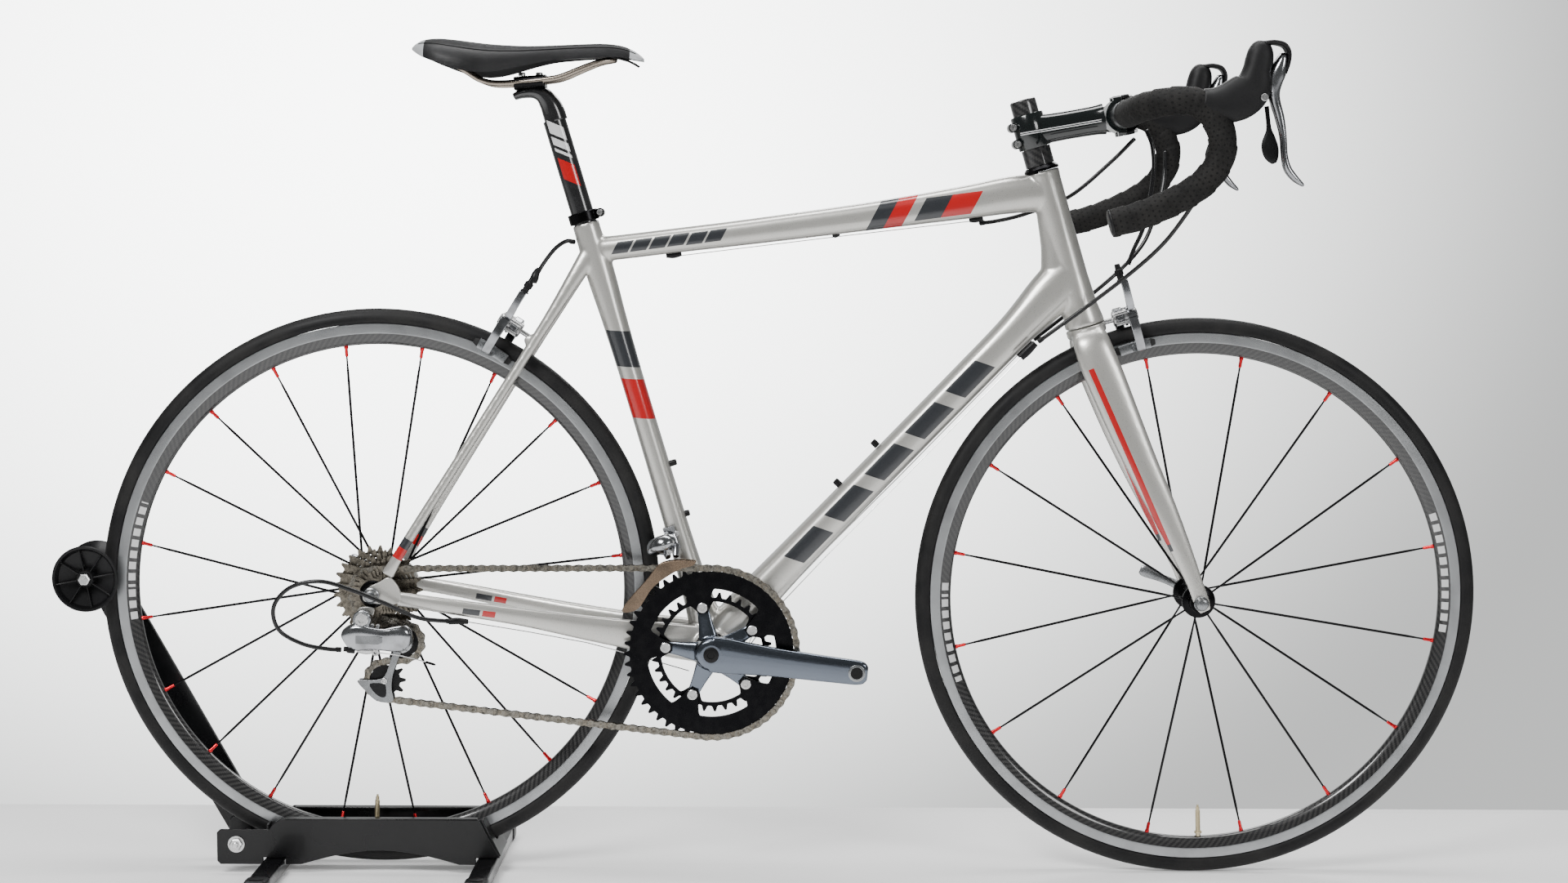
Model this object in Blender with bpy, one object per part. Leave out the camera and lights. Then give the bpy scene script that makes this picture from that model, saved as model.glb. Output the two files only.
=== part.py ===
"""A road racing bicycle whose rear wheel stands in a folded-steel display stand.

Lengths are metres. Shapes are laid out from the rear axle, with +X to the front of the bicycle,
+Y to its left and +Z up from the floor; one empty then moves the origin to the middle of the base.
"""

import math

import bmesh
import bpy
from mathutils import Matrix, Vector

# Driving dimensions of the bicycle
WHEELBASE = 0.974
TYRE_RADIUS = 0.334
TYRE_HALF_WIDTH = 0.0115
RIM_OUTER = 0.317
RIM_INNER = 0.291
RIM_HALF_WIDTH = 0.010
SPOKE_PHASE = math.radians(79.7)
VALVE_REACH = 0.0375
STAND_LIFT = 0.009
REAR_AXLE = (0.0, TYRE_RADIUS + STAND_LIFT)
FRONT_AXLE = (WHEELBASE, TYRE_RADIUS)
BOTTOM_BRACKET = (0.398, 0.272)
SEAT_TUBE_ANGLE = math.radians(73.4)
HEAD_TUBE_ANGLE = math.radians(73.8)
HEAD_TUBE_TOP = (0.787, 0.840)
HEAD_TUBE_LENGTH = 0.190
HUB_SPACE_FRONT = 0.100
HUB_SPACE_REAR = 0.130
BAR_CENTRE = (0.880, 0.9055)
BAR_HALF_WIDTH = 0.212
CRANK_LENGTH = 0.1725
CRANK_DROP = math.radians(6.5)
CHAIN_PITCH = 0.0127
CHAIN_HALF_HEIGHT = 0.0042
CHAIN_HALF_WIDTH = 0.0029
CHAIN_SPACING = 0.012
OUTER_RING_TEETH = 50
INNER_RING_TEETH = 34
COG_TEETH = 14
PULLEY_TEETH = 11
RING_Y = -0.0470
COG_Y = -0.0485
GUIDE_PULLEY = (0.033, 0.284)
TENSION_PULLEY = (0.011, 0.2385)

# Driving dimensions of the stand
ROLLER_AXLE = (-0.349, 0.355)
ROLLER_RADIUS = 0.040
ROLLER_HALF_WIDTH = 0.029
PIVOT_BOLT = (-0.172, 0.0366)
PLATE_INNER = 0.033
PLATE_THICKNESS = 0.003
FOOT_LENGTH = 0.300
FOOT_WIDTH = 0.026
FOOT_TOP = 0.020
ARM_INNER = 0.0365
ARM_OUTER = 0.0435

GAP = 0.0003
ORIGIN_X = (WHEELBASE + TYRE_RADIUS + ROLLER_AXLE[0] - ROLLER_RADIUS) / 2

# Directions in the side view, as (x, z)
SEAT_UP = (-math.cos(SEAT_TUBE_ANGLE), math.sin(SEAT_TUBE_ANGLE))
STEER_DOWN = (math.cos(HEAD_TUBE_ANGLE), -math.sin(HEAD_TUBE_ANGLE))
STEER_FRONT = (math.sin(HEAD_TUBE_ANGLE), math.cos(HEAD_TUBE_ANGLE))


def clear_scene():
    for old in list(bpy.data.objects):
        bpy.data.objects.remove(old, do_unlink=True)


def finish_material(name, colour, roughness, metallic):
    made = bpy.data.materials.new(name)
    made.use_nodes = True
    shader = made.node_tree.nodes["Principled BSDF"]
    shader.inputs["Base Color"].default_value = (*colour, 1.0)
    shader.inputs["Roughness"].default_value = roughness
    shader.inputs["Metallic"].default_value = metallic
    made.diffuse_color = (*colour, 1.0)
    return made


clear_scene()

SILVER_PAINT = finish_material("silver_paint", (0.52, 0.50, 0.46), 0.30, 0.6)
CARBON = finish_material("gloss_carbon", (0.02, 0.02, 0.022), 0.20, 0.1)
BLACK_ALLOY = finish_material("black_alloy", (0.015, 0.015, 0.017), 0.28, 0.6)
POLISHED_ALLOY = finish_material("polished_alloy", (0.62, 0.63, 0.65), 0.18, 1.0)
STEEL = finish_material("nickel_steel", (0.42, 0.39, 0.35), 0.32, 1.0)
RUBBER = finish_material("tyre_rubber", (0.018, 0.018, 0.019), 0.60, 0.0)
HOOD_RUBBER = finish_material("hood_rubber", (0.014, 0.014, 0.015), 0.55, 0.0)
TAPE = finish_material("bar_tape", (0.022, 0.021, 0.020), 0.75, 0.0)
SADDLE_COVER = finish_material("saddle_cover", (0.016, 0.016, 0.017), 0.40, 0.0)
BLACK_PLASTIC = finish_material("black_plastic", (0.012, 0.012, 0.013), 0.35, 0.0)
STAND_STEEL = finish_material("stand_steel", (0.010, 0.010, 0.011), 0.30, 0.3)
TITANIUM = finish_material("titanium", (0.50, 0.45, 0.40), 0.30, 1.0)
CABLE_SLEEVE = finish_material("cable_sleeve", (0.05, 0.05, 0.05), 0.35, 0.0)

ORIGIN = bpy.data.objects.new("bicycle_origin", None)
ORIGIN.location = (-ORIGIN_X, 0.0, 0.0)
bpy.context.scene.collection.objects.link(ORIGIN)


# Building blocks


def add_object(name, mesh_data, material, location=(0.0, 0.0, 0.0), sharp=40):
    """Links a bmesh, given in bicycle coordinates, as an object whose origin is at location."""
    bmesh.ops.translate(mesh_data, verts=mesh_data.verts, vec=-Vector(location))
    bmesh.ops.recalc_face_normals(mesh_data, faces=mesh_data.faces)
    mesh = bpy.data.meshes.new(name)
    mesh_data.to_mesh(mesh)
    mesh_data.free()
    mesh.shade_smooth()
    mesh.set_sharp_from_angle(angle=math.radians(sharp))
    mesh.materials.append(material)
    made = bpy.data.objects.new(name, mesh)
    made.location = location
    made.parent = ORIGIN
    bpy.context.scene.collection.objects.link(made)
    return made


def hide_helper(helper):
    helper.hide_render = True
    helper.display_type = "WIRE"


def boolean(target, helper, operation):
    hide_helper(helper)
    step = target.modifiers.new(f"{operation.lower()}_{helper.name}", "BOOLEAN")
    step.operation = operation
    step.solver = "EXACT"
    step.object = helper


def unite(target, helpers):
    for helper in helpers:
        boolean(target, helper, "UNION")


def cut(target, helpers):
    for helper in helpers:
        boolean(target, helper, "DIFFERENCE")


def skin(mesh_data, rings, closed=False):
    """Joins rings of vertices in order and caps both ends, or joins the last ring to the first."""
    pairs = list(zip(rings, rings[1:]))
    if closed:
        pairs.append((rings[-1], rings[0]))
    for first, second in pairs:
        count = len(first)
        for i in range(count):
            j = (i + 1) % count
            mesh_data.faces.new((first[i], first[j], second[j], second[i]))
    if not closed:
        mesh_data.faces.new(rings[0])
        mesh_data.faces.new(rings[-1])


def smooth_path(points, steps):
    """Points on a Catmull-Rom curve through the given ones."""
    points = [Vector(point) for point in points]
    ends = [2 * points[0] - points[1], *points, 2 * points[-1] - points[-2]]
    path = []
    for a, b, c, d in zip(ends, ends[1:], ends[2:], ends[3:]):
        for step in range(steps):
            t = step / steps
            path.append(
                0.5
                * (
                    2 * b
                    + (c - a) * t
                    + (2 * a - 5 * b + 4 * c - d) * t**2
                    + (3 * b - a - 3 * c + d) * t**3
                )
            )
    path.append(points[-1])
    return path


def path_frames(path):
    """A (side, up) pair across each point of a path, carried along it without twist."""
    tangents = []
    for i in range(len(path)):
        before = path[max(i - 1, 0)]
        after = path[min(i + 1, len(path) - 1)]
        tangents.append((after - before).normalized())
    side = Vector((0, 1, 0))
    if abs(tangents[0].y) > 0.9:
        side = Vector((1, 0, 0))
    frames = []
    for tangent in tangents:
        side = (side - tangent * side.dot(tangent)).normalized()
        frames.append((side, side.cross(tangent)))
    return frames


def section(centre, side, up, half_side, half_up, count, power=2.0):
    """A ring of points on a superellipse: a power of 2 is an ellipse, more is squarer."""
    ring = []
    for i in range(count):
        angle = 2 * math.pi * (i + 0.5) / count
        c = math.cos(angle)
        s = math.sin(angle)
        x = math.copysign(abs(c) ** (2 / power), c) * half_side
        y = math.copysign(abs(s) ** (2 / power), s) * half_up
        ring.append(centre + side * x + up * y)
    return ring


def add_rings(mesh_data, rings, closed=False):
    skin(mesh_data, [[mesh_data.verts.new(p) for p in ring] for ring in rings], closed)


def sweep(name, path, halves, material, count=12, power=2.0, sharp=60):
    """A solid along a path; halves gives (half width across, half height) at each point."""
    path = [Vector(point) for point in path]
    rings = []
    for point, (side, up), (half_side, half_up) in zip(path, path_frames(path), halves):
        rings.append(section(point, side, up, half_side, half_up, count, power))
    mesh_data = bmesh.new()
    add_rings(mesh_data, rings)
    return add_object(name, mesh_data, material, sharp=sharp)


def rod(name, path, radius, material, count=5):
    return sweep(name, path, [(radius, radius)] * len(path), material, count)


def turned(name, profile, centre, axis, material, segments=32, sharp=35, phase=0.5):
    """Turns (radius, height) points about axis; a profile off the axis is a closed ring."""
    turn = Vector((0, 0, 1)).rotation_difference(Vector(axis)).to_matrix()
    centre = Vector(centre)
    solid = profile[0][0] == 0
    mesh_data = bmesh.new()
    rows = []
    for radius, height in profile:
        count = 1 if radius == 0 else segments
        row = []
        for i in range(count):
            angle = 2 * math.pi * (i + phase) / segments
            point = Vector((radius * math.cos(angle), radius * math.sin(angle), height))
            row.append(mesh_data.verts.new(centre + turn @ point))
        rows.append(row)
    pairs = list(zip(rows, rows[1:]))
    if not solid:
        pairs.append((rows[-1], rows[0]))
    for first, second in pairs:
        for i in range(segments):
            j = (i + 1) % segments
            corners = [first[i % len(first)], first[j % len(first)]]
            corners += [second[j % len(second)], second[i % len(second)]]
            mesh_data.faces.new(list(dict.fromkeys(corners)))
    return add_object(name, mesh_data, material, location=centre, sharp=sharp)


def cylinder(name, centre, axis, radius, length, material, segments=24):
    half = length / 2
    profile = [(0, -half), (radius, -half), (radius, half), (0, half)]
    return turned(name, profile, centre, axis, material, segments)


def plate(name, outline, origin, across, up, thickness, material, sharp=30):
    """Extrudes an outline, in the across and up directions, along their cross product."""
    origin = Vector(origin)
    across = Vector(across)
    up = Vector(up)
    normal = across.cross(up).normalized()
    flat = [origin + across * a + up * b for a, b in outline]
    raised = [point + normal * thickness for point in flat]
    mesh_data = bmesh.new()
    add_rings(mesh_data, [flat, raised])
    return add_object(name, mesh_data, material, sharp=sharp)


def side_plate(name, outline, y_low, y_high, material):
    """A flat part given by its side view, between two distances to the left."""
    return plate(name, outline, (0, y_high, 0), (1, 0, 0), (0, 0, 1), y_high - y_low, material)


def block(name, centre, size, material, turn=0.0):
    """A box, turned about Y by an angle that lifts its front."""
    mesh_data = bmesh.new()
    bmesh.ops.create_cube(mesh_data, size=1.0)
    place = Matrix.Translation(centre) @ Matrix.Rotation(-turn, 4, "Y") @ Matrix.Diagonal((*size, 1))
    bmesh.ops.transform(mesh_data, matrix=place, verts=mesh_data.verts)
    return add_object(name, mesh_data, material)


def at_side(point, y):
    return Vector((point[0], y, point[1]))


def along_steering(down, front=0.0):
    """The side-view point that far down the steering axis and in front of it."""
    x = HEAD_TUBE_TOP[0] + STEER_DOWN[0] * down + STEER_FRONT[0] * front
    z = HEAD_TUBE_TOP[1] + STEER_DOWN[1] * down + STEER_FRONT[1] * front
    return (x, z)


def along_seat_tube(up):
    return (BOTTOM_BRACKET[0] + SEAT_UP[0] * up, BOTTOM_BRACKET[1] + SEAT_UP[1] * up)


def mirrored(points):
    return [(x, -y, z) for x, y, z in points]


def in_3d(direction):
    return Vector((direction[0], 0, direction[1]))


# Wheels


def make_tyre(name, axle):
    w = TYRE_HALF_WIDTH
    bead = RIM_OUTER + GAP
    profile = [
        (bead, -0.0085),
        (0.3225, -w),
        (0.3300, -0.76 * w),
        (TYRE_RADIUS, 0.0),
        (0.3300, 0.76 * w),
        (0.3225, w),
        (bead, 0.0085),
    ]
    return turned(name, profile, at_side(axle, 0), (0, -1, 0), RUBBER, segments=48, phase=0)


def make_rim(name, axle, valve_angle):
    profile = [
        (RIM_INNER, -0.005),
        (0.303, -0.0098),
        (RIM_OUTER, -RIM_HALF_WIDTH),
        (RIM_OUTER, RIM_HALF_WIDTH),
        (0.303, 0.0098),
        (RIM_INNER, 0.005),
    ]
    rim = turned(name, profile, at_side(axle, 0), (0, -1, 0), POLISHED_ALLOY, segments=48, phase=0)
    radial = Vector((math.cos(valve_angle), 0, math.sin(valve_angle)))
    start = at_side(axle, 0) + radial * (RIM_INNER + 0.004)
    stem = [start, at_side(axle, 0) + radial * (RIM_INNER - VALVE_REACH)]
    unite(rim, [rod(f"{name}_valve", stem, 0.0030, POLISHED_ALLOY, 8)])


def make_spokes(name, axle, count, flanges, flange_radius):
    """Bladed spokes, every other one from the other flange, ending just inside the rim."""
    half_blade = 0.0012
    half_thick = 0.0007
    mesh_data = bmesh.new()
    for i in range(count):
        angle = SPOKE_PHASE + 2 * math.pi * i / count
        radial = Vector((math.cos(angle), 0, math.sin(angle)))
        tangent = Vector((-math.sin(angle), 0, math.cos(angle)))
        centre = at_side(axle, 0)
        inner = centre + radial * flange_radius + Vector((0, flanges[i % 2], 0))
        outer = centre + radial * (RIM_INNER - 4 * GAP)
        run = (outer - inner).normalized()
        thick = run.cross(tangent)
        corners = ((1, 1), (-1, 1), (-1, -1), (1, -1))
        rings = []
        for end in (inner, outer):
            rings.append([end + tangent * half_blade * a + thick * half_thick * b for a, b in corners])
        add_rings(mesh_data, rings)
    return add_object(name, mesh_data, BLACK_ALLOY, location=at_side(axle, 0))


def make_front_wheel():
    make_tyre("front_tyre", FRONT_AXLE)
    make_rim("front_rim", FRONT_AXLE, math.radians(-88.1))
    half = HUB_SPACE_FRONT / 2
    profile = [
        (0.0055, -0.046),
        (0.0110, -0.046),
        (0.0125, -0.039),
        (0.0200, -0.0375),
        (0.0200, -0.0345),
        (0.0110, -0.028),
        (0.0110, 0.028),
        (0.0200, 0.0345),
        (0.0200, 0.0375),
        (0.0125, 0.039),
        (0.0110, 0.046),
        (0.0055, 0.046),
    ]
    hub = turned("front_hub", profile, at_side(FRONT_AXLE, 0), (0, 1, 0), BLACK_ALLOY, 14)
    unite(hub, [make_spokes("front_spokes", FRONT_AXLE, 16, (0.036, -0.036), 0.017)])
    profile = [
        (0, -half - 0.0185),
        (0.0080, -half - 0.0185),
        (0.0090, -half - 0.0067),
        (0.0025, -half - 0.0067),
        (0.0025, -half),
        (0.0085, -half),
        (0.0085, -half + 0.0035),
        (0.0050, -half + 0.0035),
        (0.0050, half - 0.0035),
        (0.0085, half - 0.0035),
        (0.0085, half),
        (0.0025, half),
        (0.0025, half + 0.0067),
        (0.0085, half + 0.0067),
        (0.0085, half + 0.0140),
        (0, half + 0.0140),
    ]
    turned("front_axle", profile, at_side(FRONT_AXLE, 0), (0, 1, 0), POLISHED_ALLOY, 12)
    make_release_lever("front_release_lever", FRONT_AXLE, half + 0.0245, (-0.926, 0.377))


def make_rear_wheel():
    make_tyre("rear_tyre", REAR_AXLE)
    make_rim("rear_rim", REAR_AXLE, math.radians(-91.8))
    half = HUB_SPACE_REAR / 2
    profile = [
        (0.0055, -0.0190),
        (0.0190, -0.0190),
        (0.0230, -0.0180),
        (0.0230, -0.0150),
        (0.0130, -0.0080),
        (0.0120, 0.0280),
        (0.0210, 0.0345),
        (0.0210, 0.0375),
        (0.0130, 0.0390),
        (0.0120, 0.0600),
        (0.0055, 0.0600),
    ]
    hub = turned("rear_hub", profile, at_side(REAR_AXLE, 0), (0, 1, 0), BLACK_ALLOY, 14)
    unite(hub, [make_spokes("rear_spokes", REAR_AXLE, 20, (0.036, -0.0165), 0.018)])
    profile = [
        (0, -half - 0.0180),
        (0.0090, -half - 0.0180),
        (0.0095, -half - 0.0057),
        (0.0025, -half - 0.0057),
        (0.0025, -half),
        (0.0090, -half),
        (0.0090, -half + 0.0035),
        (0.0050, -half + 0.0035),
        (0.0050, half - 0.0035),
        (0.0090, half - 0.0035),
        (0.0090, half),
        (0.0025, half),
        (0.0025, half + 0.0057),
        (0.0090, half + 0.0057),
        (0.0090, half + 0.0140),
        (0, half + 0.0140),
    ]
    turned("rear_axle", profile, at_side(REAR_AXLE, 0), (0, 1, 0), POLISHED_ALLOY, 12)
    make_release_lever("rear_release_lever", REAR_AXLE, half + 0.0245, (-0.926, 0.377))


def make_release_lever(name, axle, y, direction):
    """A quick-release lever lying against the wheel, its cam end on the axle line."""
    steps = (
        (-0.0075, 0.0070),
        (0.0, 0.0085),
        (0.009, 0.0070),
        (0.030, 0.0050),
        (0.052, 0.0070),
        (0.060, 0.0050),
    )
    path = []
    halves = []
    for distance, half in steps:
        lean = 0.00012 * (distance / 0.01) ** 2
        path.append(at_side((axle[0] + direction[0] * distance, axle[1] + direction[1] * distance), y + lean))
        halves.append((0.0050 if distance < 0.01 else 0.0030, half))
    return sweep(name, path, halves, POLISHED_ALLOY, count=8)


# Frame and fork


def make_frame():
    bb = BOTTOM_BRACKET
    half = HEAD_TUBE_LENGTH
    centre = at_side(HEAD_TUBE_TOP, 0)
    profile = [(0, 0), (0.0198, 0), (0.0192, 0.03), (0.0195, 0.12), (0.0235, half), (0, half)]
    frame = turned("frame", profile, centre, in_3d(STEER_DOWN), SILVER_PAINT, 24)
    top_path = [
        (0.262, 0, 0.748),
        (0.330, 0, 0.755),
        (0.424, 0, 0.766),
        (0.606, 0, 0.790),
        (0.700, 0, 0.802),
        (0.790, 0, 0.813),
    ]
    top_halves = [(0.0150, 0.0145), (0.0155, 0.0145), (0.0165, 0.0150), (0.0175, 0.0165)]
    top_halves += [(0.0180, 0.0178), (0.0180, 0.0190)]
    down_path = [
        (0.405, 0, 0.279),
        (0.450, 0, 0.323),
        (0.520, 0, 0.4066),
        (0.700, 0, 0.5929),
        (0.780, 0, 0.6757),
        (0.818, 0, 0.7150),
    ]
    down_halves = [(0.0310, 0.0240), (0.0280, 0.0235), (0.0250, 0.0210), (0.0230, 0.0206)]
    down_halves += [(0.0225, 0.0215), (0.0190, 0.0230)]
    seat_steps = [
        (0.000, 0.0250, 0.0200),
        (0.060, 0.0220, 0.0175),
        (0.140, 0.0180, 0.0145),
        (0.340, 0.0175, 0.0137),
        (0.410, 0.0175, 0.0152),
        (0.480, 0.0168, 0.0158),
        (0.528, 0.0160, 0.0158),
    ]
    seat_path = [at_side(along_seat_tube(up), 0) for up, _, _ in seat_steps]
    seat_halves = [(across, fore) for _, across, fore in seat_steps]
    helpers = [
        sweep("frame_seat_tube", seat_path, seat_halves, SILVER_PAINT, 12),
        sweep("frame_top_tube", top_path, top_halves, SILVER_PAINT, 12, power=2.6),
        sweep("frame_down_tube", down_path, down_halves, SILVER_PAINT, 12, power=3.0),
        cylinder("frame_bracket_shell", at_side(bb, 0), (0, 1, 0), 0.0245, 0.068, SILVER_PAINT, 24),
    ]
    stay_path = [
        (0.405, -0.020, 0.277),
        (0.362, -0.0245, 0.283),
        (0.310, -0.0300, 0.2910),
        (0.250, -0.0385, 0.3010),
        (0.175, -0.0500, 0.3150),
        (0.090, -0.0640, 0.3290),
        (0.024, -0.0675, 0.3395),
    ]
    stay_halves = [(0.0080, 0.0180), (0.0080, 0.0175), (0.0080, 0.0150), (0.0078, 0.0130)]
    stay_halves += [(0.0070, 0.0110), (0.0050, 0.0095), (0.0028, 0.0095)]
    upper_path = [
        (0.255, -0.0082, 0.745),
        (0.236, -0.0140, 0.716),
        (0.208, -0.0205, 0.6700),
        (0.180, -0.0255, 0.6260),
        (0.120, -0.0400, 0.5310),
        (0.060, -0.0575, 0.4360),
        (0.030, -0.0665, 0.3870),
        (0.014, -0.0678, 0.3600),
    ]
    upper_halves = [(0.0070, 0.0120), (0.0070, 0.0095), (0.0065, 0.0070), (0.0062, 0.0063)]
    upper_halves += [(0.0060, 0.0060), (0.0055, 0.0062), (0.0040, 0.0066), (0.0026, 0.0070)]
    dropout = [
        (-0.0130, 0.3500),
        (-0.0060, 0.3590),
        (0.0100, 0.3680),
        (0.0240, 0.3640),
        (0.0330, 0.3490),
        (0.0300, 0.3310),
        (0.0080, 0.3290),
        (-0.0080, 0.3310),
        (-0.0140, 0.3400),
    ]
    inner = HUB_SPACE_REAR / 2 + GAP
    outer = inner + 0.0050
    for side, word in ((1, "right"), (-1, "left")):
        lower = stay_path if side > 0 else mirrored(stay_path)
        upper = upper_path if side > 0 else mirrored(upper_path)
        helpers.append(sweep(f"frame_chain_stay_{word}", lower, stay_halves, SILVER_PAINT, 8, 2.4))
        helpers.append(sweep(f"frame_seat_stay_{word}", upper, upper_halves, SILVER_PAINT, 8))
        low, high = sorted((-side * inner, -side * outer))
        helpers.append(side_plate(f"frame_dropout_{word}", dropout, low, high, SILVER_PAINT))
    bridge_path = [(0.183, -0.0255, 0.6400), (0.183, 0.0255, 0.6400)]
    helpers.append(sweep("frame_brake_bridge", bridge_path, [(0.007, 0.006)] * 2, SILVER_PAINT, 8))
    unite(frame, helpers)
    steerer = along_steering(HEAD_TUBE_LENGTH / 2)
    post = along_seat_tube(0.470)
    axle = at_side(REAR_AXLE, 0)
    cutters = [
        cylinder("frame_steerer_bore", at_side(steerer, 0), in_3d(STEER_DOWN), 0.0150, 0.260, STEEL),
        cylinder("frame_post_bore", at_side(post, 0), in_3d(SEAT_UP), 0.0139, 0.140, STEEL),
        cylinder("frame_bracket_bore", at_side(bb, 0), (0, 1, 0), 0.0196, 0.090, STEEL),
        cylinder("frame_axle_slot", axle, (0, 1, 0), 0.0052, 0.160, STEEL, 16),
    ]
    cut(frame, cutters)
    return frame


def make_fork():
    centre = at_side(HEAD_TUBE_TOP, 0)
    crown = HEAD_TUBE_LENGTH + GAP
    profile = [
        (0, -0.0800),
        (0.0143, -0.0800),
        (0.0143, crown),
        (0.0235, crown),
        (0.0240, crown + 0.012),
        (0, crown + 0.012),
    ]
    fork = turned("fork", profile, centre, in_3d(STEER_DOWN), SILVER_PAINT, 24)
    blade_path = [
        tuple(at_side(along_steering(crown + 0.0030), -0.0190)),
        tuple(at_side(along_steering(crown + 0.0200), -0.0235)),
        (0.8622, -0.0330, 0.5950),
        (0.8830, -0.0380, 0.5450),
        (0.9050, -0.0430, 0.4950),
        (0.9275, -0.0470, 0.4476),
        (0.9500, -0.0505, 0.3980),
        (0.9650, -0.0530, 0.3600),
        (0.9780, -0.0533, 0.3230),
    ]
    blade_halves = [(0.0120, 0.0205), (0.0120, 0.0225), (0.0100, 0.0230), (0.0090, 0.0215)]
    blade_halves += [(0.0080, 0.0190), (0.0070, 0.0165), (0.0055, 0.0125), (0.0032, 0.0090)]
    blade_halves += [(0.0030, 0.0080)]
    helpers = []
    for word, path in (("right", blade_path), ("left", mirrored(blade_path))):
        helpers.append(sweep(f"fork_blade_{word}", path, blade_halves, SILVER_PAINT, 12, 2.2))
    unite(fork, helpers)
    axle = at_side(FRONT_AXLE, 0)
    cut(fork, [cylinder("fork_axle_slot", axle, (0, 1, 0), 0.0052, 0.130, STEEL, 16)])
    return fork


# Steering parts and handlebar


STEM_LOW = -0.0290
STEM_HIGH = -0.0690
STEM_TOP = -0.0850


def make_headset_stack():
    profile = [
        (0.0146, -GAP),
        (0.0205, -GAP),
        (0.0200, -0.0050),
        (0.0170, -0.0070),
        (0.0170, STEM_LOW + GAP),
        (0.0146, STEM_LOW + GAP),
    ]
    turned("headset_stack", profile, at_side(HEAD_TUBE_TOP, 0), in_3d(STEER_DOWN), CARBON, 20)


def make_stem():
    centre = at_side(HEAD_TUBE_TOP, 0)
    profile = [
        (0, STEM_TOP),
        (0.0165, STEM_TOP),
        (0.0165, STEM_HIGH),
        (0.0195, STEM_HIGH),
        (0.0195, STEM_LOW),
        (0, STEM_LOW),
    ]
    stem = turned("stem", profile, centre, in_3d(STEER_DOWN), BLACK_ALLOY, 24)
    start = along_steering((STEM_LOW + STEM_HIGH) / 2)
    path = [at_side(start, 0), at_side(BAR_CENTRE, 0)]
    steps = (0.0, 0.25, 0.6, 0.85, 1.0)
    path = [path[0].lerp(path[1], step) for step in steps]
    halves = [(0.0175, 0.0175), (0.0170, 0.0170), (0.0165, 0.0175), (0.0190, 0.0195), (0.0200, 0.0205)]
    helpers = [sweep("stem_extension", path, halves, BLACK_ALLOY, 12, 2.6)]
    clamp = at_side(BAR_CENTRE, 0)
    helpers.append(cylinder("stem_bar_seat", clamp, (0, 1, 0), 0.0208, 0.044, BLACK_ALLOY, 24))
    unite(stem, helpers)
    reach = (path[-1] - path[0]).normalized()
    lift = math.atan2(reach.z, reach.x)
    front = clamp + reach * 0.0252
    bore = centre - in_3d(STEER_DOWN) * 0.050
    cutters = [
        cylinder("stem_steerer_bore", bore, in_3d(STEER_DOWN), 0.0146, 0.0606, STEEL),
        cylinder("stem_bar_bore", clamp, (0, 1, 0), 0.0162, 0.080, STEEL),
        block("stem_front_cut", front, (0.050, 0.080, 0.060), STEEL, lift),
    ]
    cut(stem, cutters)
    outline = []
    for radius, turns in ((0.0208, range(11)), (0.0162, range(10, -1, -1))):
        for i in turns:
            angle = lift + math.pi * (i / 10 - 0.5)
            x = BAR_CENTRE[0] + radius * math.cos(angle) + 0.0006
            outline.append((x, BAR_CENTRE[1] + radius * math.sin(angle)))
    side_plate("stem_faceplate", outline, -0.022, 0.022, BLACK_ALLOY)


def bar_path():
    """The right half of the handlebar's centre line, from the stem to its end."""
    y = -BAR_HALF_WIDTH
    points = [
        (BAR_CENTRE[0], 0.0, BAR_CENTRE[1]),
        (BAR_CENTRE[0], -0.060, BAR_CENTRE[1]),
        (0.8805, -0.130, 0.9065),
        (0.8880, -0.175, 0.9095),
        (0.9080, -0.202, 0.9130),
        (0.9320, -0.2115, 0.9125),
        (0.9530, y, 0.8985),
        (0.9640, y, 0.8760),
        (0.9640, y, 0.8540),
        (0.9530, y, 0.8330),
        (0.9330, y, 0.8150),
        (0.9020, y, 0.7985),
        (0.8700, y, 0.7860),
        (0.8455, y, 0.7794),
    ]
    return points


BAR_SIDES = 10
BAR_STEPS = 1
BAR_RADIUS = 0.0120
TAPE_RADIUS = 0.0158
CLAMP_RADIUS = 0.0159


def make_handlebar():
    right = smooth_path(bar_path(), BAR_STEPS)
    left = smooth_path(mirrored(bar_path()), BAR_STEPS)
    path = left[::-1] + right[1:]
    halves = []
    for point in path:
        radius = BAR_RADIUS
        if abs(point.y) < 0.035:
            radius = CLAMP_RADIUS
        halves.append((radius, radius))
    sweep("handlebar", path, halves, BLACK_ALLOY, BAR_SIDES)
    frames = path_frames(path)
    for word, side in (("right", -1), ("left", 1)):
        rings = []
        chosen = [i for i, point in enumerate(path) if point.y * side > 0.058]
        for radius, order in ((TAPE_RADIUS, chosen), (BAR_RADIUS + 3 * GAP, chosen[::-1])):
            for i in order:
                rings.append(section(path[i], *frames[i], radius, radius, BAR_SIDES))
        mesh_data = bmesh.new()
        add_rings(mesh_data, rings, closed=True)
        add_object(f"bar_tape_{word}", mesh_data, TAPE, sharp=60)


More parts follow.
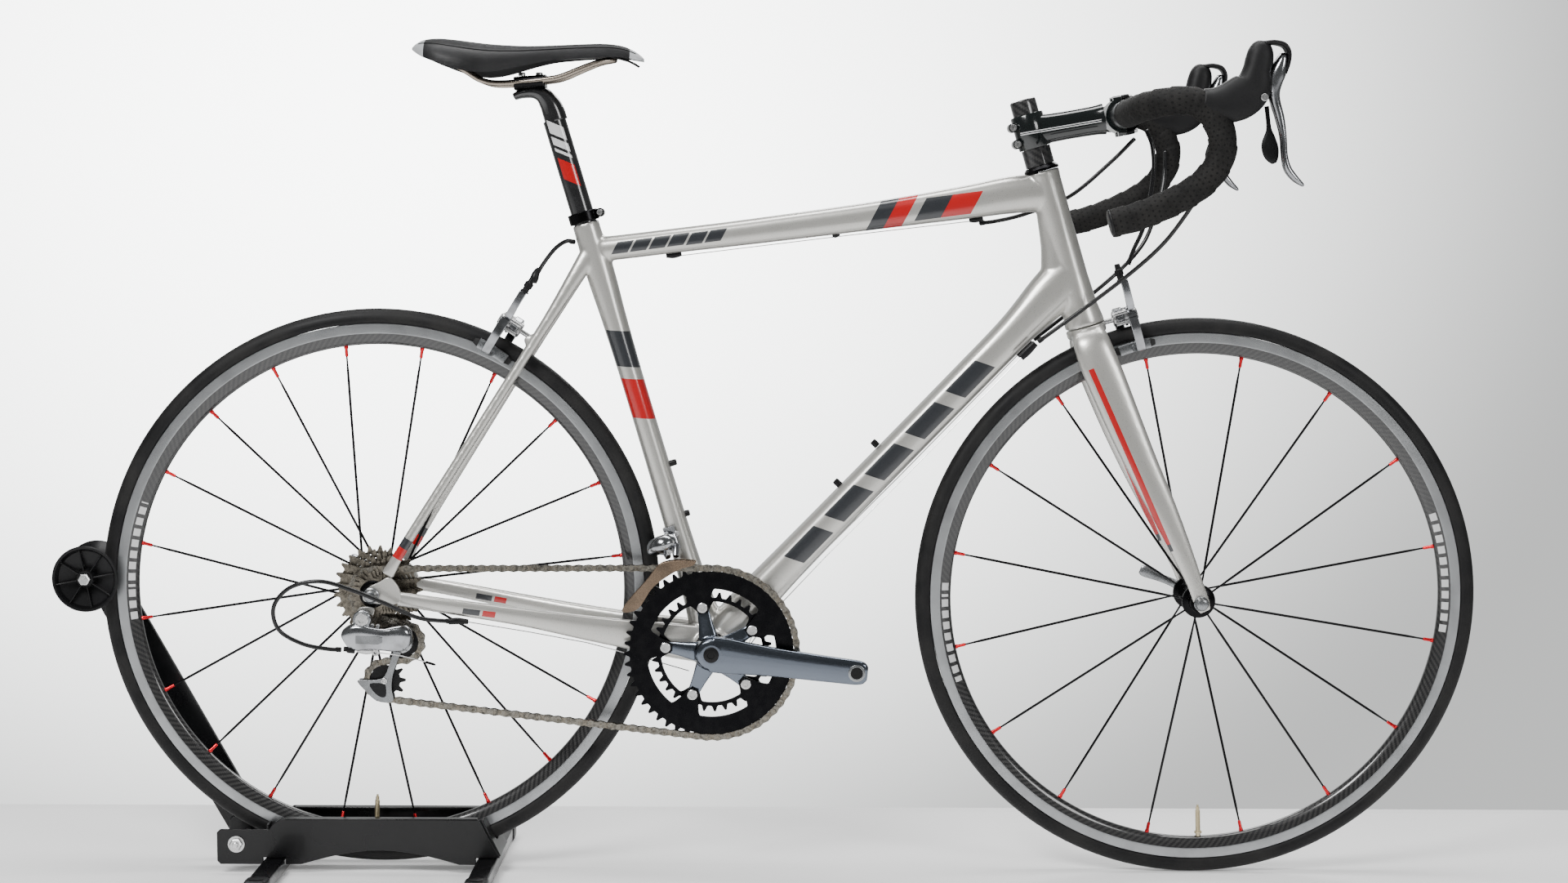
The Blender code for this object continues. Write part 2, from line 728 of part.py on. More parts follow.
def make_hood(word, side):
    """The lever body under its rubber hood, saddling the bend of the bar."""
    y = BAR_HALF_WIDTH * side
    steps = [
        (0.9500, 0.9080, 0.0160, 0.0190),
        (0.9680, 0.9120, 0.0165, 0.0200),
        (0.9850, 0.9190, 0.0165, 0.0200),
        (0.9960, 0.9340, 0.0165, 0.0185),
        (1.0020, 0.9540, 0.0165, 0.0130),
        (1.0070, 0.9690, 0.0150, 0.0110),
        (1.0090, 0.9775, 0.0100, 0.0070),
    ]
    path = [(x, y, z) for x, z, _, _ in steps]
    halves = [(across, fore) for _, _, across, fore in steps]
    hood = sweep(f"hood_{word}", path, halves, HOOD_RUBBER, 12, 2.3)
    bend = [point for point in bar_path() if point[1] < -0.19]
    if side > 0:
        bend = mirrored(bend)
    route = smooth_path(bend, BAR_STEPS)
    cut(hood, [rod(f"hood_seat_{word}", route, TAPE_RADIUS + 0.0006, STEEL, 16)])


LEVER_PIVOT = (1.0075, 0.9165)
PADDLE_PIVOT = (1.0160, 0.9120)


def make_lever(word, side):
    """The brake lever blade, in front of the hood, and the shift paddle behind it."""
    y = BAR_HALF_WIDTH * side
    steps = [
        (1.0310, 0.9600, 0.0100, 0.0040),
        (1.0245, 0.9440, 0.0110, 0.0085),
        (1.0215, 0.9270, 0.0095, 0.0060),
        (1.0225, 0.9120, 0.0085, 0.0052),
        (1.0270, 0.8950, 0.0080, 0.0052),
        (1.0310, 0.8720, 0.0080, 0.0036),
        (1.0330, 0.8520, 0.0078, 0.0036),
        (1.0370, 0.8380, 0.0075, 0.0045),
        (1.0455, 0.8280, 0.0070, 0.0040),
        (1.0540, 0.8215, 0.0050, 0.0022),
    ]
    path = [(x, y, z) for x, z, _, _ in steps]
    halves = [(across, fore) for _, _, across, fore in steps]
    sweep(f"brake_lever_{word}", path, halves, POLISHED_ALLOY, 10)
    inner = y - side * 0.0135
    steps = [
        (1.0145, 0.9080, 0.0030, 0.0028),
        (1.0170, 0.8900, 0.0025, 0.0026),
        (1.0185, 0.8770, 0.0030, 0.0050),
        (1.0190, 0.8640, 0.0035, 0.0095),
        (1.0215, 0.8530, 0.0030, 0.0080),
        (1.0245, 0.8450, 0.0015, 0.0030),
    ]
    path = [(x, inner, z) for x, z, _, _ in steps]
    halves = [(across, fore) for _, _, across, fore in steps]
    sweep(f"shift_paddle_{word}", path, halves, BLACK_PLASTIC, 8)


# Brakes


def make_caliper(name, centre, up, out):
    """Two caliper arms on one bolt; up and out are side-view directions of the caliper."""
    arm = [
        (-0.0080, 0.0020),
        (-0.0050, 0.0075),
        (0.0010, 0.0090),
        (0.0150, 0.0110),
        (0.0280, 0.0060),
        (0.0350, -0.0060),
        (0.0340, -0.0260),
        (0.0290, -0.0420),
        (0.0205, -0.0420),
        (0.0205, -0.0330),
        (0.0250, -0.0260),
        (0.0240, -0.0110),
        (0.0160, -0.0040),
        (0.0060, -0.0070),
        (-0.0030, -0.0080),
        (-0.0080, -0.0040),
    ]
    horn = [(0.0180, 0.0080), (0.0290, 0.0060), (0.0350, 0.0420), (0.0270, 0.0430)]
    up_3d = in_3d(up)
    out_3d = in_3d(out)
    for word, side in (("right", -1), ("left", 1)):
        across = Vector((0, side, 0))
        start = at_side(centre, 0) + out_3d * (0.0003 if word == "right" else -0.0073)
        thickness = 0.0070
        normal = across.cross(up_3d).normalized()
        if normal.dot(out_3d) < 0:
            start = start + out_3d * thickness
        made = plate(f"{name}_arm_{word}", arm, start, across, up_3d, thickness, POLISHED_ALLOY)
        pad = at_side(centre, 0) + across * 0.0170 - up_3d * 0.0375
        turn = math.atan2(out[1], out[0])
        helpers = [block(f"{name}_pad_{word}", pad, (0.050, 0.0090, 0.0110), BLACK_PLASTIC, turn)]
        if word == "right":
            helpers.append(plate(f"{name}_horn", horn, start, across, up_3d, thickness, POLISHED_ALLOY))
            barrel = at_side(centre, 0) + across * 0.0310 + up_3d * 0.0500 + out_3d * 0.0038
            helpers.append(cylinder(f"{name}_barrel", barrel, up_3d, 0.0042, 0.0200, BLACK_PLASTIC, 10))
        else:
            bolt = at_side(centre, 0) + out_3d * (-0.0040)
            helpers.append(cylinder(f"{name}_bolt", bolt, out_3d, 0.0055, 0.0065, STEEL, 12))
        unite(made, helpers)


FRONT_CALIPER = (0.8870, 0.6690)
REAR_CALIPER = (0.1570, 0.6580)
STAY_UP = (0.534, 0.845)
STAY_OUT = (-0.845, 0.534)


# Seat


def make_saddle():
    stations = [
        # distance forward, half width, top height, skirt height, pad thickness
        (0.049, 0.034, 0.9860, 0.9780, 0.006),
        (0.060, 0.054, 0.9915, 0.9720, 0.012),
        (0.085, 0.069, 0.9925, 0.9630, 0.014),
        (0.120, 0.068, 0.9890, 0.9515, 0.014),
        (0.150, 0.054, 0.9860, 0.9530, 0.014),
        (0.180, 0.038, 0.9850, 0.9610, 0.013),
        (0.215, 0.025, 0.9860, 0.9680, 0.012),
        (0.255, 0.020, 0.9880, 0.9710, 0.011),
        (0.290, 0.018, 0.9855, 0.9715, 0.010),
        (0.308, 0.014, 0.9770, 0.9680, 0.007),
        (0.317, 0.007, 0.9710, 0.9660, 0.003),
    ]
    pad_rings = []
    base_rings = []
    for x, wide, top, skirt, thick in stations:
        drop = top - skirt
        half = [
            (0.00, top),
            (0.45 * wide, top - 0.05 * drop),
            (0.82 * wide, top - 0.30 * drop),
            (1.00 * wide, top - 0.72 * drop),
            (0.96 * wide, skirt),
            (0.72 * wide, skirt + 0.25 * drop - 0.0001),
            (0.50 * wide, top - thick),
        ]
        ring = half + [(-y, z) for y, z in half[:0:-1]]
        pad_rings.append([Vector((x, y, z)) for y, z in ring])
        if 0.055 < x < 0.300:
            low = top - thick - GAP
            reach = 0.46 * wide
            flat = [(reach, low), (reach, low - 0.003), (-reach, low - 0.003), (-reach, low)]
            base_rings.append([Vector((x, y, z)) for y, z in flat])
    mesh_data = bmesh.new()
    add_rings(mesh_data, pad_rings)
    add_object("saddle_pad", mesh_data, SADDLE_COVER, sharp=50)
    mesh_data = bmesh.new()
    add_rings(mesh_data, base_rings)
    add_object("saddle_base", mesh_data, BLACK_PLASTIC, sharp=50)
    right = [
        (0.092, -0.0270, 0.9660),
        (0.110, -0.0255, 0.9560),
        (0.125, -0.0240, 0.9460),
        (0.142, -0.0230, 0.9415),
        (0.170, -0.0220, 0.9425),
        (0.205, -0.0220, 0.9460),
        (0.222, -0.0210, 0.9490),
        (0.245, -0.0170, 0.9590),
        (0.265, -0.0120, 0.9670),
        (0.280, -0.0060, 0.9690),
    ]
    rails = right + [(0.2825, 0.0, 0.9690)] + mirrored(right)[::-1]
    rod("saddle_rails", rails, 0.0035, TITANIUM, 6)


POST_LOW = 0.436
POST_HIGH = 0.664


def make_seatpost():
    low = at_side(along_seat_tube(POST_LOW), 0)
    high = at_side(along_seat_tube(POST_HIGH), 0)
    post = rod("seatpost", [low, high], 0.0136, CARBON, 20)
    head_path = [
        (0.2130, 0, 0.9020),
        (0.2080, 0, 0.9180),
        (0.1990, 0, 0.9300),
        (0.1860, 0, 0.9330),
        (0.1700, 0, 0.9280),
    ]
    head_halves = [(0.0125, 0.0125), (0.0130, 0.0115), (0.0140, 0.0090), (0.0150, 0.0075), (0.0140, 0.0050)]
    helpers = [
        sweep("seatpost_head", head_path, head_halves, CARBON, 12),
        block("seatpost_clamp", (0.1830, 0, 0.9430), (0.036, 0.036, 0.020), BLACK_ALLOY, 0.08),
    ]
    unite(post, helpers)


def make_collar():
    centre = at_side(along_seat_tube(0.5355), 0)
    profile = [(0.0139, -0.0065), (0.0178, -0.0065), (0.0178, 0.0065), (0.0139, 0.0065)]
    collar = turned("seat_collar", profile, centre, in_3d(SEAT_UP), BLACK_ALLOY, 24)
    ear = centre + Vector((SEAT_UP[1], 0, -SEAT_UP[0])) * 0.0205
    unite(collar, [cylinder("collar_ear", ear, (0, 1, 0), 0.0052, 0.018, BLACK_ALLOY, 12)])


# Drive train


def pitch_radius(teeth):
    return CHAIN_PITCH / (2 * math.sin(math.pi / teeth))


def chain_inside(teeth):
    """The radius that clears the chain's straight-sided loop round that many teeth."""
    radius = pitch_radius(teeth)
    return radius - CHAIN_HALF_HEIGHT - CHAIN_SPACING**2 / (8 * radius) - GAP


def chain_circles():
    """Centre, radius and turning sense of each wheel that the chain runs round, in order."""
    return [
        (REAR_AXLE, pitch_radius(COG_TEETH), 1),
        (GUIDE_PULLEY, pitch_radius(PULLEY_TEETH), -1),
        (TENSION_PULLEY, pitch_radius(PULLEY_TEETH), 1),
        (BOTTOM_BRACKET, pitch_radius(OUTER_RING_TEETH), 1),
    ]


def tangent_heading(first, second):
    """The heading of the straight run from one circle to the next."""
    (c1, r1, s1), (c2, r2, s2) = first, second
    run = Vector((c2[0] - c1[0], c2[1] - c1[1]))
    return math.atan2(run.y, run.x) + math.asin((s1 * r1 - s2 * r2) / run.length)


def chain_path(spacing):
    """(point, outward direction) pairs all the way round the chain, in the side view."""
    circles = chain_circles()
    count = len(circles)
    headings = [tangent_heading(circles[i], circles[(i + 1) % count]) for i in range(count)]
    stations = []
    for i, (centre, radius, sense) in enumerate(circles):
        arrive = headings[i - 1]
        leave = headings[i]
        sweep_angle = (leave - arrive) % (2 * math.pi)
        if sense < 0:
            sweep_angle = -((arrive - leave) % (2 * math.pi))
        steps = max(2, round(abs(sweep_angle) * radius / spacing))
        for step in range(steps + 1):
            heading = arrive + sweep_angle * step / steps
            left = Vector((-math.sin(heading), math.cos(heading)))
            point = Vector(centre) - left * radius * sense
            stations.append((point, -left))
    return stations


def chain_y(x):
    """The chain runs a little outward from the ring's plane to the cog's."""
    share = min(max((x - 0.05) / 0.30, 0.0), 1.0)
    return COG_Y + (RING_Y - COG_Y) * share


def make_chain():
    rings = []
    for point, outward in chain_path(CHAIN_SPACING):
        y = chain_y(point.x)
        ring = []
        for a, b in ((1, 1), (-1, 1), (-1, -1), (1, -1)):
            edge = point + outward * CHAIN_HALF_HEIGHT * b
            ring.append(Vector((edge.x, y + a * CHAIN_HALF_WIDTH, edge.y)))
        rings.append(ring)
    mesh_data = bmesh.new()
    add_rings(mesh_data, rings, closed=True)
    add_object("chain", mesh_data, STEEL)


def make_cassette():
    cog = chain_inside(COG_TEETH)
    slot = CHAIN_HALF_WIDTH + GAP
    profile = [
        (0.0055, -0.0600),
        (0.0150, -0.0600),
        (0.0215, -0.0585),
        (0.0235, COG_Y - slot),
        (cog, COG_Y),
        (cog, COG_Y + slot),
        (0.0300, COG_Y + slot),
        (0.0470, -0.0290),
        (0.0565, -0.0215),
        (0.0565, -0.0195),
        (0.0055, -0.0195),
    ]
    turned("cassette", profile, at_side(REAR_AXLE, 0), (0, 1, 0), STEEL, 24)


def make_rings():
    centre = at_side(BOTTOM_BRACKET, 0)
    edge = chain_inside(OUTER_RING_TEETH)
    low = RING_Y - 0.0015
    high = RING_Y + 0.0015
    profile = [(0.0480, low), (edge, low), (edge, high), (0.0480, high)]
    turned("outer_chainring", profile, centre, (0, 1, 0), BLACK_ALLOY, 40)
    edge = pitch_radius(INNER_RING_TEETH) + 0.0020
    profile = [(0.0480, -0.0413), (edge, -0.0413), (edge, -0.0385), (0.0480, -0.0385)]
    turned("inner_chainring", profile, centre, (0, 1, 0), STEEL, 34)


SPIDER_OUTER = -0.0452
SPIDER_INNER = -0.0416


def crank_arm(name, direction, y_boss, y_eye, material):
    """An arm from the bracket axis to the pedal eye."""
    steps = (
        (0.0, 0.0165),
        (0.03, 0.0165),
        (0.07, 0.0140),
        (0.13, 0.0125),
        (0.158, 0.0130),
        (CRANK_LENGTH + 0.012, 0.0120),
    )
    path = []
    halves = []
    for distance, half in steps:
        share = distance / CRANK_LENGTH
        x = BOTTOM_BRACKET[0] + direction[0] * distance
        z = BOTTOM_BRACKET[1] + direction[1] * distance
        path.append((x, y_boss + (y_eye - y_boss) * share, z))
        halves.append((0.0060, half))
    return sweep(name, path, halves, material, 12, 2.6)


def make_cranks():
    direction = (math.cos(CRANK_DROP), -math.sin(CRANK_DROP))
    centre = at_side(BOTTOM_BRACKET, 0)
    profile = [
        (0, -0.0630),
        (0.0150, -0.0630),
        (0.0200, -0.0600),
        (0.0200, SPIDER_OUTER + 0.001),
        (0.0120, SPIDER_INNER),
        (0.0120, 0.0590),
        (0, 0.0590),
    ]
    right = turned("crank_right", profile, centre, (0, 1, 0), POLISHED_ALLOY, 24)
    star = []
    arms = 5
    for i in range(arms):
        middle = 2 * math.pi * i / arms - CRANK_DROP
        for radius, offset in ((0.0240, -0.55), (0.0560, -0.17), (0.0620, 0.0), (0.0560, 0.17)):
            angle = middle + offset
            x = BOTTOM_BRACKET[0] + radius * math.cos(angle)
            star.append((x, BOTTOM_BRACKET[1] + radius * math.sin(angle)))
    helpers = [
        side_plate("crank_spider", star, SPIDER_OUTER, SPIDER_INNER, POLISHED_ALLOY),
        crank_arm("crank_right_arm", direction, -0.0565, -0.0665, POLISHED_ALLOY),
    ]
    unite(right, helpers)
    eye = (BOTTOM_BRACKET[0] + direction[0] * CRANK_LENGTH, BOTTOM_BRACKET[1] + direction[1] * CRANK_LENGTH)
    cut(right, [cylinder("crank_right_eye", at_side(eye, -0.066), (0, 1, 0), 0.0071, 0.040, STEEL, 16)])
    profile = [(0.0123, 0.0413), (0.0180, 0.0413), (0.0180, 0.0610), (0.0123, 0.0610)]
    left = turned("crank_left", profile, centre, (0, 1, 0), POLISHED_ALLOY, 24)
    back = (-direction[0], -direction[1])
    unite(left, [crank_arm("crank_left_arm", back, 0.0545, 0.0665, POLISHED_ALLOY)])
    eye = (BOTTOM_BRACKET[0] + back[0] * CRANK_LENGTH, BOTTOM_BRACKET[1] + back[1] * CRANK_LENGTH)
    cutters = [
        cylinder("crank_left_bore", centre + Vector((0, 0.050, 0)), (0, 1, 0), 0.0123, 0.060, STEEL),
        cylinder("crank_left_eye", at_side(eye, 0.066), (0, 1, 0), 0.0071, 0.040, STEEL, 16),
    ]
    cut(left, cutters)


def make_bottom_bracket():
    profile = [
        (0.0123, -0.0405),
        (0.0210, -0.0405),
        (0.0220, -0.0343),
        (0.0193, -0.0343),
        (0.0193, 0.0343),
        (0.0220, 0.0343),
        (0.0210, 0.0405),
        (0.0123, 0.0405),
    ]
    turned("bottom_bracket", profile, at_side(BOTTOM_BRACKET, 0), (0, 1, 0), BLACK_ALLOY, 24)


def make_front_derailleur():
    outline = [
        (0.3404, 0.3800),
        (0.3768, 0.3823),
        (0.3758, 0.3765),
        (0.3586, 0.3712),
        (0.3299, 0.3515),
        (0.3118, 0.3255),
        (0.2936, 0.3210),
        (0.2965, 0.3306),
        (0.3204, 0.3580),
    ]
    cage = side_plate("front_derailleur_cage", outline, -0.0540, -0.0525, STEEL)
    helpers = [
        side_plate("derailleur_inner_plate", outline, -0.0418, -0.0403, STEEL),
        block("derailleur_top_bridge", (0.3530, -0.0472, 0.3803), (0.010, 0.0130, 0.0020), STEEL),
        block("derailleur_tail_bridge", (0.2965, -0.0472, 0.3222), (0.004, 0.0130, 0.0020), STEEL),
    ]
    unite(cage, helpers)
    body = block("front_derailleur", (0.3380, -0.0375, 0.3975), (0.022, 0.025, 0.030), POLISHED_ALLOY, 0.29)
    helpers = [
        block("derailleur_bracket", (0.3500, -0.0246, 0.4060), (0.016, 0.012, 0.030), BLACK_ALLOY, 0.29),
    ]
    unite(body, helpers)


def make_rear_derailleur():
    body_path = [
        (-0.0300, -0.0800, 0.2925),
        (-0.0210, -0.0800, 0.2935),
        (0.0000, -0.0800, 0.2930),
        (0.0220, -0.0790, 0.2905),
        (0.0350, -0.0760, 0.2900),
        (0.0460, -0.0740, 0.2890),
    ]
    body_halves = [
        (0.0090, 0.0080),
        (0.0110, 0.0115),
        (0.0100, 0.0100),
        (0.0100, 0.0115),
        (0.0120, 0.0150),
        (0.0080, 0.0080),
    ]
    body = sweep("rear_derailleur", body_path, body_halves, POLISHED_ALLOY, 12, 2.6)
    knuckle = (-0.0095, -0.0785, 0.3165)
    spring_case = (0.0360, -0.0650, 0.2880)
    helpers = [
        cylinder("derailleur_knuckle", knuckle, (0, 1, 0), 0.0100, 0.0160, POLISHED_ALLOY, 16),
        block("derailleur_link", (-0.0120, -0.0790, 0.3060), (0.014, 0.012, 0.022), POLISHED_ALLOY),
        cylinder("derailleur_spring_case", spring_case, (0, 1, 0), 0.0130, 0.0180, POLISHED_ALLOY, 16),
    ]
    unite(body, helpers)
    outline = [
        (-0.0200, 0.2370),
        (0.0020, 0.2420),
        (0.0120, 0.2500),
        (0.0210, 0.2700),
        (0.0290, 0.2920),
        (0.0380, 0.2900),
        (0.0330, 0.2720),
        (0.0200, 0.2450),
        (0.0200, 0.2150),
        (0.0080, 0.2130),
        (-0.0060, 0.2200),
    ]
    cage = side_plate("derailleur_cage", outline, -0.0555, -0.0538, STEEL)
    helpers = [side_plate("cage_inner_plate", outline, -0.0433, -0.0418, STEEL)]
    for word, centre in (("tension", TENSION_PULLEY), ("guide", GUIDE_PULLEY)):
        axle = at_side(centre, -0.0485)
        helpers.append(cylinder(f"cage_{word}_bolt", axle, (0, 1, 0), 0.0030, 0.0130, STEEL, 10))
    unite(cage, helpers)
    edge = chain_inside(PULLEY_TEETH)
    for word, centre in (("tension", TENSION_PULLEY), ("guide", GUIDE_PULLEY)):
        profile = [(0.0034, -0.0018), (edge, -0.0018), (edge, 0.0018), (0.0034, 0.0018)]
        turned(f"{word}_pulley", profile, at_side(centre, COG_Y), (0, 1, 0), BLACK_PLASTIC, 22)


def make_hanger():
    outline = [
        (-0.0150, 0.3280),
        (0.0020, 0.3270),
        (-0.0010, 0.3160),
        (-0.0060, 0.3090),
        (-0.0130, 0.3090),
        (-0.0180, 0.3160),
    ]
    side_plate("derailleur_hanger", outline, -0.0702, -0.0655, SILVER_PAINT)


# Cables


def make_cables():
    sleeve = 0.0025
    bend = [
        (0.2330, 0, 0.7560),
        (0.2120, -0.010, 0.7480),
        (0.1960, -0.022, 0.7260),
        (0.1890, -0.0300, 0.7105),
    ]
    rod("rear_brake_cable", smooth_path(bend, 4), sleeve, CABLE_SLEEVE)
    loop = [
        (0.0860, -0.0640, 0.3080),
        (0.0400, -0.0860, 0.3230),
        (-0.0200, -0.1000, 0.3560),
        (-0.0800, -0.1030, 0.3600),
        (-0.1090, -0.1010, 0.3300),
        (-0.0950, -0.0960, 0.2960),
        (-0.0560, -0.0880, 0.2830),
    ]
    rod("rear_shift_cable", smooth_path(loop, 3), sleeve, CABLE_SLEEVE)
    front_brake = [
        (0.9080, -0.0260, 0.8840),
        (0.9160, -0.0300, 0.8400),
        (0.9040, -0.0320, 0.7800),
        (0.8860, -0.0315, 0.7330),
    ]
    rod("front_brake_cable", smooth_path(front_brake, 3), sleeve, CABLE_SLEEVE)
    brake_run = [
        (0.9000, 0.0300, 0.8780),
        (0.8700, 0.0330, 0.8480),
        (0.8200, 0.0310, 0.8080),
        (0.7600, 0.0300, 0.7880),
        (0.7300, 0.0230, 0.7810),
        (0.7080, 0.0150, 0.7780),
    ]
    rod("rear_brake_bar_cable", smooth_path(brake_run, 3), sleeve, CABLE_SLEEVE)
    for word, side in (("right", -1), ("left", 1)):
        shift_run = [
            (0.9420, side * 0.1950, 0.8700),
            (0.9440, side * 0.1700, 0.8300),
            (0.9350, side * 0.1100, 0.7800),
            (0.8950, side * 0.0640, 0.7300),
            (0.8350, side * 0.0430, 0.6800),
            (0.7800, side * 0.0320, 0.6300),
        ]
        rod(f"shift_cable_{word}", smooth_path(shift_run, 3), sleeve, CABLE_SLEEVE)


# Stand


def make_cradle():
    """Two folded side plates joined by cross plates, each notched for the tyre it carries."""
    outer = PLATE_INNER + PLATE_THICKNESS
    rest = FOOT_TOP + GAP
    rear = -0.1265
    front = 0.1285
    half = FOOT_WIDTH / 2 + GAP
    outline = [(-0.1955, 0.0120), (-0.1955, 0.0545), (-0.1330, 0.0545), (-0.1280, 0.0620), (-0.1160, 0.0680)]
    outline += [(0.1200, 0.0680), (0.1440, 0.0205), (front + half, rest), (front - half, rest)]
    outline += [(front - half, 0.0120)]
    for step in range(1, 6):
        share = step / 6
        outline.append((0.095 - 0.190 * share, 0.0120 + 0.0170 * math.sin(math.pi * share)))
    outline += [(rear + half, 0.0120), (rear + half, rest), (rear - half, rest), (rear - half, 0.0120)]
    cradle = side_plate("stand_cradle", outline, PLATE_INNER, outer, STAND_STEEL)
    helpers = [side_plate("cradle_right_plate", outline, -outer, -PLATE_INNER, STAND_STEEL)]
    width = 2 * PLATE_INNER + PLATE_THICKNESS
    helpers.append(block("cradle_rear_plate", (-0.1345, 0, 0.0410), (0.003, width, 0.0400), STAND_STEEL))
    run = Vector((0.1425 - 0.1210, 0.0215 - 0.0655))
    middle = (0.1305, 0, 0.0430)
    lean = math.atan2(run.x, -run.y)
    helpers.append(block("cradle_front_plate", middle, (0.003, width, 0.0450), STAND_STEEL, lean))
    for side, word in ((-1, "right"), (1, "left")):
        lip = (0.002, side * (outer - 0.0055), 0.0663)
        helpers.append(block(f"cradle_lip_{word}", lip, (0.232, 0.0109, 0.0024), STAND_STEEL))
    unite(cradle, helpers)
    cutters = [cylinder("cradle_bolt_bore", at_side(PIVOT_BOLT, 0), (0, 1, 0), 0.0043, 0.090, STEEL, 12)]
    for word, x in (("rear", -0.1330), ("front", 0.1330)):
        bottom = REAR_AXLE[1] - math.sqrt(TYRE_RADIUS**2 - 0.1325**2) - 2 * GAP
        cutters.append(block(f"cradle_{word}_notch", (x, 0, bottom + 0.030), (0.050, 0.026, 0.060), STEEL))
    cut(cradle, cutters)


def make_feet():
    for word, x in (("rear", -0.1265), ("front", 0.1285)):
        size = (FOOT_WIDTH, FOOT_LENGTH - 0.012, FOOT_TOP - 0.0015)
        foot = block(f"stand_foot_{word}", (x, 0, (FOOT_TOP + 0.0015) / 2), size, STAND_STEEL)
        caps = []
        for side, hand in ((-1, "right"), (1, "left")):
            y = side * (FOOT_LENGTH / 2 - 0.012)
            caps.append(block(f"{word}_cap_{hand}", (x, y, 0.0107), (0.029, 0.024, 0.0214), BLACK_PLASTIC))
        unite(foot, caps)


def make_pivot_bolt():
    near = -PLATE_INNER - PLATE_THICKNESS - GAP
    far = ARM_OUTER + GAP
    bolt = [
        (0, near - 0.0060),
        (0.0080, near - 0.0060),
        (0.0080, near),
        (0.0040, near),
        (0.0040, far),
        (0.0080, far),
        (0.0080, far + 0.0055),
        (0, far + 0.0055),
    ]
    turned("stand_pivot_bolt", bolt, at_side(PIVOT_BOLT, 0), (0, 1, 0), STEEL, 12)


def make_stand_arm():
    """A flat arm beside the wheel, from the pivot bolt up to the roller's fixed axle."""
    start = Vector(PIVOT_BOLT)
    run = (Vector(ROLLER_AXLE) - start).normalized()
    length = (Vector(ROLLER_AXLE) - start).length
    across = Vector((-run.y, run.x))
    low = []
    high = []
    steps = (
        (-0.016, 0.010),
        (-0.004, 0.020),
        (0.050, 0.022),
        (length - 0.045, 0.022),
        (length + 0.004, 0.016),
        (length + 0.014, 0.008),
    )
    for distance, half in steps:
        point = start + run * distance
        low.append(tuple(point + across * half))
        high.append(tuple(point - across * half))
    arm = side_plate("stand_arm", low + high[::-1], ARM_INNER, ARM_OUTER, STAND_STEEL)
    reach = ROLLER_HALF_WIDTH + GAP
    profile = [
        (0, -reach - 0.0060),
        (0.0075, -reach - 0.0060),
        (0.0075, -reach),
        (0.0037, -reach),
        (0.0037, reach),
        (0.0075, reach),
        (0.0075, ARM_OUTER + 0.0050),
        (0, ARM_OUTER + 0.0050),
    ]
    unite(arm, [turned("arm_roller_axle", profile, at_side(ROLLER_AXLE, 0), (0, 1, 0), STEEL, 12)])
    cut(arm, [cylinder("arm_bolt_bore", at_side(PIVOT_BOLT, 0.040), (0, 1, 0), 0.0043, 0.030, STEEL, 12)])


def make_roller():
    """A waisted roller that keeps the tyre between its two cones."""
    half = ROLLER_HALF_WIDTH
    profile = [
        (0.0040, -half),
        (0.0370, -half),
        (ROLLER_RADIUS, -half + 0.0010),
        (0.0125, -0.0030),
        (0.0125, 0.0030),
        (ROLLER_RADIUS, half - 0.0010),
        (0.0370, half),
        (0.0040, half),
    ]
    turned("stand_roller", profile, at_side(ROLLER_AXLE, 0), (0, 1, 0), BLACK_PLASTIC, 24)


def set_pivot(pivot, *names):
    """Puts the origins of these objects on the joint that they turn about."""
    for name in names:
        made = bpy.data.objects[name]
        made.data.transform(Matrix.Translation(made.location - Vector(pivot)))
        made.location = pivot


make_front_wheel()
make_rear_wheel()
make_frame()
make_fork()
make_headset_stack()
make_stem()
make_handlebar()
for hand, hand_side in (("right", -1), ("left", 1)):
    make_hood(hand, hand_side)
    make_lever(hand, hand_side)
make_caliper("front_brake", FRONT_CALIPER, (-STEER_DOWN[0], -STEER_DOWN[1]), STEER_FRONT)
make_caliper("rear_brake", REAR_CALIPER, STAY_UP, STAY_OUT)
make_saddle()
make_seatpost()
make_collar()
make_chain()
make_cassette()
make_rings()
make_cranks()
make_bottom_bracket()
make_front_derailleur()
make_rear_derailleur()
make_hanger()
make_cables()
make_cradle()
make_feet()
make_pivot_bolt()
make_stand_arm()
make_roller()

steering_names = (
    "fork",
    "headset_stack",
    "stem",
    "stem_faceplate",
    "handlebar",
    "bar_tape_right",
    "bar_tape_left",
    "hood_right",
    "hood_left",
    "front_brake_cable",
)
set_pivot(at_side(HEAD_TUBE_TOP, 0), *steering_names)
crank_names = ("crank_right", "crank_left", "outer_chainring", "inner_chainring")
set_pivot(at_side(BOTTOM_BRACKET, 0), *crank_names)
set_pivot(at_side(PIVOT_BOLT, 0), "stand_arm")
set_pivot(at_side(ROLLER_AXLE, 0), "stand_roller")
for hand, hand_side in (("right", -1), ("left", 1)):
    set_pivot(at_side(LEVER_PIVOT, BAR_HALF_WIDTH * hand_side), f"brake_lever_{hand}")
    inner = (BAR_HALF_WIDTH - 0.0135) * hand_side
    set_pivot(at_side(PADDLE_PIVOT, inner), f"shift_paddle_{hand}")
    set_pivot(at_side(FRONT_CALIPER, 0), f"front_brake_arm_{hand}")
    set_pivot(at_side(REAR_CALIPER, 0), f"rear_brake_arm_{hand}")
set_pivot(at_side(FRONT_AXLE, 0.0745), "front_release_lever")
set_pivot(at_side(REAR_AXLE, 0.0895), "rear_release_lever")
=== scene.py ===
"""Visual model of a road racing bicycle held by its rear wheel in a folded-steel display stand."""

import math

import bmesh
import bpy
from mathutils import Matrix, Vector, noise


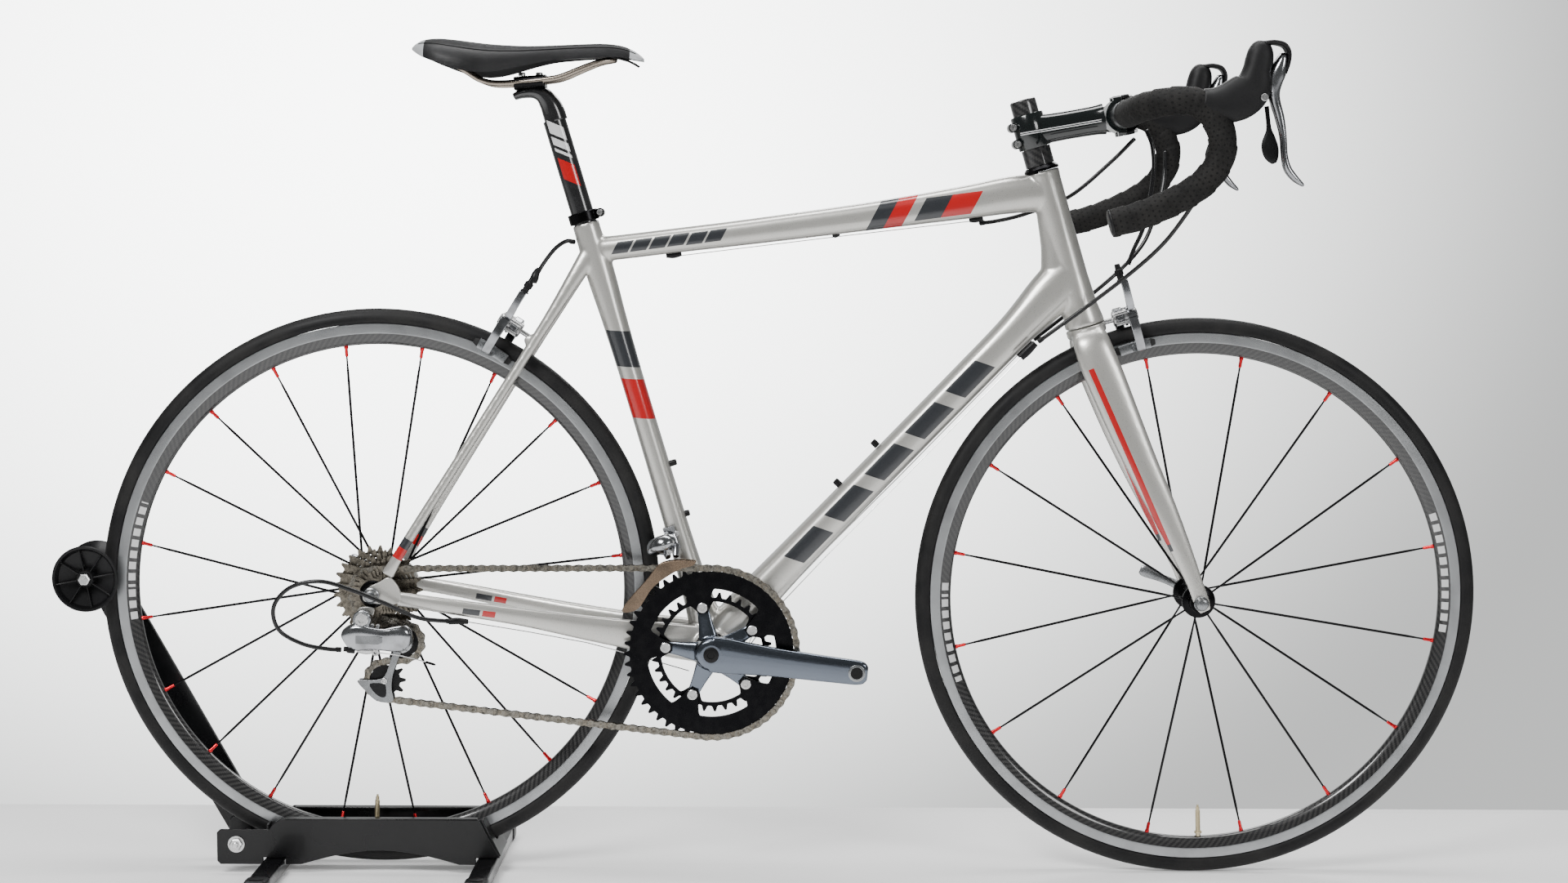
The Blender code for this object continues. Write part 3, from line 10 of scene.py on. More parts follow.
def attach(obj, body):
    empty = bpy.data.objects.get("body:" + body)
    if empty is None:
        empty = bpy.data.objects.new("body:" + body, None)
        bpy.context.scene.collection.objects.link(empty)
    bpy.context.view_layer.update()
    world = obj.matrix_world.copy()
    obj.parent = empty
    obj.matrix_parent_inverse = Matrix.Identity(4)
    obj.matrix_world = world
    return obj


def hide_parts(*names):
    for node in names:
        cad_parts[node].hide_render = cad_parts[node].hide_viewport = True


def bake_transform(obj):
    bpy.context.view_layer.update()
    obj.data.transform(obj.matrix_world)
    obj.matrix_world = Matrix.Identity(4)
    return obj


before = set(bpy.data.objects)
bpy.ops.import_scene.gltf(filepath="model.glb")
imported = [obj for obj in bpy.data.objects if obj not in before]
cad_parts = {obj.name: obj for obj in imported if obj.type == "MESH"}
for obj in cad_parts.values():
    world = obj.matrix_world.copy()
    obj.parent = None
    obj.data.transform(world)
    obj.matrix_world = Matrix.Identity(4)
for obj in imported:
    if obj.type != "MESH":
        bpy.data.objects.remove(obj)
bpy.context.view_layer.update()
scene = bpy.context.scene

# Positions are given from the rear axle, in metres; the part's own frame starts this far in front of it.
ORIGIN_X = 0.4595
WHEELBASE = 0.974
REAR_AXLE = (0.0, 0.343)
FRONT_AXLE = (WHEELBASE, 0.334)
BOTTOM_BRACKET = (0.398, 0.272)
BAR_CENTRE = (0.880, 0.9055)
BAR_HALF_WIDTH = 0.212
HEAD_TOP = (0.787, 0.840)
HEAD_LENGTH = 0.190
SEAT_ANGLE = math.radians(73.4)
HEAD_ANGLE = math.radians(73.8)
SEAT_UP = (-math.cos(SEAT_ANGLE), math.sin(SEAT_ANGLE))
STEER_DOWN = (math.cos(HEAD_ANGLE), -math.sin(HEAD_ANGLE))
STEER_FRONT = (math.sin(HEAD_ANGLE), math.cos(HEAD_ANGLE))
ROLLER_AXLE = (-0.349, 0.355)
PIVOT_BOLT = (-0.172, 0.0366)
SPOKE_PHASE = math.radians(79.7)
CHAIN_PITCH = 0.0127
RING_Y = -0.0470
COG_Y = -0.0485
GUIDE_PULLEY = (0.033, 0.284)
TENSION_PULLEY = (0.011, 0.2385)
FRONT_CALIPER = (0.8870, 0.6690)
REAR_CALIPER = (0.1570, 0.6580)
STAY_UP = (0.534, 0.845)
STAY_OUT = (-0.845, 0.534)
# The down tube's line and the way out of its upper side, and the way out of the seat tube's front.
DOWN_TUBE_RUN = (0.6947, 0, 0.7193)
DOWN_TUBE_OUT = (-0.7193, 0, 0.6947)
SEAT_TUBE_OUT = (0.958, 0, 0.287)
Y_AXIS = (0, 1, 0)

# The camera, as a lens and a place, with its turn, tilt and lean in degrees.
CAMERA_LENS = 58.3
CAMERA_PLACE = (0.0501, -3.018, 0.7839)
CAMERA_TURN, CAMERA_TILT, CAMERA_LEAN = 0.508, -5.014, -0.101
# The pale surround: its brightness near its bright side and away from it, as seen and as a light.
SURROUND_SEEN = (8.0, 0.75)
SURROUND_LIGHT = (0.75, 0.17)


def W(x, y, z):
    """A point given from the rear axle, moved to the part's own frame."""
    return Vector((x - ORIGIN_X, y, z))


def at(point, y):
    return W(point[0], y, point[1])


def D(direction):
    """A side-view direction, as a vector."""
    return Vector((direction[0], 0, direction[1]))


def steer(down, front=0.0):
    """A side-view point so far down the steering axis from the head tube's top, and in front of it."""
    x = HEAD_TOP[0] + STEER_DOWN[0] * down + STEER_FRONT[0] * front
    return (x, HEAD_TOP[1] + STEER_DOWN[1] * down + STEER_FRONT[1] * front)


def seat_line(up):
    """A side-view point so far up the seat tube from the bottom bracket."""
    return (BOTTOM_BRACKET[0] + SEAT_UP[0] * up, BOTTOM_BRACKET[1] + SEAT_UP[1] * up)


# ---------------------------------------------------------------- camera, lights and floor


def add_camera():
    data = bpy.data.cameras.new("camera")
    data.lens = CAMERA_LENS
    data.sensor_width = 36.0
    made = bpy.data.objects.new("camera", data)
    yaw = Matrix.Rotation(math.radians(CAMERA_TURN), 3, "Z")
    pitch = Matrix.Rotation(math.radians(CAMERA_TILT), 3, "X")
    roll = Matrix.Rotation(math.radians(CAMERA_LEAN), 3, "Y")
    turn = yaw @ pitch @ roll
    right, forward, up = (turn @ Vector(axis) for axis in ((1, 0, 0), (0, 1, 0), (0, 0, 1)))
    basis = Matrix((right, up, -forward)).transposed()
    made.matrix_world = Matrix.Translation(CAMERA_PLACE) @ basis.to_4x4()
    scene.collection.objects.link(made)
    scene.camera = made


def add_area_light(name, place, target, size, power, colour=(1, 1, 1)):
    data = bpy.data.lights.new(name, "AREA")
    data.shape = "RECTANGLE"
    data.size = size[0]
    data.size_y = size[1]
    data.energy = power
    data.color = colour
    made = bpy.data.objects.new(name, data)
    made.location = place
    made.rotation_euler = (Vector(target) - Vector(place)).to_track_quat("-Z", "Y").to_euler()
    made.visible_camera = False
    scene.collection.objects.link(made)


def add_studio():
    """Soft boxes in front and above, in a plain pale surround that is brighter to the upper left."""
    world = bpy.data.worlds.new("studio")
    world.use_nodes = True
    tree = world.node_tree
    lights = tree.nodes["Background"]
    lights.inputs["Color"].default_value = (0.95, 0.97, 0.96, 1)
    seen = tree.nodes.new("ShaderNodeBackground")
    seen.inputs["Color"].default_value = (0.985, 1.0, 0.993, 1)
    place = tree.nodes.new("ShaderNodeTexCoord").outputs["Generated"]
    stretch = tree.nodes.new("ShaderNodeVectorMath")
    stretch.operation = "MULTIPLY"
    stretch.inputs[1].default_value = (1.0, 1.0, 1.35)
    tree.links.new(place, stretch.inputs[0])
    away = tree.nodes.new("ShaderNodeVectorMath")
    away.operation = "DISTANCE"
    away.inputs[1].default_value = (-0.16, 0.985, 0.068)
    tree.links.new(stretch.outputs[0], away.inputs[0])
    for value, (near, far), (bright, dim), shader in (
        (away.outputs["Value"], (0.0, 0.5), SURROUND_SEEN, seen),
        (away.outputs["Value"], (0.3, 1.1), SURROUND_LIGHT, lights),
    ):
        level = tree.nodes.new("ShaderNodeMapRange")
        level.interpolation_type = "SMOOTHSTEP"
        for name, number in (("From Min", near), ("From Max", far), ("To Min", bright), ("To Max", dim)):
            level.inputs[name].default_value = number
        tree.links.new(value, level.inputs["Value"])
        tree.links.new(level.outputs["Result"], shader.inputs["Strength"])
    choose = tree.nodes.new("ShaderNodeMixShader")
    tree.links.new(tree.nodes.new("ShaderNodeLightPath").outputs["Is Camera Ray"], choose.inputs["Fac"])
    tree.links.new(lights.outputs[0], choose.inputs[1])
    tree.links.new(seen.outputs[0], choose.inputs[2])
    tree.links.new(choose.outputs[0], tree.nodes["World Output"].inputs["Surface"])
    scene.world = world
    add_area_light("key_light", (-1.3, -2.0, 2.5), (0.0, 0.0, 0.5), (1.3, 0.8), 90)
    add_area_light("fill_light", (2.0, -2.0, 1.6), (0.2, 0.0, 0.5), (0.8, 1.0), 24)
    add_area_light("top_light", (0.0, 0.1, 2.4), (0.0, 0.0, 0.4), (2.4, 0.6), 48)
    add_area_light("back_light", (0.6, 2.4, 2.2), (0.0, 0.0, 0.4), (1.6, 0.8), 30)


# ---------------------------------------------------------------- materials


class Nodes:
    """Short calls for building a node tree round one Principled shader."""

    def __init__(self, name):
        self.material = bpy.data.materials.new(name)
        self.material.use_nodes = True
        self.tree = self.material.node_tree
        self.shader = self.tree.nodes["Principled BSDF"]
        self.coords = None

    def node(self, kind, **settings):
        made = self.tree.nodes.new(kind)
        for key, value in settings.items():
            setattr(made, key, value)
        return made

    def link(self, a, b):
        self.tree.links.new(a, b)

    def place(self, which="Object"):
        if self.coords is None:
            self.coords = self.node("ShaderNodeTexCoord")
        return self.coords.outputs[which]

    def noise(self, scale, detail=3.0, vector=None, roughness=0.5):
        made = self.node("ShaderNodeTexNoise")
        made.inputs["Scale"].default_value = scale
        made.inputs["Detail"].default_value = detail
        made.inputs["Roughness"].default_value = roughness
        self.link(vector or self.place(), made.inputs["Vector"])
        return made.outputs["Fac"]

    def voronoi(self, scale, feature="F1", vector=None):
        made = self.node("ShaderNodeTexVoronoi", feature=feature)
        made.inputs["Scale"].default_value = scale
        self.link(vector or self.place(), made.inputs["Vector"])
        return made.outputs["Distance"]

    def maths(self, operation, a, b=0.0, clamp=False):
        made = self.node("ShaderNodeMath", operation=operation, use_clamp=clamp)
        for socket, value in zip(made.inputs, (a, b)):
            if isinstance(value, (int, float)):
                socket.default_value = value
            else:
                self.link(value, socket)
        return made.outputs[0]

    def ramp(self, value, low, high, a=0.0, b=1.0):
        made = self.node("ShaderNodeMapRange", clamp=True)
        self.link(value, made.inputs["Value"])
        made.inputs["From Min"].default_value = low
        made.inputs["From Max"].default_value = high
        made.inputs["To Min"].default_value = a
        made.inputs["To Max"].default_value = b
        return made.outputs[0]

    def mix(self, factor, a, b):
        made = self.node("ShaderNodeMix", data_type="RGBA")
        for socket, value in zip((made.inputs[0], made.inputs[6], made.inputs[7]), (factor, a, b)):
            if isinstance(value, (int, float)):
                socket.default_value = value
            elif isinstance(value, tuple):
                socket.default_value = (*value, 1.0)
            else:
                self.link(value, socket)
        return made.outputs[2]

    def axis(self, name, which="Object"):
        made = self.node("ShaderNodeSeparateXYZ")
        self.link(self.place(which), made.inputs[0])
        return made.outputs[name]

    def along(self, origin, direction):
        """How far a point lies from origin along direction, in the part's own frame."""
        made = self.node("ShaderNodeVectorMath", operation="DOT_PRODUCT")
        self.link(self.place(), made.inputs[0])
        made.inputs[1].default_value = direction
        return self.maths("SUBTRACT", made.outputs["Value"], Vector(origin).dot(Vector(direction)))

    def band(self, value, low, high):
        above = self.maths("GREATER_THAN", value, low)
        return self.maths("MULTIPLY", above, self.maths("LESS_THAN", value, high))

    def bump(self, height, strength, distance):
        made = self.node("ShaderNodeBump")
        made.inputs["Strength"].default_value = strength
        made.inputs["Distance"].default_value = distance
        self.link(height, made.inputs["Height"])
        self.link(made.outputs[0], self.shader.inputs["Normal"])

    def set(self, name, value):
        socket = self.shader.inputs[name]
        if isinstance(value, (int, float)):
            socket.default_value = value
        elif isinstance(value, tuple):
            socket.default_value = (*value, 1.0)
        else:
            self.link(value, socket)


def metal(name, colour, roughness, grime=0.35, dark=(0.05, 0.045, 0.04), scale=60):
    n = Nodes(name)
    cloud = n.noise(scale, 5)
    fine = n.noise(900, 2)
    n.set("Base Color", n.mix(n.ramp(cloud, 0.42, 0.72, 0.0, grime), colour, dark))
    n.set("Metallic", 1.0)
    n.set("Roughness", n.ramp(fine, 0.3, 0.7, roughness * 0.8, roughness * 1.25))
    n.bump(fine, 0.12, 0.0002)
    return n.material


def plastic(name, colour, roughness, bump=0.15, scale=700, coat=0.0):
    n = Nodes(name)
    fine = n.noise(scale, 3)
    dust = n.noise(14, 5)
    lighter = tuple(min(1.0, c * 1.5 + 0.004) for c in colour)
    n.set("Base Color", n.mix(n.ramp(dust, 0.45, 0.75), colour, lighter))
    n.set("Roughness", n.ramp(dust, 0.3, 0.7, roughness * 0.85, roughness * 1.15))
    n.set("Specular IOR Level", 0.22)
    n.set("Coat Weight", coat)
    n.set("Coat Roughness", 0.08)
    n.bump(fine, bump, 0.0003)
    return n.material


def carbon(name, scale=420.0, which="UV"):
    """A twill weave under clear coat: tows run over two and under two, shifting by one each row."""
    n = Nodes(name)
    u = n.maths("MULTIPLY", n.axis("X", which), scale)
    v = n.maths("MULTIPLY", n.axis("Y", which), scale)
    row = n.maths("FLOOR", v)
    shifted = n.maths("ADD", n.maths("FLOOR", u), row)
    over = n.maths("LESS_THAN", n.maths("FLOORED_MODULO", shifted, 4.0), 2.0)
    tow_u = n.maths("SINE", n.maths("MULTIPLY", u, 2 * math.pi * 3))
    tow_v = n.maths("SINE", n.maths("MULTIPLY", v, 2 * math.pi * 3))
    fibre = n.maths(
        "ADD",
        n.maths("MULTIPLY", over, tow_u),
        n.maths("MULTIPLY", n.maths("SUBTRACT", 1.0, over), tow_v),
    )
    shade = n.mix(over, (0.006, 0.006, 0.0065), (0.030, 0.029, 0.028))
    n.set("Base Color", n.mix(n.ramp(fibre, -1, 1, 0, 0.5), shade, (0.02, 0.02, 0.022)))
    n.set("Roughness", n.ramp(over, 0, 1, 0.28, 0.42))
    n.set("Metallic", 0.2)
    n.set("Coat Weight", 1.0)
    n.set("Coat Roughness", 0.04)
    n.bump(n.maths("ADD", over, n.maths("MULTIPLY", fibre, 0.15)), 0.08, 0.0001)
    return n.material


SILVER = (0.56, 0.55, 0.515)
GREY = (0.018, 0.020, 0.024)
RED = (0.42, 0.0, 0.002)


def paint(name, stripes):
    """Fine metallic paint; stripes are (mask builder, colour) pairs drawn under the clear coat."""
    n = Nodes(name)
    flake = n.noise(2600, 1)
    cloud = n.noise(5, 3)
    colour = n.mix(n.ramp(flake, 0.38, 0.66, 0, 0.30), SILVER, (0.74, 0.73, 0.71))
    colour = n.mix(n.ramp(cloud, 0.4, 0.7, 0, 0.10), colour, (0.40, 0.385, 0.36))
    metallic = 0.70
    total = None
    for mask, tint in stripes:
        made = mask(n)
        colour = n.mix(made, colour, tint)
        total = made if total is None else n.maths("MAXIMUM", total, made)
    n.set("Base Color", colour)
    if total is None:
        n.set("Metallic", metallic)
    else:
        n.set("Metallic", n.maths("MULTIPLY", n.maths("SUBTRACT", 1.0, total), metallic))
    n.set("Roughness", n.ramp(n.noise(1300, 2), 0.3, 0.7, 0.27, 0.36))
    n.set("Coat Weight", 0.7)
    n.set("Coat Roughness", 0.05)
    n.bump(n.noise(220, 2), 0.03, 0.0006)
    return n.material


def slanted(origin, direction, low, high, slant_origin, slant_direction, edge_low, edge_high):
    """A stripe between two heights across one direction and two slanted ends along another."""

    def build(n):
        across = n.band(n.along(origin, direction), low, high)
        ends = n.band(n.along(slant_origin, slant_direction), edge_low, edge_high)
        return n.maths("MULTIPLY", across, ends)

    return build


def frame_paint():
    """The frame's stripes: slanted bars on the top tube, blocks on the seat and down tubes, stay bands."""
    lean = Vector((math.cos(math.radians(-28)), 0, math.sin(math.radians(-28))))
    down = Vector(DOWN_TUBE_RUN)
    down_up = Vector(DOWN_TUBE_OUT)
    seat = D(SEAT_UP)
    seat_front = Vector((SEAT_UP[1], 0, -SEAT_UP[0]))
    top_only = (W(0.6, 0, 0.70), Vector((0, 0, 1)), 0.0, 0.4)
    stripes = []
    spot = W(0.612, 0, 0.790)
    stripes.append((slanted(*top_only, spot, lean, -0.0200, -0.0030), GREY))
    stripes.append((slanted(*top_only, spot, lean, -0.0030, 0.0150), RED))
    for x, z, low, high, tint in (
        (0.660, 0.797, -0.0140, 0.0120, GREY), (0.690, 0.801, -0.0130, 0.0160, RED),
        (0.292, 0.750, -0.0080, 0.0080, GREY), (0.314, 0.753, -0.0080, 0.0080, GREY),
        (0.336, 0.756, -0.0080, 0.0080, GREY), (0.358, 0.759, -0.0080, 0.0080, GREY),
        (0.380, 0.761, -0.0080, 0.0080, GREY), (0.402, 0.764, -0.0080, 0.0080, GREY),
    ):
        tall = 0.0125 if x > 0.5 else 0.0068
        stripes.append(
            (slanted(W(x, 0, z), Vector((-0.129, 0, 0.992)), -tall, tall, W(x, 0, z), lean, low, high), tint)
        )
    middle = at(seat_line(0.330), 0)
    seat_lean = (seat * 0.94 + seat_front * 0.34).normalized()
    stay_clear = (middle, seat_front, -0.0125, 0.0190)
    stripes.append((slanted(*stay_clear, middle, seat_lean, 0.020, 0.062), GREY))
    stripes.append((slanted(*stay_clear, middle, seat_lean, -0.040, 0.006), RED))
    centre = W(0.610, 0, 0.4995)
    down_lean = (down * 0.90 + down_up * 0.42).normalized()
    for start in range(5):
        low = -0.150 + start * 0.062
        stripes.append((slanted(centre, down_up, -0.0115, 0.0115, centre, down_lean, low, low + 0.046), GREY))
    band = W(0.036, 0, 0.394)
    rear_end = (W(0.05, 0, 0.39), Vector((1, 0, 0)), -0.030, 0.010)
    along = Vector((0.534, 0, 0.845))
    stripes.append((slanted(*rear_end, band, along, -0.010, 0.004), RED))
    stripes.append((slanted(*rear_end, band, along, 0.004, 0.016), GREY))
    chain_line = W(0.120, 0, 0.322)
    stripes.append(
        (
            slanted(
                chain_line, Vector((0.14, 0, 0.99)), -0.0035, 0.0035, chain_line, Vector((0.97, 0, -0.24)),
                -0.014, 0.006,
            ),
            GREY,
        )
    )
    stripes.append(
        (
            slanted(
                chain_line, Vector((0.14, 0, 0.99)), -0.0035, 0.0035, chain_line, Vector((0.97, 0, -0.24)),
                0.009, 0.024,
            ),
            RED,
        )
    )
    return paint("frame_paint", stripes)


def fork_paint():
    """A red pinstripe runs down behind the leading face of each blade."""
    run = Vector((0.9275 - 0.8622, 0, 0.4476 - 0.5950)).normalized()
    front = Vector((-run.z, 0, run.x))
    start = W(0.8622, 0, 0.5950)
    red = slanted(start, front, -0.0150, -0.0085, start, run, -0.020, 0.205)
    low = slanted(start, front, -0.0150, -0.0085, start, run, 0.205, 0.214)
    return paint("fork_paint", [(red, RED), (low, GREY)])


def tyre_rubber():
    n = Nodes("tyre_rubber")
    fine = n.noise(1500, 2)
    cloud = n.noise(22, 5)
    n.set("Base Color", n.mix(n.ramp(cloud, 0.4, 0.7), (0.006, 0.006, 0.0065), (0.017, 0.0165, 0.016)))
    n.set("Roughness", n.ramp(cloud, 0.35, 0.65, 0.50, 0.66))
    n.set("Specular IOR Level", 0.22)
    u = n.maths("MULTIPLY", n.axis("X", "UV"), 900.0)
    v = n.maths("MULTIPLY", n.axis("Y", "UV"), 900.0)
    weave = n.maths(
        "MULTIPLY",
        n.maths("SINE", n.maths("ADD", u, v)),
        n.maths("SINE", n.maths("SUBTRACT", u, v)),
    )
    n.bump(n.maths("ADD", n.maths("MULTIPLY", weave, 0.3), fine), 0.35, 0.0003)
    return n.material


def brake_track():
    """Machined aluminium: fine turned rings and a little brake dust."""
    n = Nodes("brake_track")
    rings = n.maths("SINE", n.maths("MULTIPLY", n.axis("Y", "UV"), 9000.0))
    dust = n.noise(30, 5)
    n.set("Base Color", n.mix(n.ramp(dust, 0.45, 0.8, 0, 0.4), (0.40, 0.41, 0.42), (0.12, 0.12, 0.12)))
    n.set("Metallic", 1.0)
    n.set("Roughness", n.ramp(rings, -1, 1, 0.24, 0.40))
    n.bump(rings, 0.15, 0.0001)
    return n.material


def tape_material():
    """Cork tape: soft matt black with a grid of pin holes, painted darker as shade inside them, and fine
    grain.
    """
    n = Nodes("bar_tape")
    u = n.maths("MULTIPLY", n.axis("X", "UV"), 1 / 0.0062)
    v = n.maths("MULTIPLY", n.axis("Y", "UV"), 1 / 0.0062)
    row = n.maths("FLOOR", u)
    v = n.maths("ADD", v, n.maths("MULTIPLY", row, 0.5))
    du = n.maths("SUBTRACT", n.maths("FRACT", u), 0.5)
    dv = n.maths("SUBTRACT", n.maths("FRACT", v), 0.5)
    reach = n.maths("SQRT", n.maths("ADD", n.maths("MULTIPLY", du, du), n.maths("MULTIPLY", dv, dv)))
    hole = n.ramp(reach, 0.16, 0.24, 1.0, 0.0)
    grain = n.noise(900, 4)
    cloud = n.noise(40, 4)
    colour = n.mix(n.ramp(cloud, 0.35, 0.7), (0.007, 0.0068, 0.0066), (0.017, 0.016, 0.015))
    # The pin holes are painted near black: painted shade inside the holes, which the bump also sinks.
    n.set("Base Color", n.mix(hole, colour, (0.003, 0.003, 0.003)))
    n.set("Roughness", n.ramp(grain, 0.3, 0.7, 0.62, 0.85))
    n.set("Specular IOR Level", 0.2)
    n.bump(n.maths("SUBTRACT", n.maths("MULTIPLY", grain, 0.5), hole), 0.5, 0.0005)
    return n.material


def leather():
    n = Nodes("saddle_leather")
    cells = n.voronoi(950, "DISTANCE_TO_EDGE")
    cloud = n.noise(18, 4)
    n.set("Base Color", n.mix(n.ramp(cloud, 0.35, 0.7), (0.005, 0.005, 0.0055), (0.012, 0.012, 0.013)))
    n.set("Roughness", n.ramp(cloud, 0.3, 0.7, 0.30, 0.44))
    n.set("Specular IOR Level", 0.25)
    n.bump(n.ramp(cells, 0.0, 0.12), 0.35, 0.0002)
    return n.material


def powder_coat():
    n = Nodes("powder_coat")
    peel = n.noise(520, 3)
    cloud = n.noise(9, 4)
    n.set("Base Color", n.mix(n.ramp(cloud, 0.45, 0.75), (0.003, 0.003, 0.0035), (0.008, 0.008, 0.0085)))
    n.set("Roughness", n.ramp(cloud, 0.3, 0.7, 0.22, 0.34))
    n.set("Specular IOR Level", 0.3)
    n.set("Coat Weight", 0.1)
    n.bump(peel, 0.14, 0.0004)
    return n.material


def stem_paint():
    """Gloss black with two thin white lines along each side."""
    n = Nodes("stem_paint")
    start = at(steer(-0.049), 0)
    reach = (at(BAR_CENTRE, 0) - start).normalized()
    up = Vector((-reach.z, 0, reach.x))
    height = n.along(start, tuple(up))
    distance = n.along(start, tuple(reach))
    lines = n.maths("MAXIMUM", n.band(height, -0.0012, -0.0002), n.band(height, -0.0034, -0.0024))
    white = n.maths("MULTIPLY", lines, n.band(distance, -0.014, 0.082))
    n.set("Base Color", n.mix(white, (0.002, 0.004, 0.004), (0.70, 0.70, 0.70)))
    n.set("Roughness", n.ramp(n.noise(500, 2), 0.3, 0.7, 0.14, 0.2))
    n.set("Coat Weight", 0.8)
    n.set("Coat Roughness", 0.03)
    n.bump(n.noise(260, 2), 0.03, 0.0005)
    return n.material


def floor_material():
    n = Nodes("studio_floor")
    cloud = n.noise(0.8, 2)
    n.set("Base Color", n.mix(n.ramp(cloud, 0.3, 0.7, 0, 0.25), (0.94, 0.94, 0.94), (0.90, 0.90, 0.90)))
    n.set("Roughness", 0.55)
    n.set("Emission Color", (1.0, 1.0, 1.0))
    n.set("Emission Strength", 0.14)
    return n.material


def rim_fairing(name, axle, spans):
    """The dark fairing, with plain pale blocks round parts of it; spans are in degrees."""
    material = carbon(name, 520.0)
    n = Nodes(name)
    n.material, n.tree = material, material.node_tree
    n.shader = n.tree.nodes["Principled BSDF"]
    x = n.maths("SUBTRACT", n.axis("X"), axle[0] - ORIGIN_X)
    z = n.maths("SUBTRACT", n.axis("Z"), axle[1])
    angle = n.maths("MULTIPLY", n.maths("ARCTAN2", z, x), 180 / math.pi)
    reach = n.maths("SQRT", n.maths("ADD", n.maths("MULTIPLY", x, x), n.maths("MULTIPLY", z, z)))
    total = None
    for low, high in spans:
        made = n.band(angle, low, high)
        total = made if total is None else n.maths("MAXIMUM", total, made)
    dash = n.maths("LESS_THAN", n.maths("FLOORED_MODULO", angle, 2.6), 1.7)
    mask = n.maths("MULTIPLY", n.maths("MULTIPLY", total, dash), n.band(reach, 0.2945, 0.3022))
    old = n.shader.inputs["Base Color"].links[0].from_socket
    n.set("Base Color", n.mix(mask, old, (0.62, 0.62, 0.62)))
    return material


MAT = {
    "frame": frame_paint(),
    "fork": fork_paint(),
    "plain_paint": paint("plain_paint", []),
    "carbon": carbon("carbon_weave"),
    "front_fairing": rim_fairing("front_fairing", FRONT_AXLE, ((-8, 20), (-180, -160), (176, 180))),
    "rear_fairing": rim_fairing("rear_fairing", REAR_AXLE, ((160, 180), (-180, -172))),
    "tyre": tyre_rubber(),
    "track": brake_track(),
    "tape": tape_material(),
    "leather": leather(),
    "coat": powder_coat(),
    "stem": stem_paint(),
    "alloy": metal("polished_alloy", (0.42, 0.43, 0.45), 0.15, 0.5),
    "crank": metal("crank_alloy", (0.15, 0.17, 0.205), 0.17, 0.15, (0.12, 0.13, 0.15), 30),
    "satin": metal("satin_alloy", (0.30, 0.31, 0.32), 0.30, 0.35),
    "steel": metal("nickel_steel", (0.25, 0.225, 0.185), 0.30, 0.8, (0.03, 0.025, 0.02), 160),
    "chain": metal("chain_steel", (0.24, 0.225, 0.195), 0.28, 0.85, (0.02, 0.018, 0.016), 260),
    "cage": metal("cage_nickel", (0.24, 0.175, 0.125), 0.26, 0.4),
    "zinc": metal("zinc_bolt", (0.66, 0.66, 0.66), 0.28, 0.35),
    "titanium": metal("titanium_rail", (0.36, 0.31, 0.26), 0.28, 0.2),
    "brass": metal("valve_brass", (0.55, 0.47, 0.30), 0.32, 0.2),
    "black_metal": metal("black_alloy", (0.010, 0.010, 0.011), 0.24, 0.1),
    "ring_black": metal("ring_black", (0.008, 0.008, 0.009), 0.30, 0.2, (0.03, 0.03, 0.03), 80),
    "red": metal("red_anodised", (0.65, 0.02, 0.03), 0.30, 0.1),
    "spoke": metal("spoke_black", (0.014, 0.014, 0.015), 0.35, 0.1),
    "plastic": plastic("black_plastic", (0.005, 0.005, 0.0055), 0.36),
    "hood": plastic("hood_rubber", (0.0045, 0.0045, 0.005), 0.50, 0.3, 1100),
    "pale": plastic("pale_bumper", (0.36, 0.37, 0.38), 0.35, 0.1, 500, 0.3),
    "housing": plastic("cable_housing", (0.006, 0.006, 0.0065), 0.25, 0.05, 300, 0.3),
    "pad": plastic("brake_pad", (0.02, 0.02, 0.02), 0.7),
}


# ---------------------------------------------------------------- mesh building


def place_object(name, mesh, mats, body, replaces=(), slot=None, sharp=35, bevel=0.0):
    mesh.shade_smooth()
    if sharp:
        mesh.set_sharp_from_angle(angle=math.radians(sharp))
    for key in mats:
        mesh.materials.append(MAT[key])
    made = bpy.data.objects.new(name, mesh)
    scene.collection.objects.link(made)
    if bevel:
        step = made.modifiers.new("round_edges", "BEVEL")
        step.width = bevel
        step.segments = 2
        step.limit_method = "ANGLE"
        step.angle_limit = math.radians(30)
    if body:
        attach(made, body)
    if replaces:
        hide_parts(*replaces)
    return made


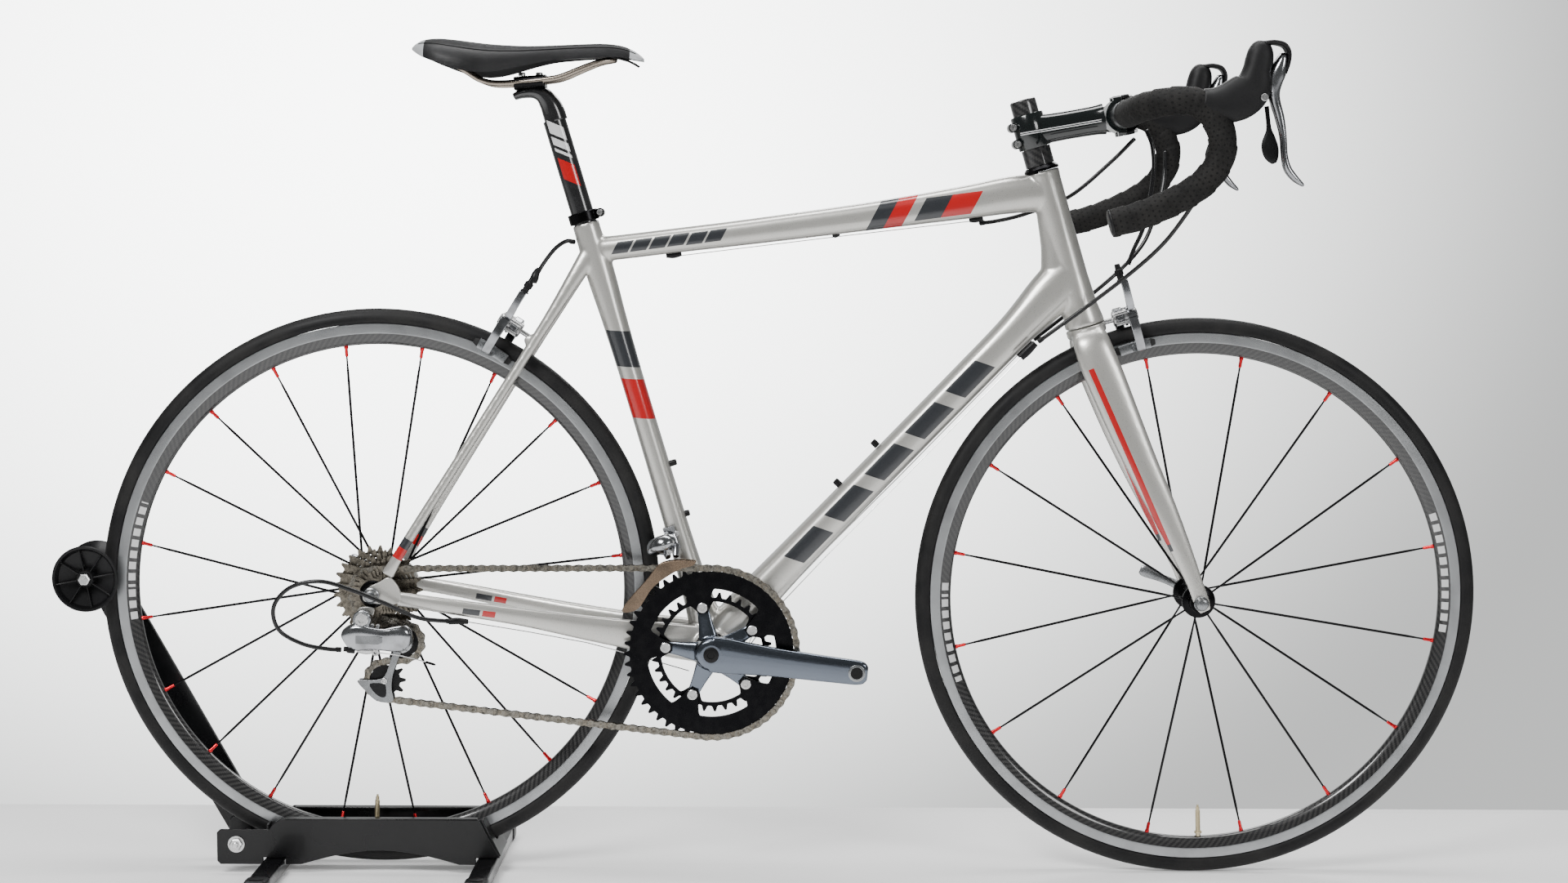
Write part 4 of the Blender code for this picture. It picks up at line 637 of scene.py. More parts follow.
class Shape:
    """One mesh under construction, with a UV map in metres and a material number for each face."""

    def __init__(self):
        self.bm = bmesh.new()
        self.uv = self.bm.loops.layers.uv.new("UV")

    def face(self, verts, uvs=None, mat=0):
        unique = list(dict.fromkeys(verts))
        if len(unique) < 3:
            return
        made = self.bm.faces.new(unique)
        made.material_index = mat
        if uvs:
            lookup = dict(zip(verts, uvs))
            for loop in made.loops:
                loop[self.uv].uv = lookup[loop.vert]

    def grid(self, rows, uv_rows, closed_rows=True, closed_columns=False, caps=True, mats=None):
        """Faces between rows of points; each row is a loop of vertices."""
        made = [[self.bm.verts.new(p) for p in row] for row in rows]
        pairs = list(range(len(made) - 1))
        if closed_columns:
            pairs.append(-1)
        for i in pairs:
            a, b = made[i], made[(i + 1) % len(made)]
            ua, ub = uv_rows[i], uv_rows[(i + 1) % len(made)]
            count = len(a)
            for j in range(count if closed_rows else count - 1):
                k = (j + 1) % count
                mat = mats(i, j) if mats else 0
                uvs = [ua[j], ua[j + 1], ub[j + 1], ub[j]]
                self.face([a[j], a[k], b[k], b[j]], uvs, mat)
        if caps and not closed_columns:
            self.face(made[0][::-1], mat=mats(0, 0) if mats else 0)
            self.face(made[-1], mat=mats(len(made) - 2, 0) if mats else 0)
        return made

    def lathe(self, profile, centre, axis=Y_AXIS, segments=64, mat=0, closed=None, mats=None):
        """Turns (radius, height) points about an axis. Off the axis the profile is a closed loop."""
        turn = Vector((0, 0, 1)).rotation_difference(Vector(axis)).to_matrix()
        centre = Vector(centre)
        solid = profile[0][0] == 0
        if closed is None:
            closed = not solid
        rows = []
        uvs = []
        run = 0.0
        previous = profile[0]
        for radius, height in profile:
            run += math.hypot(radius - previous[0], height - previous[1])
            previous = (radius, height)
            row = []
            for i in range(segments):
                angle = 2 * math.pi * i / segments
                row.append(
                    centre + turn @ Vector((radius * math.cos(angle), radius * math.sin(angle), height))
                )
            rows.append(row)
            girth = 2 * math.pi * max(p[0] for p in profile)
            uvs.append([(girth * i / segments, run) for i in range(segments + 1)])
        made = []
        for row, (radius, _) in zip(rows, profile):
            if radius == 0:
                tip = self.bm.verts.new(row[0])
                made.append([tip] * segments)
            else:
                made.append([self.bm.verts.new(p) for p in row])
        pairs = list(range(len(made) - 1)) + ([-1] if closed else [])
        for i in pairs:
            a, b = made[i], made[(i + 1) % len(made)]
            ua, ub = uvs[i], uvs[(i + 1) % len(made)]
            for j in range(segments):
                k = (j + 1) % segments
                which = mats(i) if mats else mat
                self.face([a[j], a[k], b[k], b[j]], [ua[j], ua[j + 1], ub[j + 1], ub[j]], which)

    def loft(self, sections, count=32, steps=6, mat=0, caps=True, ripple=None, side=(0, 1, 0)):
        """A solid through (x, y, z, half width, half height, power) sections, smoothly joined.

        The half width lies along side and the half height across it; power 2 is an ellipse.
        """
        sections = [tuple(s) if len(s) == 6 else (*s, 2.0) for s in sections]
        path = spline(sections, steps)
        points = [W(*s[:3]) for s in path]
        side = Vector(side)
        run = 0.0
        rows = []
        uvs = []
        for i, s in enumerate(path):
            before = points[max(i - 1, 0)]
            after = points[min(i + 1, len(points) - 1)]
            tangent = (after - before).normalized()
            side = (side - tangent * side.dot(tangent)).normalized()
            up = side.cross(tangent)
            if i:
                run += (points[i] - points[i - 1]).length
            row = []
            uv_row = []
            girth = 2 * math.pi * max(s[3], s[4])
            for j in range(count):
                angle = 2 * math.pi * j / count
                c, q = math.cos(angle), math.sin(angle)
                a = math.copysign(abs(c) ** (2 / s[5]), c) * s[3]
                b = math.copysign(abs(q) ** (2 / s[5]), q) * s[4]
                grow = 1.0 + (ripple(run, angle) if ripple else 0.0)
                row.append(points[i] + side * a * grow + up * b * grow)
            for j in range(count + 1):
                uv_row.append((run, girth * j / count))
            rows.append(row)
            uvs.append(uv_row)
        self.grid(rows, uvs, caps=caps, mats=(lambda i, j: mat))

    def tube(self, points, radius, count=12, steps=6, mat=0, straight=False):
        sections = [(*p, radius, radius, 2.0) for p in points]
        if straight:
            steps = 1
        self.loft(sections, count, steps, mat)

    def prism(self, outline, origin, across, up, thickness, mat=0, smooth_steps=0):
        """An outline in the across and up directions, extruded along their cross product."""
        origin, across, up = Vector(origin), Vector(across), Vector(up)
        if smooth_steps:
            outline = closed_spline(outline, smooth_steps)
        normal = across.cross(up).normalized()
        low = [self.bm.verts.new(origin + across * a + up * b) for a, b in outline]
        high = [self.bm.verts.new(v.co + normal * thickness) for v in low]
        count = len(low)
        for i in range(count):
            j = (i + 1) % count
            self.face([low[i], low[j], high[j], high[i]], mat=mat)
        self.face(low[::-1], mat=mat)
        self.face(high, mat=mat)

    def block(self, centre, size, turn=0.0, mat=0):
        place = Matrix.Translation(centre) @ Matrix.Rotation(-turn, 4, "Y") @ Matrix.Diagonal((*size, 1))
        made = bmesh.ops.create_cube(self.bm, size=1.0, matrix=place)
        for vert in made["verts"]:
            for face in vert.link_faces:
                face.material_index = mat

    def bolt(self, centre, axis, radius, height, mat=0, hexagon=False):
        """A screw head with a socket, or a hexagon nut, standing on centre."""
        socket = radius * 0.5
        profile = [
            (0, 0.0), (radius, 0.0), (radius, height * 0.75), (radius * 0.88, height), (socket, height),
            (socket * 0.95, height * 0.35), (0, height * 0.35),
        ]
        self.lathe(profile, centre, axis, 6 if hexagon else 20, mat)

    def ring(self, centre, count, outer, inner, y_low, y_high, mat=0, phase=0.0):
        """A flat ring whose outer and inner radii are functions of the angle."""
        corners = []
        for i in range(count):
            angle = phase + 2 * math.pi * i / count
            out = Vector((math.cos(angle), math.sin(angle))) * outer(i / count)
            inside = Vector((math.cos(angle), math.sin(angle))) * inner(i / count)
            row = []
            for point, y in ((out, y_low), (out, y_high), (inside, y_high), (inside, y_low)):
                row.append(self.bm.verts.new(W(centre[0] + point.x, y, centre[1] + point.y)))
            corners.append(row)
        for i in range(count):
            a, b = corners[i], corners[(i + 1) % count]
            for j in range(4):
                k = (j + 1) % 4
                self.face([a[j], a[k], b[k], b[j]], mat=mat)

    def finish(self, name, mats, body, replaces=(), slot=None, **options):
        bmesh.ops.recalc_face_normals(self.bm, faces=self.bm.faces)
        mesh = bpy.data.meshes.new(name)
        self.bm.to_mesh(mesh)
        self.bm.free()
        return place_object(name, mesh, mats, body, replaces, slot, **options)


def spline(rows, steps):
    """Catmull-Rom through tuples of numbers."""
    if steps <= 1:
        return [tuple(row) for row in rows]
    ends = [tuple(2 * a - b for a, b in zip(rows[0], rows[1])), *rows]
    ends.append(tuple(2 * a - b for a, b in zip(rows[-1], rows[-2])))
    made = []
    for p, q, r, s in zip(ends, ends[1:], ends[2:], ends[3:]):
        for step in range(steps):
            t = step / steps
            made.append(
                tuple(
                    0.5 * (
                        2 * b + (c - a) * t + (2 * a - 5 * b + 4 * c - d) * t**2
                        + (3 * b - a - 3 * c + d) * t**3
                    )
                    for a, b, c, d in zip(p, q, r, s)
                )
            )
    made.append(tuple(rows[-1]))
    return made


def closed_spline(points, steps):
    count = len(points)
    made = []
    for i in range(count):
        p, q, r, s = (points[(i + k - 1) % count] for k in range(4))
        for step in range(steps):
            t = step / steps
            made.append(
                tuple(
                    0.5 * (
                        2 * b + (c - a) * t + (2 * a - 5 * b + 4 * c - d) * t**2
                        + (3 * b - a - 3 * c + d) * t**3
                    )
                    for a, b, c, d in zip(p, q, r, s)
                )
            )
    return made


def flip(points):
    """Mirrors points, or sections that start with one, to the left side."""
    return [(p[0], -p[1], *p[2:]) for p in points]


def remeshed(name, shape, mats, body, replaces, voxel, rounds, slot=None):
    """Fuses overlapping lofts into one skin and melts their joints into fillets."""
    made = shape.finish(name, mats, body, replaces, slot, sharp=0)
    fuse = made.modifiers.new("fuse", "REMESH")
    fuse.mode = "VOXEL"
    fuse.voxel_size = voxel
    fuse.use_smooth_shade = True
    melt = made.modifiers.new("melt", "SMOOTH")
    melt.factor = 0.5
    melt.iterations = rounds
    return made


# ---------------------------------------------------------------- wheels


def make_wheel(name, axle, body, valve_angle):
    centre = at(axle, 0)
    tyre = Shape()
    profile = [(0.3166, -0.0092)]
    for i in range(25):
        angle = math.radians(-112 + 224 * i / 24)
        squeeze = 1.0 if abs(angle) > 0.5 else 1.0 - 0.012 * math.cos(angle * 3)
        profile.append((0.3225 + 0.0115 * math.cos(angle) * squeeze, 0.0115 * math.sin(angle)))
    profile.append((0.3166, 0.0092))
    tyre.lathe(profile, centre, segments=160)
    tyre.finish(f"{name}_tyre_skin", ["tyre"], body, [f"{name}_tyre"], "tyre_rubber", sharp=50)
    rim = Shape()
    profile = [
        (0.3163, -0.0091), (0.3158, -0.0098), (0.3060, -0.0100), (0.3045, -0.0098), (0.3035, -0.0094),
        (0.2985, -0.0084), (0.2945, -0.0066), (0.2920, -0.0040), (0.2911, 0.0000), (0.2920, 0.0040),
        (0.2945, 0.0066), (0.2985, 0.0084), (0.3035, 0.0094), (0.3045, 0.0098), (0.3060, 0.0100),
        (0.3158, 0.0098), (0.3163, 0.0091),
    ]
    silver = {0, 1, 2, 13, 14, 15, 16, -1}
    rim.lathe(profile, centre, segments=160, mats=lambda i: 0 if i in silver else 1)
    radial = Vector((math.cos(valve_angle), 0, math.sin(valve_angle)))
    valve = [
        (0, 0.2535), (0.0012, 0.2535), (0.0014, 0.2560), (0.0022, 0.2562), (0.0022, 0.2600), (0.0028, 0.2604),
        (0.0028, 0.2855), (0.0046, 0.2858), (0.0046, 0.2880), (0.0029, 0.2882), (0.0029, 0.2925), (0, 0.2925),
    ]
    rim.lathe(valve, centre, radial, 16, mat=2)
    for i in range(12):
        spot = 0.262 + i * 0.0019
        ridge = [(0.0027, spot), (0.0031, spot + 0.0005), (0.0027, spot + 0.0010)]
        rim.lathe(ridge, centre, radial, 14, mat=2)
    rim.finish(
        f"{name}_rim_hoop", ["track", f"{name}_fairing", "brass"], body, [f"{name}_rim"], "polished_alloy",
    )


def bladed_spoke(shape, start, end, tangent, mat=0):
    """Round at both ends and a flat blade between."""
    run = (end - start).normalized()
    thick = run.cross(tangent).normalized()
    wide = thick.cross(run).normalized()
    rows = []
    uvs = []
    for share, half_wide, half_thick in (
        (0.0, 0.0012, 0.0012), (0.05, 0.0011, 0.0011), (0.10, 0.0015, 0.0011), (0.92, 0.0015, 0.0011),
        (0.97, 0.0011, 0.0011), (1.0, 0.0011, 0.0011),
    ):
        centre = start.lerp(end, share)
        row = []
        for i in range(8):
            angle = 2 * math.pi * i / 8
            row.append(centre + wide * half_wide * math.cos(angle) + thick * half_thick * math.sin(angle))
        rows.append(row)
        uvs.append([(share * 0.27, i * 0.001) for i in range(9)])
    shape.grid(rows, uvs, mats=(lambda i, j: mat))


def make_spokes(name, axle, body, count, layout):
    """layout(i) gives the flange's distance to the left, its radius and the hub end's lead angle."""
    wires = Shape()
    nipples = Shape()
    for i in range(count):
        angle = SPOKE_PHASE + 2 * math.pi * i / count
        radial = Vector((math.cos(angle), 0, math.sin(angle)))
        tangent = Vector((-math.sin(angle), 0, math.cos(angle)))
        y, radius, lead = layout(i)
        hub_angle = angle + lead
        inner = at(axle, y) + Vector((math.cos(hub_angle), 0, math.sin(hub_angle))) * radius
        outer = at(axle, 0) + radial * 0.2905
        run = (outer - inner).normalized()
        bladed_spoke(wires, inner, outer - run * 0.010, tangent)
        profile = [
            (0, 0.0), (0.0014, 0.0), (0.0020, 0.0012), (0.0020, 0.0090), (0.0026, 0.0100), (0.0026, 0.0125),
            (0, 0.0125),
        ]
        nipples.lathe(profile, outer - run * 0.0115, run, 10)
    wires.finish(f"{name}_spokes", ["spoke"], body, (), "black_alloy")
    nipples.finish(f"{name}_nipples", ["red"], body, (), "black_alloy")


def make_front_hub():
    hub = Shape()
    profile = [
        (0.0055, -0.0455), (0.0100, -0.0455), (0.0120, -0.0440), (0.0125, -0.0405), (0.0150, -0.0392),
        (0.0195, -0.0385), (0.0200, -0.0365), (0.0195, -0.0340), (0.0140, -0.0325), (0.0108, -0.0280),
        (0.0100, -0.0200), (0.0100, 0.0200), (0.0108, 0.0280), (0.0140, 0.0325), (0.0195, 0.0340),
        (0.0200, 0.0365), (0.0195, 0.0385), (0.0150, 0.0392), (0.0125, 0.0405), (0.0120, 0.0440),
        (0.0100, 0.0455), (0.0055, 0.0455),
    ]
    hub.lathe(profile, at(FRONT_AXLE, 0), segments=64)
    hub.finish("front_hub_shell", ["black_metal"], "front_wheel", ["front_hub"], "black_alloy")
    make_spokes("front", FRONT_AXLE, "front_wheel", 16, lambda i: (0.0362 if i % 2 else -0.0362, 0.0185, 0.0))


def make_rear_hub():
    hub = Shape()
    profile = [
        (0.0055, -0.0190), (0.0190, -0.0190), (0.0230, -0.0182), (0.0238, -0.0165), (0.0230, -0.0146),
        (0.0160, -0.0120), (0.0125, -0.0040), (0.0120, 0.0260), (0.0150, 0.0320), (0.0205, 0.0342),
        (0.0212, 0.0362), (0.0205, 0.0380), (0.0150, 0.0392), (0.0130, 0.0420), (0.0125, 0.0560),
        (0.0110, 0.0600), (0.0055, 0.0600),
    ]
    hub.lathe(profile, at(REAR_AXLE, 0), segments=64)
    hub.finish("rear_hub_shell", ["black_metal"], "rear_wheel", ["rear_hub"], "black_alloy")

    def layout(i):
        if i % 2:
            return (-0.0165, 0.0215, 0.9 if i % 4 == 1 else -0.9)
        return (0.0362, 0.0195, 0.0)

    make_spokes("rear", REAR_AXLE, "rear_wheel", 20, layout)


def make_axle(name, axle, half, body, lever_body):
    """Skewer with its nut on the right and the cam head on the left, and the release lever."""
    shape = Shape()
    centre = at(axle, 0)
    nut = 0.0090 if half > 0.06 else 0.0085
    profile = [
        (0, -half - 0.0180), (0.0040, -half - 0.0180), (0.0062, -half - 0.0170), (0.0078, -half - 0.0120),
        (nut, -half - 0.0075), (nut, -half - 0.0060), (0.0025, -half - 0.0060), (0.0025, -half),
        (0.0082, -half), (0.0082, -half + 0.0033), (0.0050, -half + 0.0033), (0.0050, half - 0.0033),
        (0.0082, half - 0.0033), (0.0082, half), (0.0025, half), (0.0025, half + 0.0066),
        (0.0084, half + 0.0066), (0.0088, half + 0.0080), (0.0075, half + 0.0135), (0, half + 0.0138),
    ]
    shape.lathe(profile, centre, segments=40)
    ring = [
        (0.0079, -half - 0.0112), (nut + 0.0002, -half - 0.0104), (nut + 0.0002, -half - 0.0088),
        (0.0079, -half - 0.0080),
    ]
    shape.lathe(ring, centre, segments=40)
    for side in (-1, 1):
        washer = [(0.0026, 0.0005), (0.0118, 0.0005), (0.0122, 0.0010), (0.0118, 0.0024), (0.0026, 0.0024)]
        shape.lathe([(r, h + half) for r, h in washer], centre, (0, side, 0), 36, mat=1)
    shape.finish(
        f"{name}_skewer",
        ["satin", "black_metal"],
        body,
        [f"{name}_axle"],
        "polished_alloy",
        sharp=30,
    )
    lever = Shape()
    y = half + 0.0245
    sections = []
    for distance, thick, wide in (
        (-0.0070, 0.0030, 0.0045), (-0.0040, 0.0046, 0.0066), (0.0, 0.0050, 0.0080), (0.0060, 0.0046, 0.0074),
        (0.0160, 0.0030, 0.0052), (0.0300, 0.0024, 0.0050), (0.0440, 0.0024, 0.0064),
        (0.0540, 0.0022, 0.0070), (0.0585, 0.0014, 0.0048),
    ):
        lean = 0.0012 * (distance / 0.03) ** 2
        sections.append((axle[0] - 0.926 * distance, y + lean, axle[1] + 0.377 * distance, thick, wide, 2.3))
    lever.loft(sections, 24, 5)
    lever.finish(
        f"{name}_release_blade",
        ["satin"],
        lever_body,
        [f"{name}_release_lever"],
        "polished_alloy",
        sharp=0,
    )


# ---------------------------------------------------------------- frame and fork


def make_frame():
    s = Shape()
    bottom = 0.1897
    s.lathe(
        [
            (0, 0), (0.0200, 0), (0.0200, 0.004), (0.0195, 0.012), (0.0192, 0.070), (0.0195, 0.130),
            (0.0210, 0.165), (0.0234, 0.182), (0.0238, bottom), (0, bottom),
        ],
        at(HEAD_TOP, 0),
        D(STEER_DOWN),
        56,
    )
    s.loft(
        [
            (0.248, 0, 0.7462, 0.0150, 0.0150, 2.2), (0.285, 0, 0.7495, 0.0152, 0.0146, 2.4),
            (0.353, 0, 0.7577, 0.0157, 0.0146, 2.6), (0.424, 0, 0.7661, 0.0163, 0.0150, 2.7),
            (0.515, 0, 0.7777, 0.0170, 0.0159, 2.8), (0.606, 0, 0.7900, 0.0175, 0.0170, 2.8),
            (0.700, 0, 0.8040, 0.0180, 0.0198, 2.7), (0.745, 0, 0.8115, 0.0184, 0.0218, 2.5),
            (0.790, 0, 0.8165, 0.0184, 0.0232, 2.2),
        ],
        36,
    )
    s.loft(
        [
            (0.402, 0, 0.2800, 0.0310, 0.0235, 2.4), (0.440, 0, 0.3215, 0.0292, 0.0238, 2.6),
            (0.500, 0, 0.3856, 0.0265, 0.0214, 2.8), (0.600, 0, 0.4892, 0.0246, 0.0205, 3.0),
            (0.700, 0, 0.5927, 0.0233, 0.0206, 3.0), (0.756, 0, 0.6508, 0.0226, 0.0216, 2.8),
            (0.796, 0, 0.6930, 0.0215, 0.0275, 2.5), (0.822, 0, 0.7190, 0.0192, 0.0300, 2.2),
        ],
        36,
    )
    web = [
        (0.7930, 0, 0.800, 0.0130, 0.0135, 2.3), (0.8015, 0, 0.755, 0.0150, 0.0155, 2.3),
        (0.8070, 0, 0.725, 0.0165, 0.0200, 2.3), (0.8140, 0, 0.695, 0.0170, 0.0220, 2.3),
    ]
    s.loft(web, 28)
    sections = []
    for up, across, fore in (
        (0.000, 0.0260, 0.0210), (0.030, 0.0250, 0.0205), (0.070, 0.0220, 0.0172), (0.140, 0.0184, 0.0146),
        (0.240, 0.0176, 0.0137), (0.340, 0.0176, 0.0137), (0.410, 0.0177, 0.0150), (0.450, 0.0178, 0.0166),
        (0.480, 0.0175, 0.0172), (0.505, 0.0168, 0.0163), (0.5283, 0.0163, 0.0159),
    ):
        sections.append((*at_flat(seat_line(up)), across, fore, 2.1))
    s.loft(sections, 36)
    s.lathe(
        [(0, -0.0338), (0.0243, -0.0338), (0.0246, 0), (0.0243, 0.0338), (0, 0.0338)],
        at(BOTTOM_BRACKET, 0),
        segments=56,
    )
    chain_stay = [
        (0.402, -0.0190, 0.2755, 0.0090, 0.0222, 2.2), (0.362, -0.0242, 0.2815, 0.0085, 0.0218, 2.4),
        (0.310, -0.0298, 0.2895, 0.0080, 0.0185, 2.6), (0.250, -0.0383, 0.3000, 0.0080, 0.0150, 2.7),
        (0.175, -0.0500, 0.3145, 0.0074, 0.0110, 2.7), (0.090, -0.0632, 0.3290, 0.0054, 0.0094, 2.6),
        (0.030, -0.0672, 0.3385, 0.0030, 0.0090, 2.4),
    ]
    seat_stay = [
        (0.256, -0.0070, 0.7480, 0.0080, 0.0120, 2.2), (0.236, -0.0138, 0.7160, 0.0072, 0.0092, 2.1),
        (0.208, -0.0203, 0.6700, 0.0064, 0.0070, 2.0), (0.180, -0.0254, 0.6260, 0.0060, 0.0062, 2.0),
        (0.120, -0.0398, 0.5310, 0.0058, 0.0059, 2.0), (0.060, -0.0573, 0.4360, 0.0054, 0.0060, 2.0),
        (0.030, -0.0662, 0.3870, 0.0040, 0.0066, 2.1), (0.018, -0.0676, 0.3660, 0.0030, 0.0080, 2.3),
    ]
    for stay in (chain_stay, seat_stay):
        s.loft(stay, 24)
        s.loft(flip(stay), 24)
    s.loft(
        [(0.183, y, 0.640, 0.0075, 0.0062, 2.0) for y in (-0.026, -0.012, 0.0, 0.012, 0.026)],
        20,
        side=(1, 0, 0),
    )
    remeshed("frame_shell", s, ["frame"], "bicycle", ["frame"], 0.0017, 7, "silver_paint")
    outline = [
        (-0.0100, 0.3440), (-0.0040, 0.3520), (0.0080, 0.3580), (0.0200, 0.3640), (0.0290, 0.3560),
        (0.0340, 0.3440), (0.0300, 0.3330), (0.0100, 0.3325), (-0.0060, 0.3345), (-0.0105, 0.3385),
    ]
    for word, low, high in (("right", -0.0702, -0.0654), ("left", 0.0654, 0.0702)):
        plate = Shape()
        plate.prism(outline, W(0, high, 0), (1, 0, 0), (0, 0, 1), high - low, smooth_steps=5)
        plate.finish(f"dropout_{word}", ["plain_paint"], "bicycle", (), "silver_paint", bevel=0.0006)
    hanger = Shape()
    outline = [
        (-0.0150, 0.3280), (0.0020, 0.3275), (0.0000, 0.3160), (-0.0050, 0.3092), (-0.0135, 0.3092),
        (-0.0180, 0.3160),
    ]
    hanger.prism(outline, W(0, -0.0655, 0), (1, 0, 0), (0, 0, 1), 0.0047, smooth_steps=4)
    hanger.finish(
        "hanger_plate",
        ["plain_paint"],
        "bicycle",
        ["derailleur_hanger"],
        "silver_paint",
        bevel=0.0005,
    )
    fittings = Shape()
    for x, z in ((0.5919, 0.5165), (0.5473, 0.4693)):
        spot = W(x, 0, z)
        fittings.bolt(spot - Vector(DOWN_TUBE_OUT) * 0.0035, Vector(DOWN_TUBE_OUT), 0.0040, 0.0085)
    for x, z in ((0.3502, 0.4933), (0.3657, 0.4325)):
        spot = W(x, 0, z)
        fittings.bolt(spot - Vector(SEAT_TUBE_OUT) * 0.0035, Vector(SEAT_TUBE_OUT), 0.0038, 0.0080)
    for x, z, length in ((0.7095, 0.7838, 0.016), (0.5433, 0.7655, 0.008), (0.3517, 0.7410, 0.018)):
        rear = (x - length / 2, 0.0, z - 0.001, 0.0030, 0.0028, 2.4)
        front = (x + length / 2, 0.0, z + 0.002, 0.0034, 0.0034, 2.4)
        fittings.loft([rear, (x, 0.0, z, 0.0042, 0.0042, 2.4), front], 16, 4)
    for y in (-0.0265, 0.0265):
        fittings.loft(
            [
                (0.7620, y, 0.6210, 0.0026, 0.0040, 2.4),
                (0.7700, y, 0.6290, 0.0034, 0.0048, 2.4),
                (0.7790, y, 0.6385, 0.0034, 0.0040, 2.4),
            ],
            16,
            4,
        )
    fittings.loft(
        [
            (0.0900, -0.0700, 0.3120, 0.0034, 0.0036, 2.4),
            (0.1000, -0.0680, 0.3125, 0.0040, 0.0040, 2.4),
            (0.1120, -0.0640, 0.3110, 0.0026, 0.0030, 2.4),
        ],
        16,
        4,
    )
    fittings.finish("frame_fittings", ["plastic"], "bicycle", (), "black_alloy", sharp=30)
    wires = Shape()
    wires.tube([(0.7030, 0.0, 0.7812), (0.5433, 0.0, 0.7625), (0.3560, 0.0, 0.7395)], 0.0007, 6, 2)
    wires.tube(
        [(0.1120, -0.0636, 0.3106), (0.2500, -0.0430, 0.2830), (0.3700, -0.0200, 0.2455)],
        0.0007,
        6,
        2,
    )
    for y in (-0.0270, 0.0270):
        wires.tube(
            [(0.7630, y, 0.6220), (0.6200, y, 0.4735), (0.4700, y * 1.15, 0.3180), (0.4300, y * 0.6, 0.2480)],
            0.0007,
            6,
            2,
        )
    wires.finish("bare_wires", ["zinc"], "bicycle", (), "nickel_steel")


def at_flat(point):
    """A side-view point as rear-axle x, y, z numbers."""
    return (point[0], 0.0, point[1])


def make_fork():
    s = Shape()
    crown = HEAD_LENGTH + 0.0004
    s.lathe(
        [
            (0, crown), (0.0236, crown), (0.0240, crown + 0.003), (0.0238, crown + 0.009),
            (0.0215, crown + 0.0118), (0, crown + 0.0118),
        ],
        at(HEAD_TOP, 0),
        D(STEER_DOWN),
        48,
    )
    a = steer(crown + 0.0060)
    b = steer(crown + 0.0190)
    blade = [
        (a[0], -0.0135, a[1], 0.0090, 0.0195, 2.2), (b[0], -0.0232, b[1], 0.0108, 0.0218, 2.2),
        (0.8520, -0.0283, 0.6200, 0.0108, 0.0228, 2.3), (0.8622, -0.0327, 0.5950, 0.0100, 0.0230, 2.4),
        (0.8830, -0.0380, 0.5450, 0.0090, 0.0214, 2.4), (0.9050, -0.0428, 0.4950, 0.0080, 0.0190, 2.3),
        (0.9275, -0.0468, 0.4476, 0.0070, 0.0165, 2.3), (0.9500, -0.0503, 0.3980, 0.0056, 0.0128, 2.2),
        (0.9660, -0.0526, 0.3600, 0.0038, 0.0100, 2.3), (0.9760, -0.0531, 0.3330, 0.0030, 0.0095, 2.5),
        (0.9800, -0.0531, 0.3240, 0.0024, 0.0070, 2.5),
    ]
    s.loft(blade, 32)
    s.loft(flip(blade), 32)
    remeshed("fork_shell", s, ["fork"], "fork", ["fork"], 0.0016, 6, "silver_paint")
    steerer = Shape()
    steerer.lathe(
        [
            (0, -0.0872), (0.0130, -0.0872), (0.0150, -0.0862), (0.0155, -0.0845), (0.0155, -0.0690),
            (0.0143, -0.0690), (0.0143, -0.0050), (0, -0.0050),
        ],
        at(HEAD_TOP, 0),
        D(STEER_DOWN),
        56,
    )
    steerer.finish("steerer_tube", ["carbon"], "fork", (), "gloss_carbon", sharp=30)
    stack = Shape()
    spacer = [
        (0.0145, -0.0285), (0.0168, -0.0285), (0.0171, -0.0280), (0.0171, -0.0078), (0.0168, -0.0073),
        (0.0145, -0.0073),
    ]
    stack.lathe(spacer, at(HEAD_TOP, 0), D(STEER_DOWN), 56, mat=0)
    cap = [
        (0.0145, -0.0072), (0.0175, -0.0070), (0.0188, -0.0056), (0.0206, -0.0036), (0.0207, -0.0006),
        (0.0200, -0.0003), (0.0145, -0.0003),
    ]
    stack.lathe(cap, at(HEAD_TOP, 0), D(STEER_DOWN), 56, mat=1)
    stack.finish(
        "headset_rings",
        ["carbon", "black_metal"],
        "fork",
        ["headset_stack"],
        "gloss_carbon",
        sharp=30,
    )


# ---------------------------------------------------------------- stem and bars


